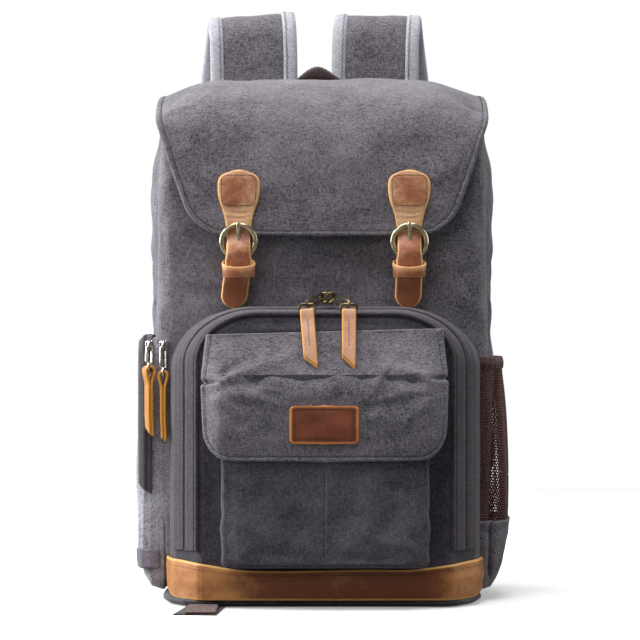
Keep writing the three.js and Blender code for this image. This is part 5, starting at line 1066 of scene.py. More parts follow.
def on_surface(grid, way, x, z):
    """Points and normals of a grid of points at given x and z, read along its rows and columns.
    The grid's x grows along a row and its z falls from row to row."""
    rows = np.interp(-z, -grid[:, grid.shape[1] // 2, 2], np.arange(len(grid)))
    low = np.clip(np.floor(rows).astype(int), 0, len(grid) - 2)
    part = (rows - low)[..., None]
    found = []
    for k in (0, 1):
        column = np.array([np.interp(v, grid[r, :, 0], np.arange(grid.shape[1])) for v, r in zip(np.ravel(x),
            np.ravel(low + k))])
        left = np.clip(np.floor(column).astype(int), 0, grid.shape[1] - 2)
        s = (column - left)[:, None]
        r = np.ravel(low + k)
        found.append([mix(a[r, left], a[r, left + 1], s).reshape(*np.shape(x), 3) for a in (grid, way)])
    return mix(found[0][0], found[1][0], part), unit(mix(found[0][1], found[1][1], part))


levels = PATCH_Z + PATCH_HEIGHT / 2 - PATCH_HEIGHT * (1 - np.cos(np.linspace(0, np.pi, 34))) / 2
widths = rounded_half(levels, PATCH_Z - PATCH_HEIGHT / 2, PATCH_Z + PATCH_HEIGHT / 2, PATCH_WIDTH / 2, 3.6)
patch_x = SMALL_FLAP_X - 0.2 + spread(52, 0.5)[None] * widths[:, None]
patch_z = np.broadcast_to(levels[:, None], patch_x.shape)
patch, patch_way = on_surface(small_flap_grid, small_flap_way, patch_x, patch_z)
patch_way = unit(patch_way + [0, -2, 0])
edge = edge_distance(patch, "left hem right top")
seam = -0.35 * np.exp(-(((edge - 3.0) / 0.9) ** 2))
patch = patch + patch_way * (FLAP_THICKNESS / 2 + GAP + PATCH_THICKNESS / 2)
patch_leather = leather_material("patch_leather", "52281a", "8c4c30", "c98043", 0.8, 900.0)
add_piece("bare_patch", [cloth(patch, -PATCH_THICKNESS / 2, PATCH_THICKNESS / 2 + seam, patch_way)],
    patch_leather,
          ["leather_patch"], worn_edges(patch, 2.4))
path, facing = edge_path(patch, 3.0, "left hem right top")
sew(path, facing, PATCH_THICKNESS / 2, kind=1, pitch=2.6, length=1.7, width=0.5)

# The left side pocket
# A zipped pocket of waxed canvas on the bag's left side, its edges rounded over. Its tape runs
# over the top, and a band of webbing crosses its foot.
SIDE_POCKET_BULGE = 10
SIDE_POCKET_DEPTH = 92
SIDE_POCKET_BOTTOM, SIDE_POCKET_TOP = 9, 220
SIDE_POCKET_CORNER = 12
SIDE_POCKET_SECTIONS = np.array([  # share of the stand-out, inset of the edges, rise of the foot
    (-1.3, 0, 0), (-1.05, 0, 0), (-0.2, 0.5, 3), (0.45, 2.5, 12), (0.85, 7, 24), (1, 14, 40),
])


def pocket_ring(turn, out, grow=0.0):
    """The side pocket's rounded outline at a stand-out, from the foot's middle up the front edge,
    over the top and down the rear edge. turn runs from 0 to 1 all the way round."""
    inset, foot = (np.interp(out, SIDE_POCKET_SECTIONS[:, 0], SIDE_POCKET_SECTIONS[:, k]) for k in (1, 2))
    low_y, low_z = SIDE_POCKET_FRONT + inset - grow, SIDE_POCKET_BOTTOM + foot - grow
    high_y = SIDE_POCKET_FRONT + SIDE_POCKET_DEPTH - inset + grow
    high_z = SIDE_POCKET_TOP - inset + grow
    radius = SIDE_POCKET_CORNER + grow
    legs = np.array([0, 0.1, 0.15, 0.35, 0.4, 0.6, 0.65, 0.85, 0.9, 1])
    k = np.clip(np.searchsorted(legs, turn, side="right") - 1, 0, 8)
    part = (turn - legs[k]) / (legs[k + 1] - legs[k])
    bend = np.where(k % 2 == 1, part, 0) * np.pi / 2
    middle_y = (low_y + high_y) / 2
    left, right = low_y + radius, high_y - radius
    down, up = low_z + radius, high_z - radius
    y = np.select([k == 0, k == 1, k == 2, k == 3, k == 4, k == 5, k == 6, k == 7],
                  [mix(middle_y, left, part), left - radius * np.sin(bend), low_y + 0 * part,
                   left - radius * np.cos(bend), mix(left, right, part), right + radius * np.sin(bend),
                   high_y + 0 * part, right + radius * np.cos(bend)], mix(right, middle_y, part))
    z = np.select([k == 0, k == 1, k == 2, k == 3, k == 4, k == 5, k == 6, k == 7],
                  [low_z + 0 * part, down - radius * np.cos(bend), mix(down, up, part),
                   up + radius * np.sin(bend), high_z + 0 * part, up + radius * np.cos(bend),
                   mix(up, down, part), down - radius * np.sin(bend)], low_z + 0 * part)
    x = -BODY_WIDTH / 2 - out * SIDE_POCKET_BULGE - np.where(out > 0, grow, 0)
    return np.stack(np.broadcast_arrays(x, y, z), -1)


turn = np.arange(300) / 300
out = np.concatenate([np.linspace(-1.3, 0.2, 20), np.linspace(0.2, 1, 22)[1:]])
wall = pocket_ring(turn[None], out[:, None])
wall_way = normals_of(wall, True)
wall_way = wall_way * np.sign((wall_way * (wall - [-BODY_WIDTH / 2 + 10, 7, 115])).sum(-1, keepdims=True))
centre_line = np.clip(wall[-1][:, 2], 90, 180)[:, None] * [0, 0, 1] + [wall[-1, 0, 0], 7, 0]
inwards = np.linspace(1, 0, 26)[1:-1, None, None]
face = centre_line[None] + (wall[-1] - centre_line)[None] * inwards
face_way = np.broadcast_to(np.array([-1.0, 0, 0]), face.shape)
wall, wall_way = np.concatenate([wall, face]), np.concatenate([wall_way, face_way])
soft = (0.9 * rumple(wall[..., 1] * 1.2 + wall[..., 0], wall[..., 2], 30, 61, 2.6)
    + 0.8 * smooth(np.arange(len(wall)), 40, 52)[:, None])
settle = smooth(np.arange(len(wall)), 4, 16)[:, None]
wall = wall + wall_way * (soft * settle)[..., None]
lining = wall[::-4] + np.array([CANVAS_WALL, 0, 0]) + (wall[::-4] - [0, 7, 115]) * [0, -0.03, -0.018]
points = np.concatenate([wall[::-1], wall[:1] * [1, 0.97, 0.985] + [0, 0.2, 1.7], lining[::-1]])
# the same canvas, painted paler all over: a painted highlight for its brightly lit front edge
side_canvas_painted_light = cloth_material("side_canvas_painted_light", "4c4850", "c4bfca", clouds=0.55)
side_pocket = add_piece("side_pocket_shell", [tube(points)], side_canvas_painted_light, ["side_pocket"])

FRONT_FLANK = FRONT_POCKET_WIDTH / 2 - FRONT_POCKET_X
SIDE_FACE_WIDTH = BODY_WIDTH / 2 + SIDE_POCKET_BULGE - FRONT_FLANK
side_face_x = [-FRONT_FLANK - share * SIDE_FACE_WIDTH for share in (0.56, 0.88)]
tape_out = np.linspace(*[(-BODY_WIDTH / 2 - x) / SIDE_POCKET_BULGE for x in side_face_x], 13)
tape_turns = np.linspace(0.222, 0.778, 200)
tape = pocket_ring(tape_turns[None], tape_out[:, None], GAP + ZIP_TAPE_THICKNESS / 2)
tape_way = normals_of(tape)
tape_way = tape_way * np.sign((tape_way * (tape - [-BODY_WIDTH / 2 + 10, 7, 115])).sum(-1, keepdims=True))
tape = tape + tape_way * 0.9
across_tape = (np.linspace(-1, 1, 13) * 4.5)[:, None, None]
tape_skin = 0.5 * np.exp(-((across_tape[..., 0] / 1.8) ** 2))
add_piece("side_zip_band", [cloth(tape, -0.6, 0.6 + tape_skin * np.ones((1, 200)), tape_way)], tape_cloth,
    ["side_zip_tape"])
coil_line = tape[6] + tape_way[6] * 1.15
add_piece("side_zip_teeth", [coil_row(coil_line, tape_way[6], 1.5, 3.0, 0.35)], coil_plastic)
band_out = np.linspace(-0.9, 0.8, 26)
strip_rows = []
for level in np.linspace(43, 28, 9):
    front_edge, rear_edge = [], []
    for o in band_out:
        inset, foot = (np.interp(o, SIDE_POCKET_SECTIONS[:, 0], SIDE_POCKET_SECTIONS[:, k]) for k in (1, 2))
        low_z = SIDE_POCKET_BOTTOM + foot
        drop = np.clip(low_z + SIDE_POCKET_CORNER - level, 0, SIDE_POCKET_CORNER)
        back_in = SIDE_POCKET_CORNER - math.sqrt(SIDE_POCKET_CORNER**2 - drop**2)
        px = -BODY_WIDTH / 2 - o * SIDE_POCKET_BULGE
        front_edge.append((px, SIDE_POCKET_FRONT + inset + back_in, level))
        rear_edge.append((px, SIDE_POCKET_FRONT + SIDE_POCKET_DEPTH - inset - back_in, level))
    strip_rows.append(front_edge + rear_edge[::-1])
strip = np.array(strip_rows)
strip_way = normals_of(strip)
strip_way = strip_way * np.sign((strip_way * (strip - [-BODY_WIDTH / 2 + 10, 7, 35])).sum(-1, keepdims=True))
strip = strip + strip_way * (GAP + 1.6)
webbing_cloth = cloth_material("mauve_webbing", "4a444c", "8f8792", 1.4, 0.4, 0.6, 0.6)
add_piece("side_pocket_webbing", [cloth(strip, -0.6, 0.6, strip_way)], webbing_cloth,
    ["side_pocket_band"])

# The net pocket
# An open bottle pocket on the right side: a brown spacer net with small holes, pleated near the
# front, on a canvas foot that is gathered into the same pleat, and a folded binding at its mouth.
NET_DEPTH = 94
NET_MIDDLE_Y = FRONT_Y + 53
NET_FOOT_Z, NET_JOIN_Z, NET_BINDING_Z, NET_TOP_Z = 11, 66, 195, 202
NET_INNER_X = BODY_WIDTH / 2 - 22
NET_FORWARD = 6.5  # how far its front stands before the frame's, to meet the corded seam
NET_PITCH = 2.7  # from hole to hole
NET_PLEAT_X = 141
NET_SECTIONS = [  # up as a share of the height, stand-out in mm, depth as a share of its own
    (0, -2, 0.86), (0.06, 4, 0.92), (0.15, 9, 0.97), (0.26, 12, 1), (0.5, 12.5, 1),
    (0.72, 11, 1), (0.86, 9, 0.98), (0.95, 7.5, 0.97), (1, 7.2, 0.97),
]
net_rows = spline(NET_SECTIONS, np.linspace(0, 1, 160))
net_turns = np.linspace(-np.pi / 2, np.pi / 2, 1201)[1:-1]
net_bend = np.stack([34 * np.cos(net_turns) ** 0.42, NET_DEPTH / 2 * np.sin(net_turns)], -1)
net_turns, net_bend = net_turns[net_bend[:, 0] > 4], net_bend[net_bend[:, 0] > 4]
net_run = np.concatenate([[0], np.cumsum(np.linalg.norm(np.diff(net_bend, axis=0), axis=1))])
NET_LENGTH = net_run[-1]


def net_point(along, z, grow=0.0):
    """A place on the pocket: a length along it from its front seam, and a height. In plan it is a
    half superellipse, pressed in where the net is pleated."""
    along, z = np.broadcast_arrays(np.asarray(along, float), np.asarray(z, float))
    up = (z - NET_FOOT_Z) / (NET_TOP_Z - NET_FOOT_Z)
    bulge, depth = (np.interp(up, net_rows[:, 0], net_rows[:, k]) for k in (1, 2))
    angle = np.interp(along, net_run, net_turns)
    x = NET_INNER_X + (BODY_WIDTH / 2 + bulge + grow - NET_INNER_X) * np.cos(angle) ** 0.42
    y = NET_MIDDLE_Y + (NET_DEPTH / 2 * depth + grow + NET_FORWARD * (angle < 0)) * np.sin(angle)
    pleat = np.exp(-(((x - NET_PLEAT_X - 0.03 * (z - 100)) / 2.1) ** 2)) * (y < NET_MIDDLE_Y)
    y = y + 6.5 * pleat * smooth(z, NET_TOP_Z - 4, NET_TOP_Z - 40) * smooth(z, NET_FOOT_Z, NET_FOOT_Z + 20)
    wave = 0.7 * np.sin(along / 5.2 + z / 40) * smooth(z, NET_BINDING_Z + 4, NET_BINDING_Z - 30)
    return np.stack([x + wave * np.cos(angle), y + wave * np.sin(angle), z], -1)


def net_way(along, z):
    """Outward normals of the pocket's face."""
    step = 0.4
    run = net_point(along + step, z) - net_point(along - step, z)
    return unit(np.cross(run, np.broadcast_to([0.0, 0.0, 1.0], run.shape)))


net_columns = int(NET_LENGTH / NET_PITCH) - 1
net_levels = int((NET_BINDING_Z - NET_JOIN_Z + 5) / (NET_PITCH * 0.866))
level, column = np.meshgrid(np.arange(net_levels), np.arange(net_columns), indexing="ij")
centres = np.stack([column + 0.5 * (level % 2) + 0.75, level * 0.866], -1).reshape(-1, 1, 2) * NET_PITCH
spokes = (np.arange(6) + 0.5) * np.pi / 3
spokes = np.stack([np.cos(spokes), np.sin(spokes)], -1)[None] * NET_PITCH / math.sqrt(3)
corners, holes = centres + spokes, centres + 0.52 * spokes
_, first, which, shared = np.unique(
    np.round(corners.reshape(-1, 2) * 50).astype(int), axis=0, return_index=True, return_inverse=True,
    return_counts=True)
knots = corners.reshape(-1, 2)[first]
which = which.reshape(-1, 6)
thick = np.where(shared < 3, 0, 0.6)[:, None]
knot_at = net_point(knots[:, 0], NET_JOIN_Z - 2 + knots[:, 1])
knot_way = net_way(knots[:, 0], NET_JOIN_Z - 2 + knots[:, 1])
hole_at = net_point(holes[..., 0], NET_JOIN_Z - 2 + holes[..., 1]).reshape(-1, 3)
points = np.concatenate([knot_at + knot_way * thick, knot_at - knot_way * thick, hole_at])
back = which + len(knots)
inner = np.arange(len(hole_at)).reshape(-1, 6) + 2 * len(knots)
after = np.roll(np.arange(6), -1)
front_quads = np.stack([which, which[:, after], inner[:, after], inner], -1).reshape(-1, 4)
back_quads = np.stack([inner, inner[:, after], back[:, after], back], -1).reshape(-1, 4)
net_yarn = cloth_material("net_yarn", "2c1210", "703c36", 1.2, 0.5, 0.4, 0.5)
net = add_piece("net_mesh", [(points, [front_quads, back_quads])], net_yarn, ["net_pocket"])

along = np.linspace(0, NET_LENGTH, 130)[None]
z = np.linspace(NET_JOIN_Z + 0.4, NET_FOOT_Z, 44)[:, None]
foot = net_point(along, z)
foot_way = net_way(along, z)
brim = 1.3 * smooth(z, NET_JOIN_Z - 9, NET_JOIN_Z)
soft = (brim + 0.6 * rumple(np.broadcast_to(along, foot.shape[:2]), foot[..., 2], 22,
    71) * smooth(z, NET_JOIN_Z, NET_JOIN_Z - 8))
foot = foot + foot_way * soft[..., None]
foot_piece = add_piece("net_foot", [cloth(foot, -0.9, 0.9, foot_way)], canvas, ["net_pocket_foot"])
sew(foot[3], foot_way[3], 0.9, pitch=3.0, length=2.0)

z = np.linspace(NET_TOP_Z + 0.3, NET_BINDING_Z - 0.6, 10)[:, None]
rim = net_point(along, z)
rim_way = net_way(along, z)
gathers = 0.35 * np.sin(along * 1.25) + 0.25 * np.sin(along * 0.61 + 1)
rim = rim + rim_way * (gathers * np.linspace(0.6, 1, 10)[:, None])[..., None]
webbing_brown = cloth_material("brown_webbing", "2a1515", "674640", 1.3, 0.4, 0.5, 0.8)
add_piece("net_binding", [cloth(rim, -1.4, 1.5 - 0.3 * np.cos(np.linspace(0, 6.3, 10))[:, None], rim_way)],
          webbing_brown, ["net_pocket_binding"])
sew(rim[7], rim_way[7], 1.5, kind=2, pitch=2.4, length=1.6, width=0.45)

# The buckled closures
# Two straps of oiled tan leather. Each one's wide head is sewn to the flap with dark thread; it
# runs behind a round brass buckle, over the buckle's bar and down through a leather keeper. A
# narrow folded strap on the bag's front holds the bar.
CLOSURE_X = 70.3
CLOSURE_SHIFT = 1.6  # both closures sit a little to the right of the flap's middle
TONGUE_TOP_Z, TONGUE_TAIL_Z = 357, 244
TONGUE_WIDTH, TONGUE_WAIST, TONGUE_HEAD_WIDTH = 21.5, 19.4, 37
BUCKLE_RADIUS, BUCKLE_WIRE, BUCKLE_Z = 13.8, 1.85, 298.5
KEEPER_HEIGHT, KEEPER_WALL, KEEPER_Z = 13, 1.8, 276
PRONG_RADIUS = 1.1
ANCHOR_WIDTH, ANCHOR_THICKNESS = 12, 1.8
hem_y = mix(FRONT_Y - FLAP_SEAT, BACK_Y + FLAP_SEAT, FLAP_LINE[-1][0])
on_flap_y = hem_y - FLAP_THICKNESS / 2 - GAP - LEATHER / 2
ring_top_y = on_flap_y - LEATHER / 2 - GAP * 2 - BUCKLE_WIRE
bar_y = ring_top_y + 2.5
bar_z = BUCKLE_Z - BUCKLE_RADIUS
anchor_bend = BUCKLE_WIRE + GAP * 2 + ANCHOR_THICKNESS / 2
over_bar_y = bar_y - anchor_bend - ANCHOR_THICKNESS / 2 - GAP * 2 - LEATHER / 2
HEAD_BOX = (15.2, 327.5, 354.0, 7.5)  # half width, low, high and corner of the head's stitching
NECK_WRINKLES = [  # across, height, across, height, half width, height
    (-13, 323.5, 8, 321.5, 0.6, -0.8), (-8, 320.5, 12, 323.5, 0.6, -0.75), (-12, 318.5, 2, 317.5, 0.7, -0.7),
    (-2, 317, 12, 319.5, 0.6, -0.65), (-6, 325.5, 10, 325, 0.5, -0.5),
]


def tongue_half_width(z):
    """Half the closure strap's width at a height: a broad round head, a neck, a slight waist in
    the buckle and a round tail."""
    head, neck = TONGUE_HEAD_WIDTH / 2 - 1.2, TONGUE_WIDTH / 2
    below = TONGUE_TOP_Z - z
    narrowed = mix(head, neck, smooth(below, head * 0.9, TONGUE_TOP_Z - BUCKLE_Z - BUCKLE_RADIUS))
    crown = np.maximum(1 - (1 - np.clip(below / (head * 0.72), 0, 1)) ** 2.6, 0) ** 0.42
    tail = np.maximum(1 - (1 - np.clip((z - TONGUE_TAIL_Z) / neck, 0, 1)) ** 2, 0) ** 0.5
    near_ring = smooth(np.abs(z - BUCKLE_Z), BUCKLE_RADIUS * 1.2, BUCKLE_RADIUS * 0.6)
    waist = mix(1, TONGUE_WAIST / TONGUE_WIDTH, near_ring)
    return waist * narrowed * np.maximum(crown, 0.14) * np.maximum(tail, 0.12) - 0.7


def head_box(inset):
    """The rounded square of stitches on a strap's head, as points across and up."""
    half, low, high, corner = HEAD_BOX
    turn = np.linspace(0, 2 * np.pi, 160)
    c, s = np.cos(turn), np.sin(turn)
    reach = (np.abs(c) ** 5 + np.abs(s) ** 5) ** (-1 / 5)
    across = (half - inset) * reach * c * mix(0.94, 1.0, smooth(s, -1, 1))
    return across, (low + high) / 2 + ((high - low) / 2 - inset) * reach * s


def wire_loop(middle, along, across, radius, straight, wire, count=44, sides=10):
    """A loop of round wire: two half circles with straight sides between them along its length."""
    turn = (np.arange(count) + 0.5) * 2 * np.pi / count
    c, s = np.cos(turn)[:, None], np.sin(turn)[:, None]
    path = middle + along * (c * radius + np.sign(c) * straight / 2) + across * s * radius
    plane = unit(np.cross(along, across))
    side = np.cross(plane, unit(np.roll(path, -1, 0) - np.roll(path, 1, 0)))
    b = (np.arange(sides) * 2 * np.pi / sides)[None, :, None]
    return torus(path[:, None] + wire * (np.cos(b) * plane + np.sin(b) * side[:, None]))


def metal_material(name, code, dark, roughness, scale=140.0):
    """A polished or aged metal: its tone and gloss broken by soft stains."""
    made = bpy.data.materials.new(name)
    made.use_nodes = True
    tree = made.node_tree
    shader = tree.nodes["Principled BSDF"]
    shader.inputs["Metallic"].default_value = 1.0
    place = add_node(tree, "TexCoord").outputs["Object"]
    stains = add_node(tree, "TexNoise", [("Vector", place)], Scale=scale, Detail=4.0, Roughness=0.6)
    share = add_node(tree, "MapRange", [("Value", stains.outputs[0])], From_Min=0.35,
        From_Max=0.65).outputs[0]
    tree.links.new(blend_colour(tree, share, colour(dark), colour(code)), shader.inputs["Base Color"])
    tree.links.new(maths(tree, "MULTIPLY_ADD", share, -0.12, roughness + 0.08), shader.inputs["Roughness"])
    return made


strap_leather = leather_material("strap_leather", "9a5c3e", "f8d0a2", "eeb878", 0.5, 650.0, 0.35)
ring_brass = metal_material("ring_brass", "e6ddc0", "a89c70", 0.2)

for side_name, x_at, tail_lean in (("left", CLOSURE_SHIFT - CLOSURE_X, -4.0),
    ("right", CLOSURE_SHIFT + CLOSURE_X, -1.0)):
    levels = np.array([354, 343.5, 328, BUCKLE_Z + BUCKLE_RADIUS])
    probe_x = x_at + np.linspace(-14, 14, 9)[None] + 0 * levels[:, None]
    skin_at, _ = on_surface(flap_front, flap_front_way, probe_x,
        np.broadcast_to(levels[:, None], probe_x.shape))
    flap_y = skin_at[..., 1].min(1) - FLAP_THICKNESS / 2 - GAP - LEATHER / 2
    flap_y[-1] = max(flap_y[-1], on_flap_y - 0.4)
    line = [(flap_y[0] + 0.3, TONGUE_TOP_Z), (flap_y[1], 343.5), (flap_y[2], 328), (flap_y[3], levels[3]),
            (on_flap_y, BUCKLE_Z + BUCKLE_RADIUS * 0.5), (over_bar_y, BUCKLE_Z - BUCKLE_RADIUS * 0.45),
            (over_bar_y - 0.3, bar_z), (mix(over_bar_y, on_flap_y, 0.3), KEEPER_Z - KEEPER_HEIGHT * 0.4),
            (on_flap_y + 0.5, mix(KEEPER_Z, TONGUE_TAIL_Z, 0.6)), (on_flap_y + 2.5, TONGUE_TAIL_Z)]
    ends = 0.05 * np.linspace(0, 1, 17) ** 2
    middle = spline(line, np.concatenate([ends, np.linspace(0.05, 0.95, 110)[1:-1], 1 - ends[::-1]]))
    z = middle[:, 1][:, None] + np.zeros((1, 25))
    half = tongue_half_width(middle[:, 1])[:, None]
    u = spread(25, 0.4)[None]
    bow = 1.1 * smooth(z, 258, 272) * smooth(z, 308, 296) + 0.3
    y = middle[:, 0][:, None] - bow * (1 - u**2) + 0 * u
    lean = tail_lean * smooth(z, 285, 246)
    tongue = np.stack([x_at + lean + u * half, y, z], -1)
    tongue_way = normals_of(tongue)
    tongue_way = tongue_way * np.sign(-tongue_way[..., 1:2])
    across = tongue[..., 0] - x_at
    half_wire = BUCKLE_WIRE + 0.35
    box_half, box_low, box_high, _ = HEAD_BOX
    reach = np.maximum(np.abs(across) / box_half,
        np.abs(z - (box_low + box_high) / 2) / ((box_high - box_low) / 2))
    in_box = smooth(reach, 1.12, 0.72)
    relief = (0.5 * in_box + creases(across, z, NECK_WRINKLES) * smooth(np.abs(across), 13, 9)
        + 0.12 * rumple(tongue[..., 0], z, 9, 81))
    skin_out = (LEATHER / 2 + relief - 0.25
        * np.exp(-((edge_distance(tongue, "left hem right top", 0.5) / 0.9) ** 2)))
    shade = (0.14 * smooth(z, 320, 330) + 0.26 * in_box + 0.36 * smooth(z, 309, 300)
        + 0.42 * smooth(z, 270, 258))
    tongue_shade = np.concatenate([shade, shade[:, -1:], shade[:, ::-1], shade[:, :1]], 1)
    tongue_shade = np.concatenate([tongue_shade[:1], tongue_shade, tongue_shade[-1:]])
    add_piece("closure_tongue_" + side_name, [cloth(tongue, -LEATHER / 2, skin_out, tongue_way)],
        strap_leather,
              ["buckle_tongue_" + side_name], worn_edges(tongue, 0.8), shade=tongue_shade)
    across_box, up_box = head_box(0.6)
    box_at, box_way = on_surface(tongue[:60], tongue_way[:60], x_at + across_box[:, None], up_box[:, None])
    sew(box_at[:, 0], box_way[:, 0], LEATHER / 2 + 0.3, kind=2, pitch=2.9, length=1.9, width=0.8, lift=0.6)

    far = np.array([x_at, ring_top_y, BUCKLE_Z + BUCKLE_RADIUS])
    bar = np.array([x_at, bar_y, bar_z])
    ring = wire_loop((far + bar) / 2, unit(far - bar), np.array([1.0, 0, 0]), np.linalg.norm(far - bar) / 2,
        0, half_wire, 90, 14)
    add_piece("closure_ring_" + side_name, [ring], ring_brass, ["buckle_ring_" + side_name])
    over_ring = BUCKLE_WIRE + PRONG_RADIUS + GAP
    root_z = bar_z + anchor_bend + ANCHOR_THICKNESS / 2 + PRONG_RADIUS + GAP * 2
    prong_line = spline([
        (x_at, bar_y, root_z), (x_at, bar_y - 0.5, root_z + 2),
        (x_at, mix(bar_y, ring_top_y - over_ring, 0.6), BUCKLE_Z + 2),
        (x_at, ring_top_y - over_ring, BUCKLE_Z + BUCKLE_RADIUS - 1),
        (x_at, ring_top_y - over_ring, BUCKLE_Z + BUCKLE_RADIUS + BUCKLE_WIRE)], np.linspace(0, 1, 30))
    prong = cord_rings(prong_line, PRONG_RADIUS * (1.5 + 0.35 * smooth(np.arange(30), 14, 24)), 12,
        np.array([1.0, 0, 0]))
    add_piece("closure_prong_" + side_name, [tube(prong)], ring_brass,
        ["buckle_prong_" + side_name])

    wall_y = FRONT_Y - BODY_DEPTH * 0.015 - GAP * 2 - ANCHOR_THICKNESS / 2
    foot_z = KEEPER_Z - KEEPER_HEIGHT * 1.9
    turns = np.radians([20, 60, 100, 140, 180, 215])
    anchor_line = [(wall_y, foot_z), (wall_y - 1.5, mix(foot_z, bar_z, 0.45)),
                   *zip(bar_y + anchor_bend * np.cos(turns), bar_z + anchor_bend * np.sin(turns)),
                   (mix(wall_y, bar_y, 0.5) - ANCHOR_THICKNESS, mix(foot_z, bar_z, 0.5)),
                   (wall_y - ANCHOR_THICKNESS - GAP * 2, foot_z + 2)]
    anchor_at = spline(anchor_line, np.linspace(0, 1, 90))
    u = np.linspace(-1, 1, 9)[None]
    anchor = np.stack(np.broadcast_arrays(x_at + u * ANCHOR_WIDTH / 2, anchor_at[:, :1], anchor_at[:, 1:]),
        -1)
    add_piece("closure_anchor_" + side_name,
        [cloth(anchor, -ANCHOR_THICKNESS / 2 + 0.15, ANCHOR_THICKNESS / 2 - 0.15)],
              strap_leather, ["buckle_strap_" + side_name],
              worn_edges(anchor, 1.2, "left right"))

    keep_half = TONGUE_WIDTH / 2 + GAP * 3 + KEEPER_WALL / 2
    keep_front = over_bar_y - LEATHER / 2 - GAP * 4 - KEEPER_WALL / 2 - 0.6
    keep_back = FRONT_Y - BODY_DEPTH * 0.015 - GAP * 2 - KEEPER_WALL / 2
    turn = np.arange(84) * 2 * np.pi / 84
    c, s = np.cos(turn), np.sin(turn)
    loop_reach = (np.abs(c) ** 2.7 + np.abs(s) ** 2.7) ** (-1 / 2.7)
    loop_at = np.stack([x_at + keep_half * loop_reach * c, (keep_front + keep_back) / 2
        + (keep_back - keep_front) / 2 * loop_reach * s, 0 * c], -1)
    forward = smooth(loop_at[:, 1], keep_back, keep_front)
    loop_out = unit(np.cross(np.roll(loop_at, -1, 0) - np.roll(loop_at, 1, 0), [0, 0, 1.0]))
    section = np.array([(0.5, -0.42), (0.5, 0), (0.5, 0.42), (0.32, 0.5), (-0.32, 0.5), (-0.5, 0.42),
        (-0.5, -0.42), (-0.32, -0.5), (0.32, -0.5)])
    up = section[None, :, 1:]
    flare = 1.0 * smooth(up, -0.2, 0.5) * forward[:, None, None]
    keeper = loop_at[:, None] + loop_out[:, None] * (section[None, :, :1] * KEEPER_WALL + flare)
    high = KEEPER_Z + KEEPER_HEIGHT * 0.62 - 6.6 * forward * (1 - 0.3 * (c * loop_reach) ** 2)
    low = KEEPER_Z - KEEPER_HEIGHT * 0.4 - 1.6 * forward
    keeper[..., 2] = mix(low[:, None], high[:, None], up[..., 0] + 0.5)
    keeper_worn = np.broadcast_to(np.array([0, 0, 0.55, 1, 1, 0.6, 0, 0.7, 0.8])[None], keeper.shape[:2])
    keeper_shade = np.broadcast_to(np.array([0.45, 0.35, 0.2, 0, 0, 0, 0, 0, 0])[None], keeper.shape[:2])
    add_piece("closure_keeper_" + side_name, [torus(keeper)], strap_leather,
              ["keeper_loop_" + side_name], keeper_worn, shade=keeper_shade)

# The zip pulls
# Each is a strip of pale leather folded over a wire D-ring, sewn down its middle and cut at a
# slant. An oval link joins the ring to the slider's eye. Those of the front pocket are old
# brass and hang side by side; those of the side pocket are nickel and turned edge on.
PULL_WIDTH = 11.5
FRONT_PULL_LENGTH, SIDE_PULL_LENGTH = 47, 52
LAYER, SIDE_LAYER = 1.7, 2.4  # thickness of one layer of a front and of a side strip
LINK_WIRE, LINK_RADIUS, D_RING_RADIUS = 0.9, 3.4, 3.2
FRONT_PULLS_MIDDLE_X, FRONT_PULL_X, FRONT_PULL_TOP = 4.8, 17, 240.5
FRONT_PULL_TILT = 22
ZIP_COIL_RISE = 1
SIDE_SLIDER_Z = SIDE_POCKET_TOP - 7
SIDE_SLIDER = (3, SIDE_FACE_WIDTH * 0.245, 9)


def turned(points, about, degrees):
    """Points turned about one of the axes x, y or z through the origin."""
    a, b = {"x": (1, 2), "y": (2, 0), "z": (0, 1)}[about]
    c, s = math.cos(math.radians(degrees)), math.sin(math.radians(degrees))
    made = np.array(points, float)
    made[..., a], made[..., b] = (points[..., a] * c - points[..., b] * s, points[..., a] * s
        + points[..., b] * c)
    return made


def folded_strip(width, length, slant, layer, slack=0.25, curl=0.0):
    """A strip folded over a wire at the origin: the front layer upwards, round the wire as a
    teardrop, and down behind. Both ends are cut at a slant, the layer behind 2 mm longer."""
    bend = LINK_WIRE + slack + layer / 2
    width = width - layer
    turns = np.linspace(-0.15, np.pi + 0.15, 19)
    top = np.stack([-bend * np.cos(turns), bend * np.sin(turns)], -1)
    s = np.linspace(1, 0, 34)[:-1]
    u = spread(15, 0.4)[None]
    grid = []
    for side, extra in ((-1, 0.0), (1, 2.0)):
        reach = length + extra + slant * (u - 1) / 2 - 1.0
        z = -1.2 - (reach - 1.2) * s[:, None]
        y = (side * mix(bend, layer / 2 + 0.06, smooth(-z, 0.5, 8 + 3 * slack))
            + curl * smooth(-z, length * 0.55, length) ** 2)
        part = np.stack(np.broadcast_arrays(u * width / 2, y, z), -1)
        grid.append(part if side < 0 else part[::-1])
    fold = np.stack(np.broadcast_arrays(u * width / 2, top[:, :1], top[:, 1:]), -1)
    return np.concatenate([grid[0], fold[1:-1], grid[1]])


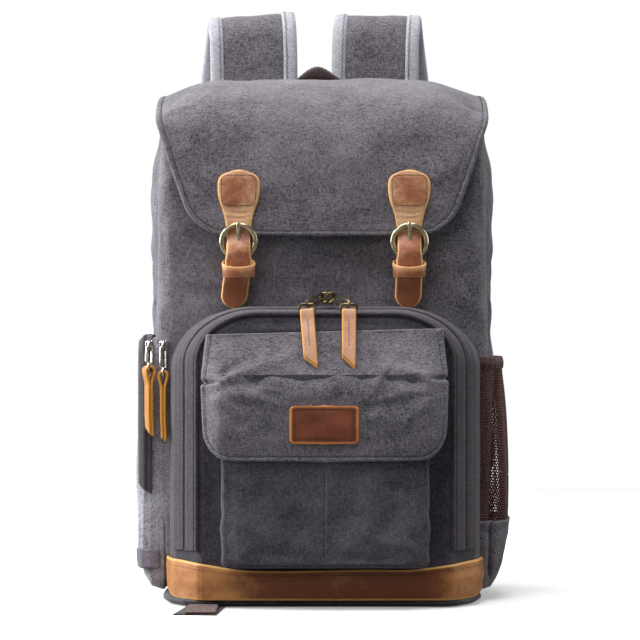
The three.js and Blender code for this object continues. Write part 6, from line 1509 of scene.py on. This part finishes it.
def pull_hardware(width, link_to, slider_at, slider_size, eye_at, wire, link_side):
    """A D-ring with its lower side at the origin, an oval link up to link_to that lies along
    link_side, an eye on the slider and the slider's domed body."""
    x, up = np.array([1.0, 0, 0]), np.array([0, 0, 1.0])
    ring = wire_loop(up * D_RING_RADIUS, x, up, D_RING_RADIUS, width + 2 - 2 * D_RING_RADIUS, wire, 40, 8)
    start = up * 2 * D_RING_RADIUS
    span = link_to - start
    length = max(np.linalg.norm(span) - 2 * LINK_RADIUS + 2 * LINK_WIRE, 0.5)
    across = unit(np.cross(link_side, span))
    link = wire_loop((start + link_to) / 2, unit(span), across, LINK_RADIUS * 0.8, length + 1.2, wire, 44, 8)
    eye = wire_loop(eye_at, x, up, LINK_RADIUS, 0, wire * 1.15, 36, 8)
    v = np.linspace(-np.pi / 2, np.pi / 2, 15)[:, None]
    h = (np.arange(28) * 2 * np.pi / 28)[None]

    def rounded(value, power):
        return np.sign(value) * np.abs(value) ** power

    body = np.stack([rounded(np.cos(v), 0.45) * rounded(np.cos(h), 0.55) * slider_size[0] / 2,
                     rounded(np.cos(v), 0.45) * rounded(np.sin(h), 0.55) * slider_size[1] / 2,
                     rounded(np.sin(v), 0.7) * slider_size[2] / 2 + 0 * h], -1)
    return [ring, link, eye, tube(body[1:-1] + slider_at)]


pull_leather = leather_material("pull_leather", "a87452", "dcb095", "e2a148", 0.5, 800.0, 0.25)
thong_leather = leather_material("thong_leather", "b0743c", "d8a06c", "dc9a3c", 0.5, 800.0, 0.25)
old_brass = metal_material("old_brass", "8d7d58", "3d3324", 0.3)
bright_nickel = metal_material("bright_nickel", "e4e1dc", "a39e96", 0.16)


def hang_pull(name, origin, turns, strip, layer, hardware, leather, metal):
    """Places one pull's strip and metal, turned about the axes and moved to its place."""
    def placed(points, whole):
        for about, degrees in turns if whole else turns[-1:]:
            points = turned(points, about, degrees)
        return points + origin

    strip = placed(strip, True)
    way = normals_of(strip)
    add_piece(name + "_strip", [cloth(strip, -layer / 2, layer / 2, way)], leather,
              [name], worn_edges(strip, 0.7))
    parts = [(placed(points, False), faces) for points, faces in hardware]
    chain = name.replace("pull", "pull_chain")
    add_piece(chain + "_metal", parts, metal, [chain])
    column = strip[9:30, 7][::-1]
    outward = way[9:30, 7][::-1]
    outward = outward * np.sign(-outward[..., 1:2] if abs(outward[10, 1]) > 0.5 else -outward[..., :1])
    sew(column, outward, layer / 2, kind=2, pitch=3.0, length=1.6, width=0.9, lift=0.5)


pull_y = POCKET_Y - GAP * 4 - 2.3 - FRONT_PANEL_BULGE - PIPING_RADIUS
zip_y = FRONT_Y - FRONT_POCKET_DEPTH * sum(ZIP_TAPE) / 2
tape_top = FRONT_POCKET_TOP * 0.999 + GAP * 2 + ZIP_TAPE_THICKNESS + ZIP_COIL_RISE
for side_name, sign, lean in (("left", -1, -4.5), ("right", 1, 0.5)):
    origin = np.array([FRONT_PULLS_MIDDLE_X + sign * FRONT_PULL_X, pull_y, FRONT_PULL_TOP])
    strip = folded_strip(PULL_WIDTH, FRONT_PULL_LENGTH, 9.0, LAYER, 0.25, 1.2)
    slider_at = np.array([-sign * (FRONT_PULL_X - 2.4), zip_y - pull_y, tape_top + GAP + 1.5
        - FRONT_PULL_TOP])
    link_to = slider_at + [sign * 2.2, -1, 1.5 + LINK_RADIUS * 0.9]
    eye_at = slider_at + [0, 0, 1.5 + LINK_RADIUS * 0.8]
    hardware = pull_hardware(PULL_WIDTH, link_to, slider_at, (4.4, 11, 3), eye_at, LINK_WIRE * 1.1,
        [0, 1.0, 0.25])
    hang_pull("front_pull_" + side_name, origin, [("x", -FRONT_PULL_TILT), ("y", lean), ("x", 0)], strip,
        LAYER,
              hardware, pull_leather, old_brass)

for name, drop, turn in (("outer", 21, -68), ("inner", 25, -90)):
    low, high = (np.array(corner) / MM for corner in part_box("side_pull_" + name))
    width = PULL_WIDTH * 0.8
    origin = np.array([(low[0] + high[0]) / 2, (low[1] + high[1]) / 2, SIDE_SLIDER_Z - drop])
    _, metal_high = (np.array(corner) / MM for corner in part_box("side_pull_chain_" + name))
    slider_at = np.array([origin[1] - (metal_high[1] - SIDE_SLIDER[0] / 2), 0, drop])
    link_to = slider_at + [SIDE_SLIDER[0] + 0.5, 0, -1.5]
    eye_at = slider_at + [SIDE_SLIDER[0] / 2 + 1.5, 0, 0]
    strip = turned(folded_strip(width + 1.5, SIDE_PULL_LENGTH, 4.0, SIDE_LAYER, 1.3, 0.8), "z", turn + 90)
    hardware = pull_hardware(width, link_to, slider_at, (3.6, 7.8, 8.4), eye_at, LINK_WIRE * 1.4,
        [0.8, 0.6, 0])
    hang_pull("side_pull_" + name, origin, [("z", 0), ("z", -90)], strip, SIDE_LAYER, hardware,
              thong_leather, bright_nickel)

# The shoulder straps
# Long padded straps of canvas over foam, their edges bound with light grey ribbed tape that is
# sewn on in a zigzag. Each rises from under the yoke, arches over and hangs down behind.
STRAP_WIDTH, STRAP_THICKNESS = 74, 12
STRAPS_MIDDLE_X, STRAP_X = -6.5, 53.5
STRAP_TOP_Z, STRAP_START_Z, STRAP_END_Z, STRAP_END_X = 505, 378, 168, 112
BINDING_THICKNESS = 1.2
STRAP_Y = BACK_Y + FLAP_SEAT + FLAP_THICKNESS / 2 + GAP * 3 + BINDING_THICKNESS + STRAP_THICKNESS / 2
STRAP_ROUTE = [  # x as a share of the way out, stand-off behind its start in mm, height
    (0, 0, STRAP_START_Z), (0, 0, mix(STRAP_START_Z, STRAP_TOP_Z, 0.45)),
    (0.01, 2, mix(STRAP_START_Z, STRAP_TOP_Z, 0.76)), (0.03, 8, mix(STRAP_START_Z, STRAP_TOP_Z, 0.9)),
    (0.06, 21, STRAP_TOP_Z - STRAP_THICKNESS / 2), (0.09, 34, mix(STRAP_START_Z, STRAP_TOP_Z, 0.88)),
    (0.14, 41, mix(STRAP_START_Z, STRAP_TOP_Z, 0.7)), (0.28, 46, mix(STRAP_START_Z, STRAP_TOP_Z, 0.2)),
    (0.5, 47, mix(STRAP_END_Z, STRAP_START_Z, 0.72)), (0.8, 43, mix(STRAP_END_Z, STRAP_START_Z, 0.34)),
    (1, 34, STRAP_END_Z),
]
route = np.array([(-mix(STRAP_X, STRAP_END_X, out_x), STRAP_Y + off, up) for out_x, off, up in STRAP_ROUTE])
route = spline(route, np.linspace(0, 1, 600))
run = np.concatenate([[0], np.cumsum(np.linalg.norm(np.diff(route, axis=0), axis=1))])
STRAP_ROWS = 180
ZIGZAG_PITCH, ZIGZAG_HEIGHT = 1.9, 7.35  # a stitch of the zigzag, and its height above the middle
at = np.linspace(0, run[-1], STRAP_ROWS)
strap_line = np.stack([np.interp(at, run, route[:, k]) for k in range(3)], -1)
strap_tangent = unit(np.gradient(strap_line, axis=0))
strap_side = unit(np.array([1.0, 0, 0]) - strap_tangent[:, :1] * strap_tangent)
strap_up = np.cross(strap_side, strap_tangent)
strap_taper = mix(1, 0.62, smooth(at / run[-1], 0.7, 1))
length_at = np.broadcast_to(at[:, None], (STRAP_ROWS, 56))


def strap_surface(profile, tilt=0.0):
    """Carries a closed profile (rows, points, 2) of widths and heights along the left strap. tilt
    lifts the strap's inner side by a share of the distance from its middle, near the top."""
    rise = tilt * smooth(strap_line[:, 2], 430, 500)[:, None, None] * (profile[..., :1] / 37)
    points = (strap_line[:, None] + strap_side[:, None] * profile[..., :1]
        + strap_up[:, None] * profile[..., 1:])
    return points + rise * np.array([0, 0, 1.0])


turn = np.arange(56) * 2 * np.pi / 56
c, s = np.cos(turn)[None], np.sin(turn)[None]
reach = (np.abs(c) ** 5 + np.abs(s) ** 5) ** (-1 / 5)
pad_width = STRAP_WIDTH / 2 * strap_taper[:, None] * reach * c
rounded_pad = STRAP_THICKNESS / 2 * reach * s
inner_part = smooth(np.abs(reach * c), 0.86, 0.6)
puff = ((0.9 + 0.5 * rumple(length_at, pad_width, 60, 91)
    + 0.25 * rumple(length_at, pad_width, 24, 92)) * inner_part)
pad = np.stack([pad_width, rounded_pad + np.sign(rounded_pad) * puff], -1)
binding_outer = np.array([(-10.6, 6.7), (-8.5, 7.15), (-4, 7.2), (-1.6, 7.1), (0.3, 6.5), (1.3, 4.6),
    (1.5, 2), (1.5, -2),
                          (1.3, -4.6), (0.3, -6.5), (-1.6, -7.1), (-4, -7.2), (-8.5, -7.15), (-10.6, -6.7)])
binding_inner = np.array([(-10.6, -5.9), (-3, -5.9), (-0.3, -5.4), (0.3, -3), (0.3, 3), (-0.3, 5.4),
    (-3, 5.9), (-10.6, 5.9)])
binding_profile = np.concatenate([binding_outer, binding_inner])
ribs = 1 + 0.012 * np.sin(at * 2 * np.pi / 2.4)[:, None]
binding_cloth = cloth_material("grey_binding", "8d8d96", "c9c9d0", 1.2, 0.25, 0.3, 0.9)
for side_name, sign in (("left", 1), ("right", -1)):
    mirror = np.array([sign, 1, 1])
    middle = np.array([STRAPS_MIDDLE_X, 0, 0])
    tilt = 3.2 if sign > 0 else 0.6
    shoulder = strap_surface(pad, tilt) * mirror + middle
    strap = add_piece("padded_strap_" + side_name, [tube(shoulder)], canvas,
        ["shoulder_strap_" + side_name])
    for edge_name, way in (("outer", -1), ("inner", 1)):
        across = (STRAP_WIDTH / 2 * strap_taper[:, None] + binding_profile[None, :, 0]) * way
        bound = np.stack([across, binding_profile[None, :, 1] * ribs], -1)
        bound = strap_surface(bound, tilt) * mirror + middle
        bound[0] -= strap_tangent[0] * mirror * 0.5
        bound[-1] += strap_tangent[-1] * mirror * 0.5
        add_piece(f"edge_tape_{side_name}_{edge_name}", [tube(bound)], binding_cloth,
                  [f"strap_binding_{side_name}_{edge_name}"])
        for face in (1, -1):
            count = int(run[-1] / ZIGZAG_PITCH)
            where = np.linspace(4, run[-1] - 4, count)
            row = np.round(np.interp(where, at, np.arange(STRAP_ROWS))).astype(int)
            zigzag = (STRAP_WIDTH / 2 * strap_taper[row] - 8.3 + 1.4 * (np.arange(count) % 2)) * way
            base_at = np.stack([np.interp(where, at, strap_line[:, k]) for k in range(3)], -1)
            carried = base_at + strap_side[row] * zigzag[:, None] + strap_up[row] * (ZIGZAG_HEIGHT * face)
            carried[:, 2] += tilt * smooth(base_at[:, 2], 430, 500) * zigzag / 37
            facing = strap_up[row] * face * mirror
            sew(carried * mirror + middle, facing, 0.0, kind=2, pitch=ZIGZAG_PITCH, length=1.7, width=0.45,
                lift=0.25)

# The webbing, ladder buckles and tabs of the straps
# Below each strap a loop of brown webbing holds a black ladder buckle. A longer webbing runs
# from a triangular black tab at the bag's lower corner through the buckle, and its end hangs.
WEBBING_WIDTH, WEBBING_THICKNESS = 25, 1.6
LADDER_Z, LADDER_HEIGHT, LADDER_THICKNESS, LADDER_BAR = 128, 32, 4, 4
TAB_Z, TAB_RISE, TAB_DROP = 34, 20, 18
LADDER_Y = STRAP_Y + 32
black_moulded = plain_material("black_moulded", "232326", 0.42)
black_cloth = cloth_material("black_cloth", "0d0d0f", "2c2c30", 0.8, 0.3, 0.3, 0.5)


def round_bar(y, z, way):
    """A webbing's middle line, as (y, z) rows, where it passes round a flat bar."""
    reach = LADDER_THICKNESS / 2 + GAP * 4 + WEBBING_THICKNESS / 2
    rise = LADDER_BAR / 2 + GAP * 8 + WEBBING_THICKNESS / 2
    return [(y - reach, z + way * LADDER_BAR * 0.6), (y - reach, z - way * rise * 0.35),
            (y - reach * 0.6, z - way * rise), (y + reach * 0.6, z - way * rise),
            (y + reach, z - way * rise * 0.35), (y + reach, z + way * LADDER_BAR * 0.6)]


def webbing(name, line, x_at, nodes, rows=110):
    """A flat woven strap along a middle line of (y, z) rows, its faces ribbed along its length."""
    way = spline(line, np.linspace(0, 1, rows))
    u = np.linspace(-1, 1, 21)[None]
    grid = np.stack(np.broadcast_arrays(x_at + u * (WEBBING_WIDTH / 2 - 0.6), way[:, :1], way[:, 1:]), -1)
    rib = 0.12 * np.cos(u * np.pi * 7)
    add_piece(name, [cloth(grid, -WEBBING_THICKNESS / 2 + 0.1 - rib, WEBBING_THICKNESS / 2 - 0.1 + rib)],
              webbing_brown, nodes)


for side_name, sign in (("left", -1), ("right", 1)):
    x_at = STRAPS_MIDDLE_X + sign * STRAP_END_X
    top_bar = LADDER_Z + (LADDER_HEIGHT - LADDER_BAR) / 2
    end_y = STRAP_Y + STRAP_ROUTE[-1][1]
    in_strap = STRAP_END_Z + STRAP_THICKNESS * 0.2
    webbing("strap_loop_webbing_" + side_name, [
        (end_y - 1.5, in_strap), (LADDER_Y - 3.6, mix(in_strap, top_bar, 0.6)),
        *round_bar(LADDER_Y, top_bar, 1),
        (LADDER_Y + 3.6, mix(in_strap, top_bar, 0.6)), (end_y + 1.5, in_strap)], x_at,
        ["strap_loop_" + side_name])
    tab_y = BACK_Y + GAP * 2 + WEBBING_THICKNESS * 1.5
    webbing("strap_long_webbing_" + side_name, [
        (tab_y, TAB_Z), (tab_y + 1, TAB_Z + 14), (mix(tab_y, LADDER_Y, 0.6), mix(TAB_Z, LADDER_Z, 0.6)),
        (LADDER_Y - 4.6, LADDER_Z - LADDER_HEIGHT * 0.55), *round_bar(LADDER_Y, LADDER_Z, -1),
        (LADDER_Y + 4.6, LADDER_Z - LADDER_HEIGHT * 0.6), (LADDER_Y + 5, LADDER_Z - LADDER_HEIGHT * 1.6)],
        x_at, ["strap_webbing_" + side_name], 150)
    half, outside = WEBBING_WIDTH / 2 + 1.5, WEBBING_WIDTH / 2 + 5.5
    bars = []
    for low_x, high_x, low_z, high_z in (
            (-outside, -half, -16, 16), (half, outside, -16, 16), (-outside, outside, 12, 16),
            (-outside, outside, -2, 2), (-outside, outside, -16, -12)):
        turn = np.arange(24) * 2 * np.pi / 24
        c, s = np.cos(turn)[None], np.sin(turn)[None]
        reach = (np.abs(c) ** 5 + np.abs(s) ** 5) ** (-1 / 5)
        depths = np.array([-1, -0.8, 0, 0.8, 1])[:, None] * LADDER_THICKNESS / 2
        shrink = np.array([0.6, 0.3, 0, 0.3, 0.6])[:, None]
        bars.append(tube(np.stack([
            x_at + (low_x + high_x) / 2 + ((high_x - low_x) / 2 - shrink) * reach * c,
            LADDER_Y + depths + 0 * c,
            LADDER_Z + (low_z + high_z) / 2 + ((high_z - low_z) / 2 - shrink) * reach * s], -1)))
    add_piece("ladder_buckle_" + side_name, bars, black_moulded,
        ["strap_ladder_" + side_name])
    levels = np.linspace(TAB_RISE, -TAB_DROP, 30)[:, None]
    reach = WEBBING_WIDTH / 2 + 4
    tab_in = np.interp(-levels, [-TAB_RISE, TAB_DROP / 2, TAB_DROP], [-reach, -reach, reach / 2 - 1])
    tab_out = np.interp(-levels, [-TAB_RISE, TAB_DROP], [reach, reach / 2])
    u = np.linspace(0, 1, 21)[None]
    tab_x = STRAPS_MIDDLE_X + sign * (STRAP_END_X + mix(tab_in, tab_out, u))
    tab = np.stack(np.broadcast_arrays(tab_x, BACK_Y + GAP + WEBBING_THICKNESS / 2 + 0.25 * np.sin(u * np.pi),
        TAB_Z + levels), -1)
    add_piece("corner_tab_" + side_name, [cloth(tab, -WEBBING_THICKNESS / 2 + 0.1, WEBBING_THICKNESS / 2)],
        black_cloth,
              ["strap_tab_" + side_name])

# The back pad and the yoke
# A foam panel covered in canvas on the bag's back, and across its top a folded band of the same
# canvas, sewn down in two rows, from under which the straps start.
BACK_PAD_THICKNESS, BACK_PAD_WIDTH, BACK_PAD_CORNER = 12, 196, 24
BACK_PAD_BOTTOM, BACK_PAD_TOP = 62, STRAP_START_Z - 6


def rounded_box(half_width, half_height, corner, count=96):
    """Points round a rectangle with rounded corners about the origin, as (x, z) rows."""
    turn = (np.arange(count) + 0.5) * 2 * np.pi / count
    c, s = np.cos(turn), np.sin(turn)
    return np.stack([np.sign(c) * (half_width - corner) + corner * c,
                     np.sign(s) * (half_height - corner) + corner * s], -1)


half_width, half_height = BACK_PAD_WIDTH / 2, (BACK_PAD_TOP - BACK_PAD_BOTTOM) / 2
rim = rounded_box(half_width, half_height, BACK_PAD_CORNER)
rings = []
for inset in np.concatenate([[0], 6 * np.linspace(0, 1, 8)[1:] ** 2, np.linspace(6, 90, 60)[1:]]):
    shrunk = rim * np.array([1 - inset / half_width, 1 - inset / half_height])
    high = BACK_PAD_THICKNESS * (0.35 + 0.65 * np.sqrt(smooth(inset, -0.5, 22)))
    channel = 3.2 * np.exp(-((np.abs(shrunk[:, 0]) - 32) / 5) ** 2) * smooth(inset, 4, 18)
    low = rumple(shrunk[:, 0], shrunk[:, 1], 60, 95) * 0.5 * smooth(inset, 4, 20)
    rings.append(np.stack([shrunk[:, 0], BACK_Y + GAP + high - channel + low, shrunk[:, 1] + BACK_PAD_BOTTOM
        + half_height], -1))
foot = rings[0].copy()
foot[:, 1] = BACK_Y + GAP
pad = add_piece("padded_back", [tube(np.array([foot] + rings)[::-1])], canvas, ["back_pad"])

YOKE_BOTTOM, YOKE_TOP, YOKE_THICKNESS = 370, 402, 2
yoke_y = STRAP_Y + STRAP_THICKNESS / 2 + GAP * 2 + BINDING_THICKNESS + YOKE_THICKNESS / 2
u, v = np.linspace(-1, 1, 90)[None], np.linspace(1, 0, 26)[:, None]
yoke_x = u * (BACK_PAD_WIDTH / 2 - YOKE_THICKNESS / 2)
yoke_z = mix(YOKE_BOTTOM, YOKE_TOP, v) + 0.4 * rumple(u * 90, v * 30, 40, 96)
yoke_bulge = 0.7 * np.sin(v * np.pi) + 0.3 * rumple(u * 90, v * 30, 14, 97)
yoke = np.stack(np.broadcast_arrays(yoke_x, yoke_y + yoke_bulge, yoke_z), -1)
add_piece("folded_yoke", [cloth(yoke, -YOKE_THICKNESS / 2 + 0.1, YOKE_THICKNESS / 2, [0, 1.0, 0])],
          canvas, ["strap_yoke"])
for row in (3, -4):
    sew(yoke[row], np.broadcast_to([0, 1.0, 0], yoke[row].shape), YOKE_THICKNESS / 2, pitch=3.2, length=2.2,
        width=0.6)

# The carry handle
# A dark brown handle of webbing sewn into a roll, its flat feet stitched on top of the flap.
HANDLE_SPAN, HANDLE_TOP_Z, HANDLE_WIDTH, HANDLE_THICKNESS = 78, 456, 20, 14
HANDLE_OFFSET = 4  # how far the arch leans to the left
foot_point = flap_point(np.zeros(1), np.full(1, 0.27))[0]
seat = foot_point[2] + FLAP_THICKNESS / 2 + GAP
u = np.linspace(-1, 1, 120)
rise = (HANDLE_TOP_Z - HANDLE_THICKNESS - seat) * (1 - u**2) ** 1.6
thick = mix(3, HANDLE_THICKNESS, smooth(1 - np.abs(u), 0.3, 1))
turn = np.arange(48) * 2 * np.pi / 48
c, s = np.cos(turn)[None], np.sin(turn)[None]
reach = (np.abs(c) ** 3 + np.abs(s) ** 3) ** (-1 / 3)
ribbed = 1 + 0.02 * np.sin(u * 75)[:, None]
handle = np.stack([np.broadcast_to(u[:, None] * HANDLE_SPAN / 2 - HANDLE_OFFSET * (1 - u[:, None] ** 2),
    (120, 48)),
                   foot_point[1] + HANDLE_WIDTH / 2 * reach * c * ribbed,
                   (seat + rise + thick / 2)[:, None] + (thick / 2)[:, None] * reach * s * ribbed], -1)
handle_cloth = cloth_material("handle_webbing", "150c0d", "45302f", 1.2, 0.4, 0.5, 0.8)
add_piece("rolled_handle", [tube(handle)], handle_cloth, ["carry_handle"])

# The tab and webbing at the floor
# A black canvas tab lies out in front of the lower left corner, and on it a short end of dark
# brown webbing.
TAB_X, TAB_HALF = -96.5, WEBBING_WIDTH / 2
tab_back, tab_front = POCKET_Y + 9 * 0.65 - GAP, POCKET_Y - 56
u, v = np.linspace(0, 1, 40)[None], np.linspace(0, 1, 40)[:, None]
left_x, right_x = mix(TAB_X - 13.5, TAB_X - 21.5, v), mix(TAB_X + 17.5, TAB_X + 12.5, v)
front_y = mix(tab_front + 4, tab_front, u)
tab = np.stack(np.broadcast_arrays(mix(left_x, right_x, u), mix(tab_back, front_y, v), 0.55 + 0.1 * u), -1)
add_piece("black_floor_tab", [cloth(tab, -0.5, 0.5, [0, 0, 1.0])], black_cloth, ["floor_tab"])
u = np.linspace(-1, 1, 41)[None]
web_x = TAB_X + u * (TAB_HALF - 0.6)
rib = 0.12 * np.cos(u * np.pi * 7)
web = np.stack(np.broadcast_arrays(web_x, mix(POCKET_Y - GAP, tab_front + 3, v), 2.1 + 0.5 * (1 - v) ** 2),
    -1)
add_piece("floor_webbing", [cloth(web, -0.7, 0.7 + rib, [0, 0, 1.0])], webbing_brown,
    ["floor_tab_webbing"])

# The sewing
# Every visible row of stitches: grey thread on the canvas, tan and dark thread on the leather,
# with dark marks of painted shade for the needle holes between them.


# the last finish, near black, is painted shade for the needle holes between stitches
threads = [plain_material("grey_thread", "8f8e96", 0.7), plain_material("tan_thread", "7c4a26", 0.7),
           plain_material("dark_thread", "2a2624", 0.7), plain_material("needle_hole_painted_shade", "141315", 0.9)]
add_piece("stitching", thread_parts, threads, groups=thread_groups)
